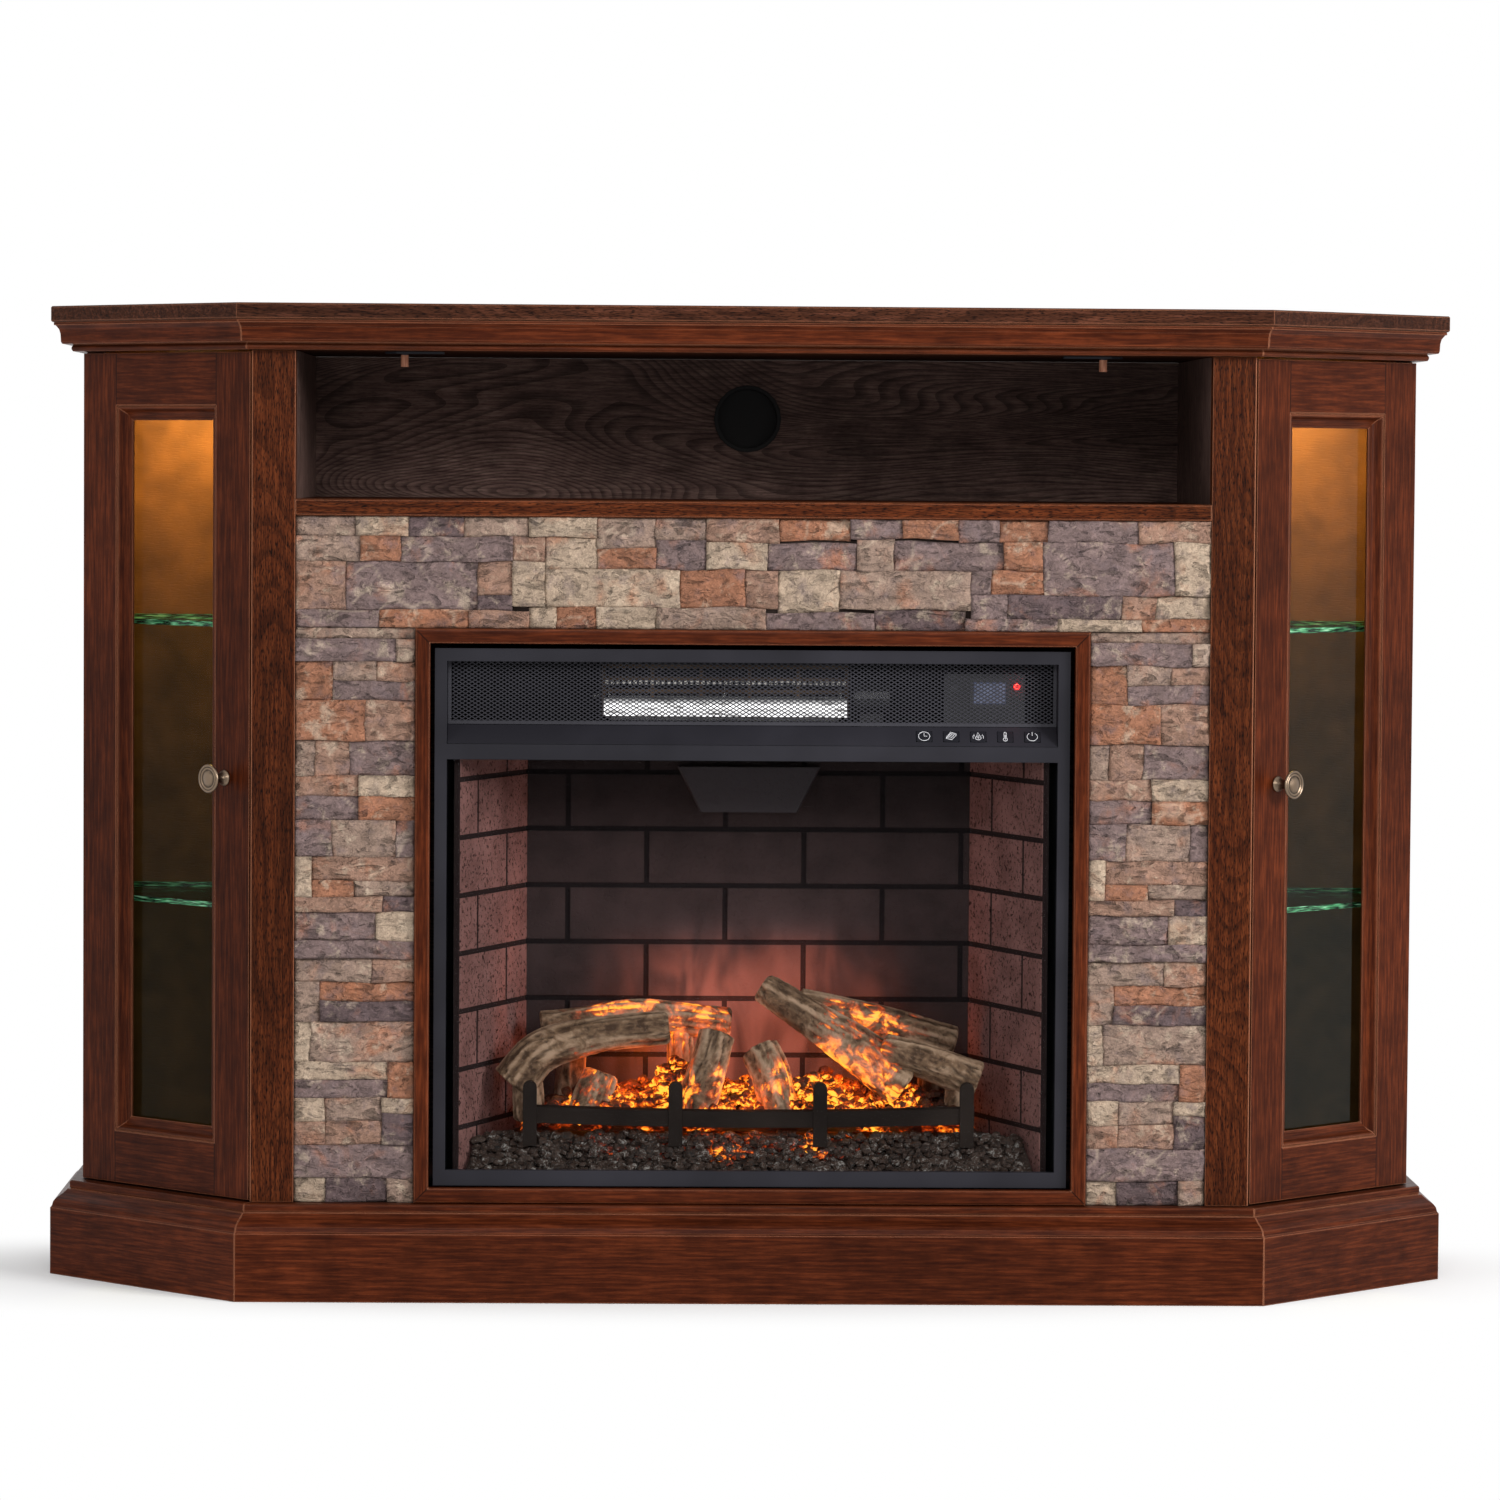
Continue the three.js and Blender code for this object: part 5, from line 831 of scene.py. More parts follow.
def steelFinish(name, look):
    material, tree = startMaterial(name)
    place = addNode(tree, "ShaderNodeTexCoord").outputs["Object"]
    drawn = addNode(tree, "ShaderNodeMapping", None, {"Vector": place, "Scale": (0.02, 1, 1)})
    lines = addNode(tree, "ShaderNodeTexNoise", None,
                    {"Vector": drawn, "Scale": 1 / look["lineWidth"], "Detail": 2.0})
    rough = addNode(tree, "ShaderNodeMapRange", None,
                    {"Value": lines, "From Min": 0.3, "From Max": 0.7, "To Min": look["roughness"] - 0.08,
                     "To Max": look["roughness"] + 0.1})
    colour = addNode(tree, "ShaderNodeMapRange", None, {"Value": lines, "To Min": 0.75, "To Max": 1.0})
    tint = addNode(tree, "ShaderNodeMix", colourTimes,
                   {0: 1.0, 6: hexColour(look["colour"]), 7: colour}).outputs[2]
    surface(tree, addNode(tree, "ShaderNodeBsdfPrincipled", None,
                          {"Base Color": tint, "Metallic": 1.0, "Roughness": rough}))
    return material


def glassFinish(name, tint, edgeTint, shine):
    # clear float glass: light passes, the cut edges look green, a faint reflection stays
    material, tree = startMaterial(name)
    rim = addNode(tree, "ShaderNodeLayerWeight", None, {"Blend": 0.22})
    smear = addNode(tree, "ShaderNodeTexNoise", None, {"Scale": 7.0, "Detail": 3.0})
    rough = addNode(tree, "ShaderNodeMapRange", None, {"Value": smear, "To Min": 0.0, "To Max": 0.07})
    colour = addNode(tree, "ShaderNodeMix", colourMix,
                     {0: rim.outputs["Facing"], 6: hexColour(tint), 7: hexColour(edgeTint)}).outputs[2]
    clear = addNode(tree, "ShaderNodeBsdfTransparent", None, {"Color": colour})
    gloss = addNode(tree, "ShaderNodeBsdfAnisotropic", {"distribution": "GGX"},
                    {"Color": hexColour("#ffffff"), "Roughness": rough})
    share = addNode(tree, "ShaderNodeMath", times, {0: rim.outputs["Fresnel"], 1: shine})
    surface(tree, addNode(tree, "ShaderNodeMixShader", None, {0: share, 1: clear, 2: gloss}))
    return material


def shelfFinish(name, edgeTint):
    # clear through its faces, and green along the cut front edge, where the light gathers
    material, tree = startMaterial(name)
    rim = addNode(tree, "ShaderNodeLayerWeight", None, {"Blend": 0.15})
    clear = addNode(tree, "ShaderNodeBsdfTransparent", None, {"Color": hexColour("#e6efe9")})
    gloss = addNode(tree, "ShaderNodeBsdfAnisotropic", {"distribution": "GGX"},
                    {"Color": hexColour("#dfe9e2"), "Roughness": 0.04})
    share = addNode(tree, "ShaderNodeMath", times, {0: rim.outputs["Fresnel"], 1: 0.25})
    face = addNode(tree, "ShaderNodeMixShader", None, {0: share, 1: clear, 2: gloss})
    place = addNode(tree, "ShaderNodeTexCoord")
    drawn = addNode(tree, "ShaderNodeMapping", None,
                    {"Vector": place.outputs["Object"], "Scale": (0.25, 0.25, 3)})
    chips = addNode(tree, "ShaderNodeTexNoise", None, {"Vector": drawn, "Scale": 260.0, "Detail": 2.0})
    green = addNode(tree, "ShaderNodeValToRGB",
                    {"stops": [(0.44, hexColour("#0d2a18")), (0.60, hexColour(edgeTint)),
                               (0.72, hexColour("#bfe8c8"))]}, {0: chips})
    edge = addNode(tree, "ShaderNodeBsdfPrincipled", None,
                   {"Base Color": green, "Roughness": 0.15, "Emission Color": green,
                    "Emission Strength": 0.10})
    upward = addNode(tree, "ShaderNodeSeparateXYZ", None, {0: place.outputs["Normal"]})
    upward = addNode(tree, "ShaderNodeMath", sizeOf, {0: upward.outputs["Z"]})
    onEdge = addNode(tree, "ShaderNodeMath", below, {0: upward, 1: 0.5})
    surface(tree, addNode(tree, "ShaderNodeMixShader", None, {0: onEdge, 1: face, 2: edge}))
    return material


def glowFinish(name, colour, strength, shadow):
    # opal plastic over a lamp: a warm glow a little weaker at the rim
    material, tree = startMaterial(name)
    rim = addNode(tree, "ShaderNodeLayerWeight", None, {"Blend": 0.4})
    fade = addNode(tree, "ShaderNodeValToRGB",
                   {"stops": [(0.0, hexColour(colour)), (1.0, hexColour(shadow))]},
                   {0: rim.outputs["Facing"]})
    surface(tree, addNode(tree, "ShaderNodeBsdfPrincipled", None,
                          {"Base Color": fade, "Roughness": 0.4, "Emission Color": fade,
                           "Emission Strength": strength}))
    return material


blackSheet = powderFinish("black powder coated sheet", powderLook)
brightSteel = steelFinish("rolled sheet steel", steelLook)
dress(blackSheet, "insert_front_frame", "insert_housing", "control_lip")
dress(powderFinish("black galvanised duct", dict(powderLook, colour="#121215", worn="#1b1b1f")),
      "heater_duct")
dress(brightSteel, "flame_rotor", "left_lower_hinge", "left_upper_hinge", "right_lower_hinge",
      "right_upper_hinge")
dress(dowelFinish(dowelLook), "left_ceiling_plate", "right_ceiling_plate")
dress(powderFinish("sintered cast iron", dict(powderLook, colour="#16100e", worn="#2f2723", grit=0.0009,
                                             roughness=0.62), 0.3), "grate")
dress(powderFinish("moulded black plastic",
                   dict(powderLook, colour="#0f0d0d", worn="#1c1918", roughness=0.5)),
      "cable_grommet")
dress(powderFinish("moulded key plastic",
                   dict(powderLook, colour="#17171b", worn="#202026", roughness=0.3)),
      "timer_key", "heater_key", "flame_key", "thermostat_key", "power_key")
dress(powderFinish("zinc plated motor can",
                   dict(powderLook, colour="#4b4b4d", worn="#6c6b69", roughness=0.4), 0.8),
      "blower_motor")
dress(steelFinish("pressed aluminium", dict(steelLook, colour="#a9a9a6", roughness=0.4)), "blower_wheel")
dress(powderFinish("mica element board", dict(powderLook, colour="#4a3a2e", worn="#6b5a4a", roughness=0.7)),
      "heating_element")
dress(glassFinish("float glass pane", "#f7faf8", "#9fb8aa", 0.03), "left_door_glass", "right_door_glass")
dress(shelfFinish("float glass shelf", "#5fae7c"), "left_lower_glass_shelf",
      "left_upper_glass_shelf", "right_lower_glass_shelf", "right_upper_glass_shelf")
dress(glassFinish("tempered firebox glass", "#f6f6f6", "#8a908c", 0.03), "viewing_glass")
dress(glowFinish("opal lamp cover", "#ffd9a0", 2.5, "#ff9d45"), "left_cabinet_light", "right_cabinet_light")
print("metal, glass and plastic dressed")


# cabinet lamps

cabinetLook = {
    "lampX": 0.52835,
    "lampY": 0.100,
    "lampZ": 0.862,
    "watts": 1.9,
    "colour": "#ffd08a",
}


def lightCabinets(look):
    for side in (-1, 1):
        lamp = lampAt("cabinet_lamp", (side * look["lampX"], look["lampY"], look["lampZ"]),
                      (side * look["lampX"], look["lampY"] + 0.04, 0.2), 0.05, 0.05, look["watts"],
                      hexColour(look["colour"])[:3])
        lamp.data.spread = math.pi


lightCabinets(cabinetLook)
print("cabinets lit")


# knobs

knobLook = {
    "inset": 0.0365,
    "height": 0.481,
    "segments": 48,
    "profile": [  # distance from the axis, distance out from the door
        (0.0, 0.0003), (0.0073, 0.0003), (0.0075, 0.0009), (0.0072, 0.0016), (0.0058, 0.0028),
                (0.0047, 0.0048),
        (0.0042, 0.0075), (0.0043, 0.0105), (0.0052, 0.0135), (0.0078, 0.0160), (0.0112, 0.0176),
        (0.0131, 0.0188), (0.0134, 0.0200), (0.0128, 0.0210), (0.0119, 0.0214), (0.0113, 0.0211),
        (0.0108, 0.0205), (0.0102, 0.0207), (0.0096, 0.0212), (0.0088, 0.0208), (0.0082, 0.0202),
        (0.0068, 0.0206), (0.0040, 0.0216), (0.0, 0.0220),
    ],
}


def turnKnob(side, look, material):
    verts, faces = [], []
    ring = look["segments"]
    for radius, out in look["profile"][1:-1]:
        for i in range(ring):
            angle = 2 * math.pi * i / ring
            verts.append((side * look["inset"] + radius * math.cos(angle), -out,
                          look["height"] + radius * math.sin(angle)))
    faces += gridFaces(ring, len(look["profile"]) - 2, 0, True)
    back, tip = look["profile"][0][1], look["profile"][-1][1]
    for row, out, turned in ((0, back, False), (len(look["profile"]) - 3, tip, True)):
        centre = len(verts)
        verts.append((side * look["inset"], -out, look["height"]))
        for i in range(ring):
            a, b = row * ring + i, row * ring + (i + 1) % ring
            faces.append((centre, a, b) if turned else (centre, b, a))
    name = "left" if side < 0 else "right"
    piece = makePiece(name + "_turned_knob", verts, faces, [material])
    corner = Matrix.Translation((side * plan["frontHalf"], plan["frontY"], 0))
    piece.data.transform(corner @ Matrix.Rotation(side * math.pi / 4, 4, "Z"))
    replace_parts(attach(piece, name + "_door"), name + "_knob")


nickel = nickelFinish(nickelLook)
turnKnob(-1, knobLook, nickel)
turnKnob(1, knobLook, nickel)
print("knobs turned")


# outlet grille of fine expanded metal

grilleLook = {
    "half": 0.2826,
    "foot": 0.5328,
    "head": 0.6002,
    "frontY": -0.1500,
    "pitchX": 0.0060,
    "pitchZ": 0.0036,
    "strand": 0.0008,
    "thickness": 0.0006,
    "margin": 0.0015,
    "border": 0.0018,  # by how much the flat rim overlaps the mesh
    "rimDepth": 0.0014,
}


def expandMetal(look, material):
    verts, faces = [], []
    width = 2 * (look["half"] - look["margin"])
    columns = round(width / look["pitchX"])
    rows = round((look["head"] - look["foot"] - 2 * look["margin"]) / look["pitchZ"])
    stepX, stepZ = width / columns, (look["head"] - look["foot"] - 2 * look["margin"]) / rows
    x0, z0 = -look["half"] + look["margin"], look["foot"] + look["margin"]
    shrink = 1 - look["strand"] * 2 / min(stepX, stepZ) * 0.72
    for r in range(2 * rows - 1):
        shift = 0.5 if r % 2 else 1.0
        for c in range(columns - (0 if r % 2 else 1)):
            x, z = x0 + (c + shift) * stepX, z0 + (r + 1) * stepZ / 2
            start = len(verts)
            for scale, lift in ((1.0, 0.0), (shrink, look["thickness"])):
                for dx, dz in ((-0.5, 0), (0, -0.5), (0.5, 0), (0, 0.5)):
                    verts.append((x + dx * stepX * scale, look["frontY"] + 0.0004 - lift * 0.6,
                                  z + dz * stepZ * scale))
            for i in range(4):
                j = (i + 1) % 4
                faces.append((start + i, start + j, start + 4 + j, start + 4 + i))
    frameOuter = [(-look["half"], look["foot"]), (look["half"], look["foot"]), (look["half"], look["head"]),
                  (-look["half"], look["head"])]
    rim = look["margin"] + look["border"]
    frameInner = [(-look["half"] + rim, look["foot"] + rim), (look["half"] - rim, look["foot"] + rim),
                  (look["half"] - rim, look["head"] - rim), (-look["half"] + rim, look["head"] - rim)]
    start = len(verts)
    for y in (look["frontY"], look["frontY"] + look["rimDepth"]):
        verts += [(x, y, z) for x, z in frameOuter] + [(x, y, z) for x, z in frameInner]
    for i in range(4):
        j = (i + 1) % 4
        faces.append((start + i, start + j, start + 4 + j, start + 4 + i))
        faces.append((start + 12 + i, start + 12 + j, start + 8 + j, start + 8 + i))
        faces.append((start + i, start + 8 + i, start + 8 + j, start + j))
        faces.append((start + 4 + i, start + 4 + j, start + 12 + j, start + 12 + i))
    piece = makePiece("expanded_metal_grille", verts, faces, [material], smooth=False)
    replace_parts(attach(piece, "mantel"), "outlet_grille")


expandMetal(grilleLook, powderFinish("black expanded metal",
                                     dict(powderLook, colour="#302f34", worn="#3f3e44")))
print("grille expanded")


# heater outlet behind the grille

reflectorLook = {
    "x0": -0.1380, "x1": 0.0880,
    "section": [(-0.1462, 0.5415), (-0.1440, 0.5425), (-0.1415, 0.5460), (-0.1395, 0.5510),
                (-0.1380, 0.5580)],
    "thickness": 0.0008,
    "bright": "#ffffff",
    "dull": "#6e6c69",
    # strength of the sheet's glow, a painted reflection
    "shine": 1.25,
    "fade": (0.5585, 0.5500),
    "slots": (-0.1376, 0.5700, 0.5735),  # a perforated band over the reflector: y, foot and head
    "slotPitch": 0.0052,
}


def reflectorFinish(look):
    # polished sheet whose colour also glows in bands, most along its lower lip: a painted reflection
    material, tree = startMaterial("polished reflector sheet")
    place = addNode(tree, "ShaderNodeTexCoord").outputs["Object"]
    drawn = addNode(tree, "ShaderNodeMapping", None, {"Vector": place, "Scale": (0.16, 1.0, 1.0)})
    bands = addNode(tree, "ShaderNodeTexNoise", None,
                    {"Vector": drawn, "Scale": 260.0, "Detail": 3.0, "Roughness": 0.6, "Distortion": 0.4})
    colour = addNode(tree, "ShaderNodeValToRGB", {"stops": [(0.34, hexColour(look["dull"])),
                                                            (0.50, hexColour(look["bright"]))]}, {0: bands})
    rise = addNode(tree, "ShaderNodeSeparateXYZ", None, {0: place})
    fade = addNode(tree, "ShaderNodeMapRange", softly,
                   {"Value": rise.outputs["Z"], "From Min": look["fade"][0], "From Max": look["fade"][1],
                    "To Max": look["shine"]})
    surface(tree, addNode(tree, "ShaderNodeBsdfPrincipled", None,
                          {"Base Color": colour, "Metallic": 1.0, "Roughness": 0.22,
                           "Emission Color": colour, "Emission Strength": fade}))
    return material


def bendReflector(look, material):
    verts, faces = [], []
    steps = 36
    line = look["section"] + [(y + look["thickness"], z - look["thickness"]) for y,
                              z in reversed(look["section"])]
    for i in range(steps + 1):
        x = lerp(look["x0"], look["x1"], i / steps)
        ripple = 0.0005 * noise.noise(Vector((x * 70, 1.3, 0.0)))
        verts += [(x, y, z + ripple) for y, z in line]
    faces += gridFaces(len(line), steps + 1, 0, True)
    faces.append(tuple(range(len(line))))
    faces.append(tuple(reversed(range(steps * len(line), (steps + 1) * len(line)))))
    piece = makePiece("heat_reflector", verts, faces, [material])
    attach(piece, "mantel")


def pierceBand(look, material):
    # a row of small boxes at the slots of a thin band, whose colour glows: painted light showing through the
    # slots
    y, foot, head = look["slots"]
    count = round((look["x1"] - look["x0"]) / look["slotPitch"])
    verts, faces = [], []
    for i in range(count):
        left = lerp(look["x0"], look["x1"], (i + 0.22) / count)
        right = lerp(look["x0"], look["x1"], (i + 0.78) / count)
        start = len(verts)
        for back in (0.0, 0.0006):
            verts += [(left, y + back, foot), (right, y + back, foot), (right, y + back, head),
                      (left, y + back, head)]
        faces += [tuple(start + k for k in quad) for quad in boxQuads]
    piece = makePiece("slotted_heat_band", verts, faces, [material], smooth=False)
    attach(piece, "mantel")


bendReflector(reflectorLook, reflectorFinish(reflectorLook))
# the slot boxes glow more faintly: painted light
punchedLook = dict(reflectorLook, bright="#a5a29d", dull="#4b4946", shine=0.5, fade=(0.60, 0.59))
pierceBand(reflectorLook, reflectorFinish(punchedLook))

louvreLook = {
    "count": 9,
    "pitch": 0.044,
    "half": 0.0170,
    "backY": 0.0625,
    "reach": 0.0100,
    "head": 0.5635,
    "foot": 0.5490,
    "thickness": 0.0008,
}


def pressLouvres(look, material):
    # a hood behind each air slot of the housing's back: air passes below it, and it stops the light
    y0, y1, t = look["backY"], look["backY"] + look["reach"], look["thickness"]
    head, foot = look["head"], look["foot"]
    hood = [(y0, head), (y1, foot + 0.0015), (y1, foot), (y1 - t, foot), (y1 - t, foot + 0.0012),
            (y0, head - t * 1.6)]
    cheek = [(y0, head - t), (y1 - t, foot + 0.0010), (y1 - t, foot), (y0, foot)]
    verts, faces = [], []
    for i in range(look["count"]):
        middle = (i - (look["count"] - 1) / 2) * look["pitch"]
        left, right = middle - look["half"], middle + look["half"]
        for line, x0, x1 in ((hood, left, right), (cheek, left, left + t), (cheek, right - t, right)):
            start = len(verts)
            verts += [(x, y, z) for x in (x0, x1) for y, z in line]
            faces += gridFaces(len(line), 2, start, True)
            middleRow, end = start + len(line), start + 2 * len(line)
            faces += [tuple(range(start, middleRow)), tuple(range(end - 1, middleRow - 1, -1))]
    piece = makePiece("rear_air_louvres", verts, faces, [material], smooth=False)
    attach(piece, "mantel")


pressLouvres(louvreLook, blackSheet)
print("heater outlet fitted")


# display and keys

displayLook = {
    "window": (0.205, 0.236, 0.5535, 0.5745),
    "faceY": -0.1473,
    "panel": "#454a5c",
    "panelGlow": 1.1,
    "depth": 0.0014,
    "bevel": 0.0012,
    "lamp": (0.2456, 0.5704, 0.0029),
    "lampColour": "#ff1010",
    "lampStrength": 7.0,
    "lampSides": 20,
    "halo": 0.004,
}


def displayFinish():
    material, tree = startMaterial("tinted display window")
    place = addNode(tree, "ShaderNodeTexCoord").outputs["Object"]
    cloud = addNode(tree, "ShaderNodeTexNoise", None, {"Vector": place, "Scale": 60.0, "Detail": 2.0})
    colour = addNode(tree, "ShaderNodeValToRGB",
                     {"stops": [(0.3, hexColour("#0d0d10")), (0.8, hexColour("#191a1f"))]}, {0: cloud})
    surface(tree, addNode(tree, "ShaderNodeBsdfPrincipled", None,
                          {"Base Color": colour, "Roughness": 0.25}))
    return material


def lampFinish(name, colour, strength):
    # small light source under clear plastic, brightest at its middle
    material, tree = startMaterial(name)
    rim = addNode(tree, "ShaderNodeLayerWeight", None, {"Blend": 0.5})
    fade = addNode(tree, "ShaderNodeValToRGB",
                   {"stops": [(0.0, hexColour("#ff6a58")), (0.35, hexColour(colour))]},
                   {0: rim.outputs["Facing"]})
    surface(tree, addNode(tree, "ShaderNodeBsdfPrincipled", None,
                          {"Base Color": fade, "Emission Color": fade, "Emission Strength": strength}))
    return material


def fitDisplay(look):
    dress(displayFinish(), "display_module")
    x0, x1, z0, z1 = look["window"]
    material, tree = startMaterial("blue grey display glass")
    place = addNode(tree, "ShaderNodeTexCoord").outputs["Object"]
    fade = addNode(tree, "ShaderNodeTexNoise", None, {"Vector": place, "Scale": 90.0, "Detail": 1.0})
    colour = addNode(tree, "ShaderNodeValToRGB",
                     {"stops": [(0.3, hexColour("#343848")), (0.7, hexColour(look["panel"]))]}, {0: fade})
    surface(tree, addNode(tree, "ShaderNodeBsdfPrincipled", None,
                          {"Base Color": colour, "Roughness": 0.2, "Emission Color": colour,
                           "Emission Strength": look["panelGlow"]}))
    face, back, inset = look["faceY"], look["faceY"] + look["depth"], look["bevel"]
    verts = [(x0, back, z0), (x1, back, z0), (x1, back, z1), (x0, back, z1),
             (x0 + inset, face, z0 + inset), (x1 - inset, face, z0 + inset), (x1 - inset, face, z1 - inset),
             (x0 + inset, face, z1 - inset)]
    faces = [(0, 1, 5, 4), (1, 2, 6, 5), (2, 3, 7, 6), (3, 0, 4, 7), (4, 5, 6, 7), (3, 2, 1, 0)]
    piece = makePiece("display_pane", verts, faces, [material], smooth=False)
    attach(piece, "mantel")
    x, z, radius = look["lamp"]
    verts, faces = [], []
    rings = [(radius, 0.0), (radius * 0.95, -0.0006), (radius * 0.7, -0.0013), (radius * 0.35, -0.0017)]
    sides = look["lampSides"]
    for r, out in rings:
        for i in range(sides):
            angle = 2 * math.pi * i / sides
            verts.append((x + r * math.cos(angle), face + 0.0008 + out, z + r * math.sin(angle)))
    faces += gridFaces(sides, len(rings), 0, True)
    faces.append(tuple(range((len(rings) - 1) * sides, len(rings) * sides)))
    lamp = makePiece("red_lamp_dome", verts, faces, [lampFinish("red indicator lamp", look["lampColour"],
                                                               look["lampStrength"])])
    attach(lamp, "mantel")
    # its light also reddens the mesh round it
    glowLamp("indicator_glow", (x, face - 0.0040, z), look["halo"], look["lampColour"], 0.001)


fitDisplay(displayLook)

keyLook = {
    "bodies": ["timer_button", "heater_button", "flame_button", "thermostat_button", "power_button"],
    "firstX": 0.1591,
    "pitch": 0.0251,
    "foot": (-0.1657, 0.5153),
    "head": (-0.1500, 0.5325),
    "proud": 0.00055,
    "line": 0.00031,
    "colour": "#c9c9cc",
}


def arcLine(cx, cy, radius, start, end, steps=18):
    return [(cx + radius * math.cos(math.radians(lerp(start, end, i / steps))),
             cy + radius * math.sin(math.radians(lerp(start, end, i / steps)))) for i in range(steps + 1)]


# each symbol as lines in millimetres round the middle of its key
keySymbols = [
    [arcLine(0, 0, 5.2, 90, 450, 30), [(0, 3.4), (0, 0), (3.0, 0)]],
    [[(-4.6, -2.6), (0.6, -4.0), (4.8, 1.6), (-0.2, 3.6), (-4.6, -2.6)], [(-2.6, -1.6), (0.8, 2.4)],
     [(-0.6, -2.2), (2.6, 1.6)], [(-4.6, -2.6), (-4.4, -1.0), (-0.3, 5.0), (4.7, 3.0), (4.8, 1.6)]],
    [arcLine(0, -1.0, 3.0, 200, 340, 10), [(-2.8, -2.0), (-1.2, 1.0), (-0.2, 5.0), (1.3, 1.6), (2.8, -2.0)],
     [(-4.6, -2.4), (-4.9, 0.2), (-3.6, 2.6), (-3.4, 0.2)],
     [(4.6, -2.4), (4.9, 0.2), (3.8, 2.6), (3.4, 0.2)],
     [(0, -2.6), (-0.8, -0.6), (0.2, 1.0), (0.8, -0.8), (0, -2.6)]],
    [arcLine(0, -3.4, 1.9, 125, 415, 16), [(-1.0, -1.9), (-1.0, 4.2)], [(1.0, -1.9), (1.0, 4.2)],
     arcLine(0, 4.2, 1.0, 180, 0, 8), [(0, -3.4), (0, 1.8)]],
    [arcLine(0, 0, 4.8, 125, 415, 26), [(0, 1.2), (0, 5.6)]],
]


def printSymbols(look):
    # white pad print on each key, which also glows faintly: painted light
    material, tree = startMaterial("white pad print")
    patch = addNode(tree, "ShaderNodeTexNoise", None, {"Scale": 900.0, "Detail": 1.0})
    colour = addNode(tree, "ShaderNodeValToRGB",
                     {"stops": [(0.3, hexColour("#a9a9ad")), (0.6, hexColour(look["colour"]))]}, {0: patch})
    surface(tree, addNode(tree, "ShaderNodeBsdfPrincipled", None,
                          {"Base Color": colour, "Roughness": 0.5, "Emission Color": colour,
                           "Emission Strength": 0.25}))
    along = Vector((0, look["head"][0] - look["foot"][0], look["head"][1] - look["foot"][1])).normalized()
    right = Vector((1, 0, 0))
    outward = right.cross(along)
    if outward.y > 0:
        outward = -outward
    for number, (body, symbol) in enumerate(zip(look["bodies"], keySymbols)):
        centre = Vector((look["firstX"] + number * look["pitch"], (look["foot"][0] + look["head"][0]) / 2,
                         (look["foot"][1] + look["head"][1]) / 2)) + outward * look["proud"]
        data = bpy.data.curves.new(body + "_symbol", "CURVE")
        data.dimensions = "3D"
        data.bevel_depth = look["line"]
        data.bevel_resolution = 1
        data.use_fill_caps = True
        for line in symbol:
            spline = data.splines.new("POLY")
            spline.points.add(len(line) - 1)
            for point, (u, v) in zip(spline.points, line):
                spot = centre + right * (u / 1000) + along * (v / 1000)
                point.co = (spot.x, spot.y, spot.z, 1)
        data.materials.append(material)
        piece = bpy.data.objects.new(body + "_symbol", data)
        bpy.context.scene.collection.objects.link(piece)
        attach(piece, body)


printSymbols(keyLook)
print("display and keys fitted")


# firebox brick

# moulded fibre brick with painted mortar: red-brown pitted sides, smoky grey back with a flame glow
brickLook = {
    "side": "#946b66",
    "sideDark": "#775450",
    "mortar": "#2b2020",
    "back": "#403434",
    "backDark": "#342a2a",
    "backMortar": "#1b1516",
    "hood": "#403c3f",
    "pit": 0.0035,
    "flame": "#c06450",
    # grey of the glow's upper part: a painted reflection in the glass
    "glassReflection": "#8a7476",
    "flameFoot": 0.265,
    "flameHead": 0.375,
    "flameHalf": 0.165,
    "flameStrength": 0.85,
    "sideNormal": (0.9308, 0.3656),  # across and forward parts of a splayed side wall's facing
    "joint": 0.0008,  # what stands out less than this from the mortar plane is mortar
    "hoodHalf": 0.12,
    "hoodFoot": 0.43,
}


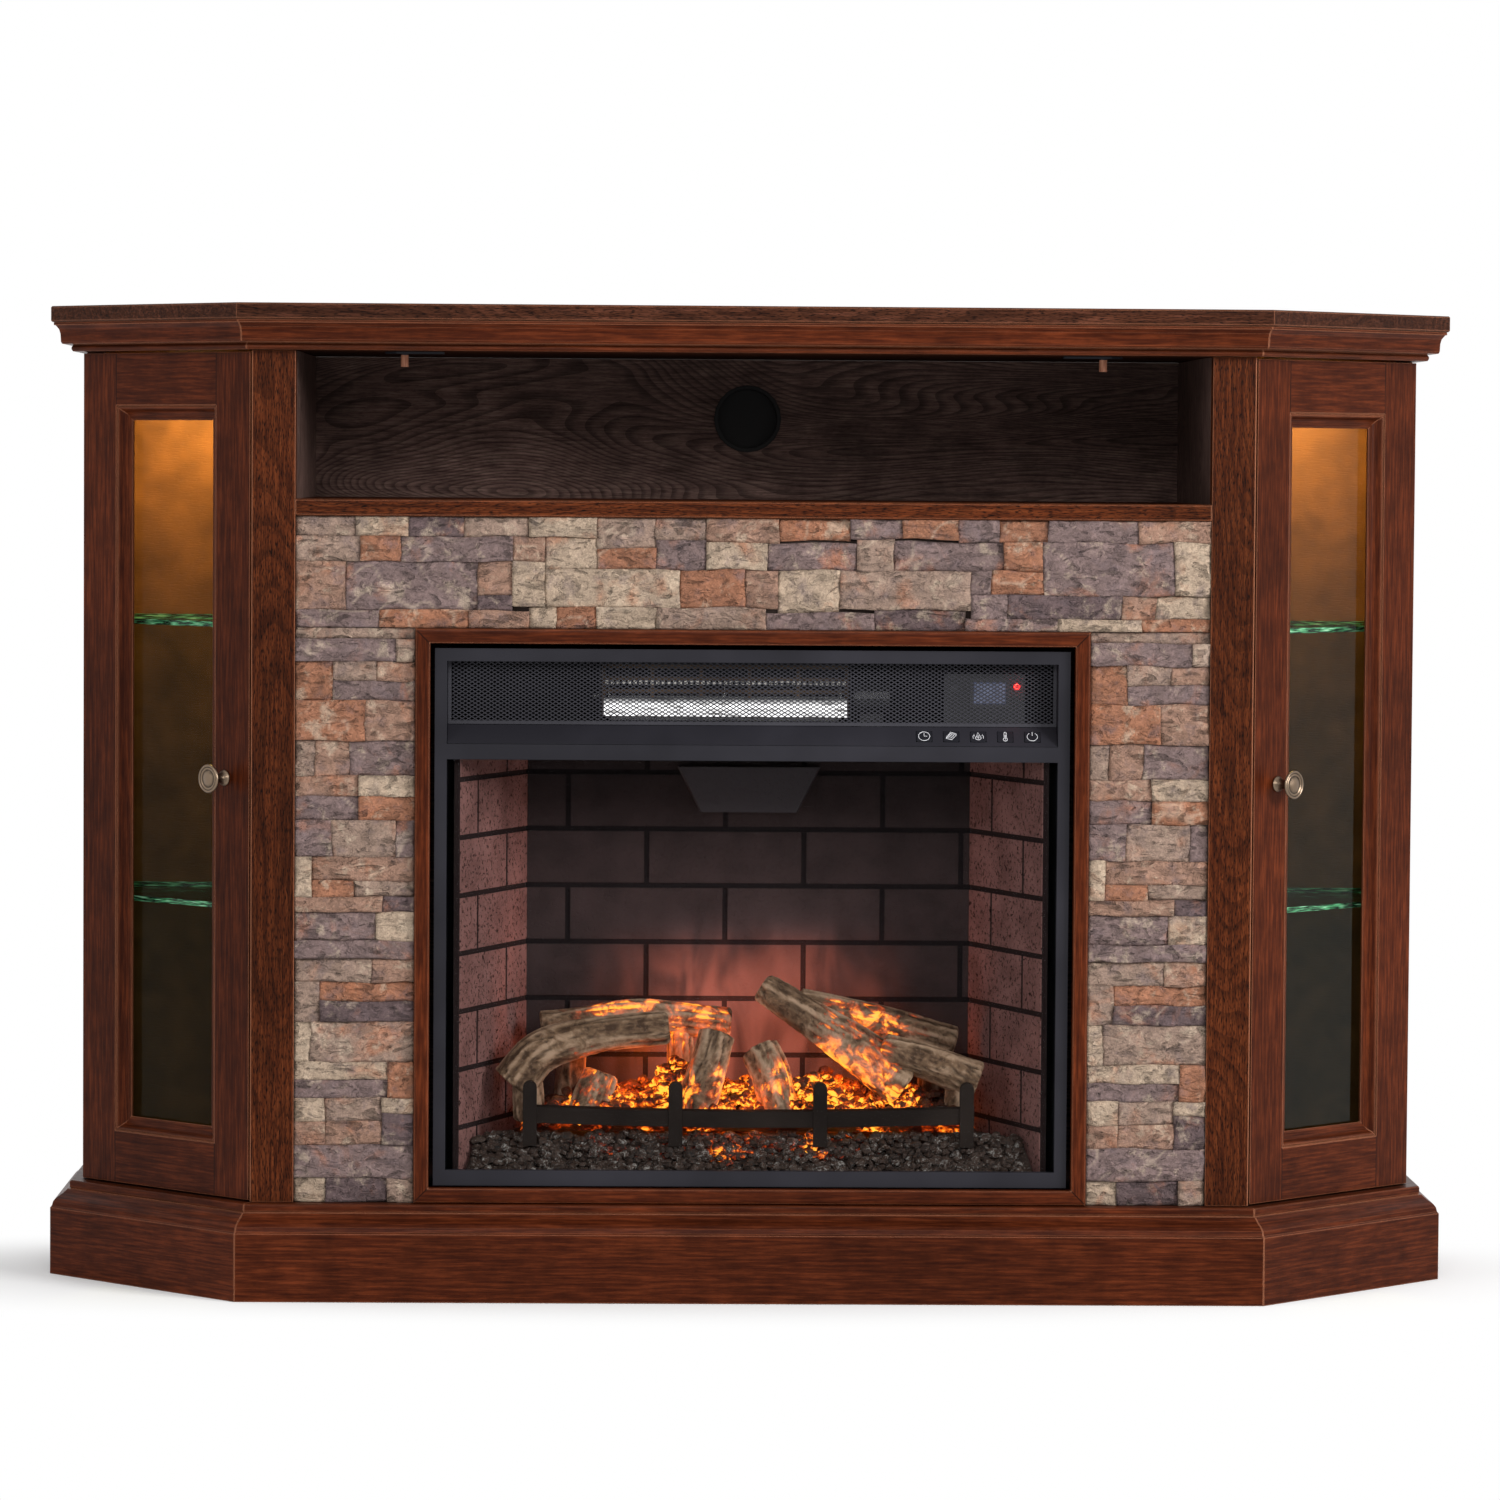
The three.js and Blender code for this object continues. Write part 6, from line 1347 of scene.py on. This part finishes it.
def brickFinish(look):
    material, tree = startMaterial("moulded fibre brick")
    place = addNode(tree, "ShaderNodeTexCoord").outputs["Object"]
    parts = addNode(tree, "ShaderNodeSeparateXYZ", None, {0: place})
    away = addNode(tree, "ShaderNodeMath", sizeOf, {0: parts.outputs["X"]})
    onBack = addNode(tree, "ShaderNodeMath", above,
                     {0: parts.outputs["Y"], 1: plan["fireboxBack"] - 0.0024})
    # distance in front of a splayed side wall's mortar plane
    across, ahead = look["sideNormal"]
    awayPart = addNode(tree, "ShaderNodeMath", timesPlus,
                       {0: away, 1: -across, 2: across * plan["fireboxHalf"] + ahead * plan["fireboxFront"]})
    proud = addNode(tree, "ShaderNodeMath", timesPlus, {0: parts.outputs["Y"], 1: -ahead, 2: awayPart})
    sideMortar = addNode(tree, "ShaderNodeMath", below, {0: proud, 1: look["joint"]})
    backMortar = addNode(tree, "ShaderNodeMath", above,
                         {0: parts.outputs["Y"], 1: plan["fireboxBack"] - look["joint"]})
    cloud = addNode(tree, "ShaderNodeTexNoise", None,
                    {"Vector": place, "Scale": 24.0, "Detail": 5.0, "Roughness": 0.6})
    pits = addNode(tree, "ShaderNodeTexNoise", None, {"Vector": place, "Scale": 1 / look["pit"],
                                                      "Detail": 3.0, "Roughness": 0.65, "Distortion": 0.6})
    holes = addNode(tree, "ShaderNodeMapRange", None, {"Value": pits, "From Min": 0.36, "From Max": 0.46})
    side = addNode(tree, "ShaderNodeValToRGB", {"stops": [(0.35, hexColour(look["sideDark"])),
                                                          (0.65, hexColour(look["side"]))]}, {0: cloud})
    # the pits are painted dark: painted shade in them
    side = addNode(tree, "ShaderNodeMix", colourMix,
                   {0: holes, 6: hexColour("#34201c"), 7: side}).outputs[2]
    side = addNode(tree, "ShaderNodeMix", colourMix,
                   {0: sideMortar, 6: side, 7: hexColour(look["mortar"])}).outputs[2]
    back = addNode(tree, "ShaderNodeValToRGB", {"stops": [(0.35, hexColour(look["backDark"])),
                                                          (0.65, hexColour(look["back"]))]}, {0: cloud})
    back = addNode(tree, "ShaderNodeMix", colourMix,
                   {0: backMortar, 6: back.outputs[0], 7: hexColour(look["backMortar"])}).outputs[2]
    # the back wall is darker towards the top
    darkerUpward = addNode(tree, "ShaderNodeMapRange", softly, {"Value": parts.outputs["Z"], "From Min": 0.36,
                                                         "From Max": 0.50, "To Min": 1.0, "To Max": 0.45})
    back = addNode(tree, "ShaderNodeMix", colourTimes, {0: 1.0, 6: back, 7: darkerUpward}).outputs[2]
    colour = addNode(tree, "ShaderNodeMix", colourMix, {0: onBack, 6: side, 7: back}).outputs[2]
    # the sheet hood hangs in front of the back wall, between the side walls
    inside = addNode(tree, "ShaderNodeMath", below, {0: away, 1: look["hoodHalf"]})
    high = addNode(tree, "ShaderNodeMath", above, {0: parts.outputs["Z"], 1: look["hoodFoot"]})
    proudOfBack = addNode(tree, "ShaderNodeMath", minus, {0: 1.0, 1: onBack})
    hood = addNode(tree, "ShaderNodeMath", times, {0: inside, 1: high})
    hood = addNode(tree, "ShaderNodeMath", times, {0: hood, 1: proudOfBack})
    colour = addNode(tree, "ShaderNodeMix", colourMix,
                     {0: hood, 6: colour, 7: hexColour(look["hood"])}).outputs[2]
    glow, strength = flameGlow(tree, look, parts, onBack, backMortar)
    bump = addNode(tree, "ShaderNodeBump", None, {"Strength": 0.5, "Distance": 0.0012, "Height": holes})
    surface(tree, addNode(tree, "ShaderNodeBsdfPrincipled", None,
                          {"Base Color": colour, "Roughness": 0.85, "Specular IOR Level": 0.15,
                           "Normal": bump, "Emission Color": glow, "Emission Strength": strength}))
    return material


def flameGlow(tree, look, parts, onBack, backMortar):
    # soft tongues of light that rise behind the logs and thin out upwards
    tongues = addNode(tree, "ShaderNodeCombineXYZ", None,
                      {0: parts.outputs["X"], 1: 0.0, 2: parts.outputs["Z"]})
    stretched = addNode(tree, "ShaderNodeMapping", None, {"Vector": tongues, "Scale": (1.0, 1.0, 0.30)})
    wisp = addNode(tree, "ShaderNodeTexNoise", None,
                   {"Vector": stretched, "Scale": 26.0, "Detail": 2.0, "Roughness": 0.5, "Distortion": 0.9})
    wisp = addNode(tree, "ShaderNodeMapRange", softly,
                   {"Value": wisp, "From Min": 0.32, "From Max": 0.66, "To Min": 0.25, "To Max": 1.0})
    rise = addNode(tree, "ShaderNodeMapRange", softly,
                   {"Value": parts.outputs["Z"], "From Min": look["flameHead"],
                    "From Max": look["flameFoot"]})
    away = addNode(tree, "ShaderNodeMath", sizeOf, {0: parts.outputs["X"]})
    spread = addNode(tree, "ShaderNodeMapRange", softly,
                     {"Value": away, "From Min": look["flameHalf"], "From Max": 0.02})
    rise = addNode(tree, "ShaderNodeMath", {"operation": "POWER"}, {0: rise, 1: 1.6})
    flame = addNode(tree, "ShaderNodeMath", times, {0: wisp, 1: rise})
    flame = addNode(tree, "ShaderNodeMath", times, {0: flame, 1: spread})
    flame = addNode(tree, "ShaderNodeMath", times, {0: flame, 1: onBack})
    bare = addNode(tree, "ShaderNodeMapRange", None, {"Value": backMortar, "To Min": 1.0, "To Max": 0.18})
    flame = addNode(tree, "ShaderNodeMath", times, {0: flame, 1: bare})
    # towards its top the glow turns grey: a painted reflection in the glass
    colour = addNode(tree, "ShaderNodeValToRGB", {"stops": [(0.0, hexColour(look["glassReflection"])),
                                                            (0.45, hexColour(look["flame"]))]}, {0: rise})
    strength = addNode(tree, "ShaderNodeMath", times, {0: flame, 1: look["flameStrength"]})
    return colour, strength


dress(brickFinish(brickLook), "brick_liner")
print("brick dressed")


# logs, coals and embers

# where the light from below comes through: x, y, z, reach, strength
glowSpots = [
    (-0.118, -0.100, 0.185, 0.034, 1.0), (-0.060, -0.112, 0.182, 0.030, 1.1),
    (-0.082, -0.080, 0.208, 0.026, 1.3),
    (-0.020, -0.095, 0.175, 0.030, 0.9), (0.000, -0.108, 0.178, 0.030, 1.1),
    (0.052, -0.105, 0.188, 0.034, 1.2),
    (0.100, -0.112, 0.178, 0.036, 1.1), (0.140, -0.095, 0.182, 0.028, 1.0),
    (-0.165, -0.110, 0.172, 0.024, 0.9),
    (-0.140, -0.046, 0.254, 0.040, 0.9), (-0.085, -0.046, 0.258, 0.040, 1.0),
    (-0.035, -0.052, 0.250, 0.030, 0.9),
    (0.085, -0.060, 0.252, 0.036, 1.0), (0.135, -0.062, 0.246, 0.036, 1.0),
    (0.000, -0.030, 0.200, 0.040, 0.5),
    (0.078, -0.104, 0.222, 0.032, 0.9), (0.112, -0.112, 0.204, 0.026, 1.0),
    (-0.150, -0.108, 0.214, 0.022, 0.7),
    (-0.034, -0.118, 0.196, 0.020, 0.8), (0.030, -0.118, 0.196, 0.022, 0.9),
]


def glowAt(point):
    total = 0.0
    for x, y, z, reach, strength in glowSpots:
        gap = (point - Vector((x, y, z))).length / reach
        total += strength * math.exp(-gap * gap)
    return min(total, 1.3)


def rise(height):
    return plan["fireboxFloor"] + height


logFront, logBack = -0.0994, -0.0434
logMiddle = (logFront + logBack) / 2

# path of x, y, height over the firebox floor, then start and end radius, and seed
logs = [
    ([(-0.221, logFront, 0.102), (-0.196, logFront, 0.132), (-0.146, logFront, 0.148),
      (-0.075, logFront, 0.156)],
     0.022, 0.015, 5),
    ([(-0.196, logBack, 0.148), (-0.110, logBack + 0.002, 0.160), (-0.016, logBack, 0.154)], 0.017, 0.016,
     9),
    ([(0.012, logMiddle, 0.193), (0.060, logMiddle - 0.008, 0.162), (0.100, logFront + 0.008, 0.136),
      (0.148, logFront + 0.004, 0.102)], 0.014, 0.024, 13),
    ([(0.046, logBack, 0.170), (0.130, logBack - 0.002, 0.154), (0.196, logBack, 0.136)], 0.019, 0.017, 17),
    ([(0.124, logFront + 0.002, 0.136), (0.176, logFront - 0.004, 0.122), (0.216, logFront - 0.008, 0.108)],
     0.016, 0.018, 23),
    ([(-0.054, logFront - 0.005, 0.070), (-0.040, logFront - 0.004, 0.115),
      (-0.030, logFront + 0.008, 0.150)],
     0.019, 0.017, 31),
    ([(0.030, logFront - 0.006, 0.070), (0.022, logFront - 0.002, 0.110), (0.010, logFront + 0.010, 0.136)],
     0.020, 0.017, 37),
    ([(-0.154, logFront - 0.004, 0.070), (-0.138, logFront, 0.114)], 0.020, 0.016, 41),
    ([(-0.170, logBack, 0.068), (-0.166, logBack, 0.146)], 0.015, 0.012, 43),
    ([(-0.060, logBack, 0.068), (-0.064, logBack, 0.150)], 0.015, 0.012, 47),
    ([(0.178, logBack + 0.002, 0.068), (0.172, logBack, 0.136)], 0.016, 0.012, 53),
    ([(-0.206, logFront + 0.004, 0.068), (-0.208, logFront + 0.002, 0.106)], 0.015, 0.014, 59),
    ([(0.196, logFront, 0.068), (0.198, logFront - 0.004, 0.106)], 0.015, 0.012, 61),
]

# cast resin painted as weathered wood: pale grey ridges, near-black cracks, scorched where it glows
barkLook = {
    "pale": "#b0937a",
    "ridge": "#7d634d",
    "crack": "#2a1c13",
    "cut": "#b0936e",
    "scorch": "#493629",
    "around": 56,
    "cellLength": 0.0022,
    "crackDepth": 0.0022,
}


def curvePoint(path, t):
    # point on a smooth curve through the path's points
    spans = len(path) - 1
    k = min(int(t * spans), spans - 1)
    f = t * spans - k
    p = [path[min(max(i, 0), spans)] for i in (k - 1, k, k + 1, k + 2)]
    return 0.5 * ((2 * p[1]) + (p[2] - p[0]) * f + (2 * p[0] - 5 * p[1] + 4 * p[2] - p[3]) * f * f
                  + (3 * p[1] - p[0] - 3 * p[2] + p[3]) * f ** 3)


def barkLog(path, startRadius, endRadius, seed, verts, faces, values):
    points = [Vector((x, y, rise(z))) for x, y, z in path]
    length = sum((points[i + 1] - points[i]).length for i in range(len(points) - 1))
    around = barkLook["around"]
    steps = max(10, round(length / barkLook["cellLength"]))
    start = len(verts)
    knot = Vector((seed * 1.7, seed * 0.9, seed * 0.3))
    for s in range(steps + 1):
        t = s / steps
        centre = curvePoint(points, t)
        along = (curvePoint(points, min(t + 0.01, 1)) - curvePoint(points, max(t - 0.01, 0))).normalized()
        across = Vector((0, 1, 0)).cross(along).normalized()
        third = along.cross(across)
        for i in range(around):
            angle = 2 * math.pi * i / around
            ca, sa = math.cos(angle), math.sin(angle)
            lump = 1 + 0.10 * noise.noise(Vector((ca * 1.3, sa * 1.3, t * length * 18)) + knot)
            radius = lerp(startRadius, endRadius, t) * lump
            twist = angle + t * 0.5
            grain = noise.noise(Vector((math.cos(twist) * radius * 210, math.sin(twist) * radius * 210,
                                        t * length * 15)) + knot)
            crack = max(0.0, 1 - abs(grain) / 0.10)
            broken = noise.noise(Vector((ca * 3, sa * 3, t * length * 75)) + knot)
            crack = max(crack * 0.85, max(0.0, 1 - abs(broken) / 0.03) * 0.35)
            fine = noise.noise(Vector((ca * radius * 900, sa * radius * 900, t * length * 260)) + knot)
            end = 1 - 0.22 * (1 - smoothStep(0, 0.004 / length, min(t, 1 - t)))
            radius = radius * end - crack * barkLook["crackDepth"] + grain * 0.0016 + fine * 0.0004
            point = centre + (across * ca + third * sa) * radius
            verts.append(tuple(point))
            values["crack"].append(crack)
            values["cut"].append(0.0)
            values["grain"].append(0.5 + 0.7 * grain + 0.25 * fine)
            values["glow"].append(glowAt(point) * (0.55 + 0.7 * crack))
    faces += gridFaces(around, steps + 1, start, True)
    for row, turned in ((start, True), (start + steps * around, False)):
        previous = [row + i for i in range(around)]
        middle = sum((Vector(verts[i]) for i in previous), Vector()) / around
        for ring, share in enumerate((0.8, 0.55, 0.3)):
            current = []
            for i in range(around):
                point = middle.lerp(Vector(verts[row + i]), share)
                split = noise.noise(Vector((math.cos(i / around * 6.28) * 4,
                                            math.sin(i / around * 6.28) * 4, seed)))
                current.append(len(verts))
                verts.append(tuple(point))
                values["crack"].append(max(0.0, 1 - abs(split) / 0.1) * 0.8 + (0.5 if ring == 1 else 0.0))
                values["cut"].append(1.0)
                values["grain"].append(0.5)
                values["glow"].append(glowAt(point) * 0.4)
            for i in range(around):
                j = (i + 1) % around
                quad = (previous[i], current[i], current[j], previous[j])
                faces.append(quad if not turned else quad[::-1])
            previous = current
        hub = len(verts)
        verts.append(tuple(middle))
        values["crack"].append(0.6)
        values["cut"].append(1.0)
        values["grain"].append(0.5)
        values["glow"].append(glowAt(middle) * 0.4)
        for i in range(around):
            j = (i + 1) % around
            faces.append((hub, previous[j], previous[i]) if not turned else (hub, previous[i], previous[j]))


def emberLight(tree, glow, pattern, low, high, strength):
    # glow colour from deep red through orange to yellow, with how strongly it shines
    heat = addNode(tree, "ShaderNodeMath", times, {0: glow, 1: pattern})
    heat = addNode(tree, "ShaderNodeMapRange", softly, {"Value": heat, "From Min": low, "From Max": high})
    colour = addNode(tree, "ShaderNodeValToRGB",
                     {"stops": [(0.0, hexColour("#7a1504")), (0.35, hexColour("#d8440a")),
                                (0.75, hexColour("#ff7c14")), (1.0, hexColour("#ffb43a"))]}, {0: heat})
    power = addNode(tree, "ShaderNodeMath", times, {0: heat, 1: strength})
    return colour, power


def barkFinish(look):
    material, tree = startMaterial("painted resin bark")
    place = addNode(tree, "ShaderNodeTexCoord").outputs["Object"]
    crack = addNode(tree, "ShaderNodeAttribute", {"attribute_name": "crack"}).outputs["Fac"]
    cut = addNode(tree, "ShaderNodeAttribute", {"attribute_name": "cut"}).outputs["Fac"]
    glow = addNode(tree, "ShaderNodeAttribute", {"attribute_name": "glow"}).outputs["Fac"]
    cloud = addNode(tree, "ShaderNodeTexNoise", None,
                    {"Vector": place, "Scale": 70.0, "Detail": 5.0, "Roughness": 0.7, "Distortion": 0.8})
    # the paint sits in streaks along the log, a little uneven
    fibre = addNode(tree, "ShaderNodeAttribute", {"attribute_name": "grain"}).outputs["Fac"]
    paint = addNode(tree, "ShaderNodeMix", None, {0: 0.36, 2: cloud, 3: fibre})
    bark = addNode(tree, "ShaderNodeValToRGB",
                   {"stops": [(0.34, hexColour(look["scorch"])), (0.48, hexColour(look["ridge"])),
                              (0.64, hexColour(look["pale"]))]}, {0: paint})
    colour = addNode(tree, "ShaderNodeMix", colourMix,
                     {0: cut, 6: bark.outputs[0], 7: hexColour(look["cut"])}).outputs[2]
    colour = addNode(tree, "ShaderNodeMix", colourMix,
                     {0: crack, 6: colour, 7: hexColour(look["crack"])}).outputs[2]
    pattern = addNode(tree, "ShaderNodeTexNoise", None,
                      {"Vector": place, "Scale": 52.0, "Detail": 5.0, "Roughness": 0.62, "Distortion": 0.6})
    pattern = addNode(tree, "ShaderNodeMapRange", None,
                      {"Value": pattern, "From Min": 0.36, "From Max": 0.60})
    light, power = emberLight(tree, glow, pattern, 0.16, 0.85, 1.5)
    bump = addNode(tree, "ShaderNodeBump", None, {"Strength": 0.5, "Distance": 0.0008, "Height": cloud})
    surface(tree, addNode(tree, "ShaderNodeBsdfPrincipled", None,
                          {"Base Color": colour, "Roughness": 0.8, "Specular IOR Level": 0.2,
                           "Normal": bump, "Emission Color": light, "Emission Strength": power}))
    return material


def layLogs():
    verts, faces = [], []
    values = {"crack": [], "cut": [], "grain": [], "glow": []}
    for log in logs:
        barkLog(*log, verts, faces, values)
    piece = makePiece("resin_logs", verts, faces, [barkFinish(barkLook)], values=values)
    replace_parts(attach(piece, "mantel"), "log_set")


layLogs()
print("logs laid")

# charcoal and coal lumps: matt black, ash grey on the ridges, glowing in the gaps
coalLook = {
    "black": "#120e0c",
    "brown": "#3d2d25",
    "ash": "#8d8a86",
    "lump": 0.0052,
    "spacing": 0.0056,
    "bedSpacing": 0.0062,
}


def coalLump(centre, size, chance, verts, faces, values, glow):
    # one angular pebble with its own shape
    rings = [(0.0, 1.0, 1), (0.62, 0.72, 6), (1.0, 0.05, 7), (0.7, -0.6, 6)]
    squeeze = Vector((chance.uniform(0.8, 1.5), chance.uniform(0.7, 1.1), chance.uniform(0.6, 1.0))) * size
    turn = Matrix.Rotation(chance.uniform(0, 6.28), 3, "Z") @ Matrix.Rotation(chance.uniform(-0.7, 0.7), 3,
                                                                              "X")
    rows = []
    for radius, height, count in rings:
        row = []
        for i in range(count):
            angle = 2 * math.pi * (i + chance.uniform(-0.25, 0.25)) / count
            wobble = chance.uniform(0.78, 1.2)
            spot = Vector((radius * math.cos(angle) * wobble, radius * math.sin(angle) * wobble,
                           height * chance.uniform(0.85, 1.1)))
            spot = turn @ Vector((spot.x * squeeze.x, spot.y * squeeze.y, spot.z * squeeze.z))
            row.append(len(verts))
            verts.append(tuple(centre + spot))
            values["glow"].append(glow * (0.35 if height > 0.5 else 1.0))
            values["crack"].append(0.0 if height > 0 else 0.7)
        rows.append(row)
    for upper, lower in zip(rows, rows[1:]):
        a, b = len(upper), len(lower)
        i = j = 0
        while i < (a if a > 1 else 0) or j < b:
            if a == 1 or (j < b and (j + 1) / b <= (i + 1) / a + 1e-9):
                faces.append((upper[i % a], lower[j % b], lower[(j + 1) % b]))
                j += 1
            else:
                faces.append((upper[i % a], lower[j % b], upper[(i + 1) % a]))
                i += 1


def coalFinish(name, look, low, high, strength):
    material, tree = startMaterial(name)
    place = addNode(tree, "ShaderNodeTexCoord").outputs["Object"]
    glow = addNode(tree, "ShaderNodeAttribute", {"attribute_name": "glow"}).outputs["Fac"]
    island = addNode(tree, "ShaderNodeNewGeometry").outputs["Random Per Island"]
    cloud = addNode(tree, "ShaderNodeTexNoise", None,
                    {"Vector": place, "Scale": 240.0, "Detail": 4.0, "Roughness": 0.75, "Distortion": 1.4})
    mixed = addNode(tree, "ShaderNodeMath", timesPlus, {0: island, 1: 0.16, 2: cloud})
    colour = addNode(tree, "ShaderNodeValToRGB",
                     {"stops": [(0.42, hexColour(look["black"])), (0.60, hexColour(look["brown"])),
                                (0.67, hexColour(look["brown"])), (0.73, hexColour(look["ash"]))]},
                     {0: mixed})
    pattern = addNode(tree, "ShaderNodeTexNoise", fourWay,
                      {"Vector": place, "W": 4.0, "Scale": 130.0, "Detail": 3.0, "Roughness": 0.7,
                       "Distortion": 0.8})
    pattern = addNode(tree, "ShaderNodeMapRange", None,
                      {"Value": pattern, "From Min": 0.36, "From Max": 0.66})
    light, power = emberLight(tree, glow, pattern, low, high, strength)
    bump = addNode(tree, "ShaderNodeBump", None, {"Strength": 0.6, "Distance": 0.0008, "Height": cloud})
    surface(tree, addNode(tree, "ShaderNodeBsdfPrincipled", None,
                          {"Base Color": colour, "Roughness": 0.7, "Specular IOR Level": 0.35,
                           "Normal": bump, "Emission Color": light, "Emission Strength": power}))
    return material


def bankHeight(x, y):
    # height over the firebox floor of the charcoal bank, from its foot at the glass to the bed
    foot, crest = plan["fireboxFront"] + 0.006, plan["fireboxFront"] + 0.034
    climb = smoothStep(foot - 0.004, crest, y)
    return lerp(0.026, 0.056, climb) + 0.004 * noise.noise(Vector((x * 40, y * 40, 2.0)))


def wallAt(y):
    # half width of the firebox at a depth
    return plan["fireboxHalf"] - plan["fireboxTaper"] * (y - plan["fireboxFront"])


def bankCoals(material):
    chance = random.Random(83)
    verts, faces, values = [], [], {"glow": [], "crack": []}
    front = plan["fireboxFront"]
    y = front + 0.004
    while y < front + 0.036:
        wall = wallAt(y) - 0.010
        x = -wall
        while x < wall:
            spot = Vector((x + chance.uniform(-0.0015, 0.0015), y + chance.uniform(-0.001, 0.001), 0))
            height = bankHeight(spot.x, spot.y) + chance.uniform(-0.002, 0.003)
            band = math.exp(-(((spot.x + 0.01) / 0.17) ** 4)) * smoothStep(0.006, 0.022, y - front)
            hot = band * (0.55 + 1.3 * noise.noise(Vector((spot.x * 22, spot.y * 50, 7.0))))
            size = coalLook["lump"] * chance.uniform(0.7, 1.25)
            spot.z = rise(height)
            coalLump(spot, size, chance, verts, faces, values, max(hot, 0.0))
            x += coalLook["spacing"] * chance.uniform(0.75, 1.25)
        y += coalLook["spacing"] * 0.72
    # below the lumps the bank itself fills the gaps
    columns, rows = 120, 14
    start = len(verts)
    for r in range(rows + 1):
        y = lerp(front + 0.0018, plan["fireboxBack"] - 0.005, (r / rows) ** 1.4)
        wall = wallAt(y) - 0.004
        for c in range(columns + 1):
            x = lerp(-wall, wall, c / columns)
            height = bankHeight(x, y) - 0.003
            verts.append((x, y, rise(0.004 if r == 0 else height)))
            values["glow"].append(0.5 * math.exp(-((x / 0.17) ** 4)) if r > 2 else 0.0)
            values["crack"].append(1.0)
    faces += gridFaces(columns + 1, rows + 1, start)
    piece = makePiece("charcoal_bank", verts, faces, [material], smooth=False, values=values)
    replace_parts(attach(piece, "mantel"), "ember_bed")


# the bed of glowing coals behind the bank
bedLook = {
    "half": 0.207,
    "front": -0.1165,
    "back": -0.030,
    "trayHalf": 0.214,
    "trayFront": -0.1174,
    "trayBack": -0.0254,
}


def bedCoals(look, material):
    chance = random.Random(71)
    verts, faces, values = [], [], {"glow": [], "crack": []}
    y = look["front"]
    while y < look["back"]:
        x = -look["half"]
        while x < look["half"]:
            spot = Vector((x + chance.uniform(-0.002, 0.002), y, rise(0.066 + chance.uniform(0, 0.014))))
            heap = math.exp(-((y + 0.078) / 0.030) ** 2) * math.exp(-((x / 0.19) ** 6))
            spot.z += heap * (0.026 + 0.030 * noise.noise(Vector((x * 24, y * 24, 9.0))))
            hot = glowAt(spot) * 0.9 + 0.16 + 0.75 * noise.noise(Vector((x * 38, y * 38, 5.0)))
            size = coalLook["lump"] * chance.uniform(0.8, 1.5)
            coalLump(spot, size, chance, verts, faces, values, min(max(hot, 0.0), 1.2))
            x += coalLook["bedSpacing"] * chance.uniform(0.75, 1.3)
        y += coalLook["bedSpacing"] * 0.8
    columns, rows = 60, 12
    start = len(verts)
    for r in range(rows + 1):
        for c in range(columns + 1):
            x = lerp(-look["trayHalf"], look["trayHalf"], c / columns)
            y = lerp(look["trayFront"], look["trayBack"], r / rows)
            verts.append((x, y, rise(0.0605 if r in (0, rows) or c in (0, columns) else 0.0670)))
            values["glow"].append(max(0.0, 0.45 + 1.1 * noise.noise(Vector((x * 30, y * 45, 1.0)))))
            values["crack"].append(1.0)
    faces += gridFaces(columns + 1, rows + 1, start)
    piece = makePiece("glowing_coals", verts, faces, [material], smooth=False, values=values)
    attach(piece, "mantel")


bankCoals(coalFinish("charcoal with ash", coalLook, 0.18, 0.8, 1.5))
hotLook = dict(coalLook, black="#1c0e08", brown="#4a2412", ash="#7a4a26")
bedCoals(bedLook, coalFinish("glowing coals", hotLook, 0.10, 0.75, 1.9))

emberLamps = {
    "spots": [(-0.110, -0.085, 0.200, 0.16), (0.000, -0.080, 0.205, 0.16), (0.090, -0.085, 0.200, 0.16),
              (-0.100, -0.020, 0.225, 0.12), (0.100, -0.020, 0.225, 0.12), (0.0, -0.125, 0.172, 0.06)],
    "colour": "#ff7a1a",
    "radius": 0.012,
}


def lightEmbers(look):
    for x, y, z, watts in look["spots"]:
        glowLamp("ember_lamp", (x, y, z), watts, look["colour"], look["radius"])


lightEmbers(emberLamps)
print("embers lit")


# how the colours are shown

view = bpy.context.scene.view_settings
view.view_transform = "Standard"
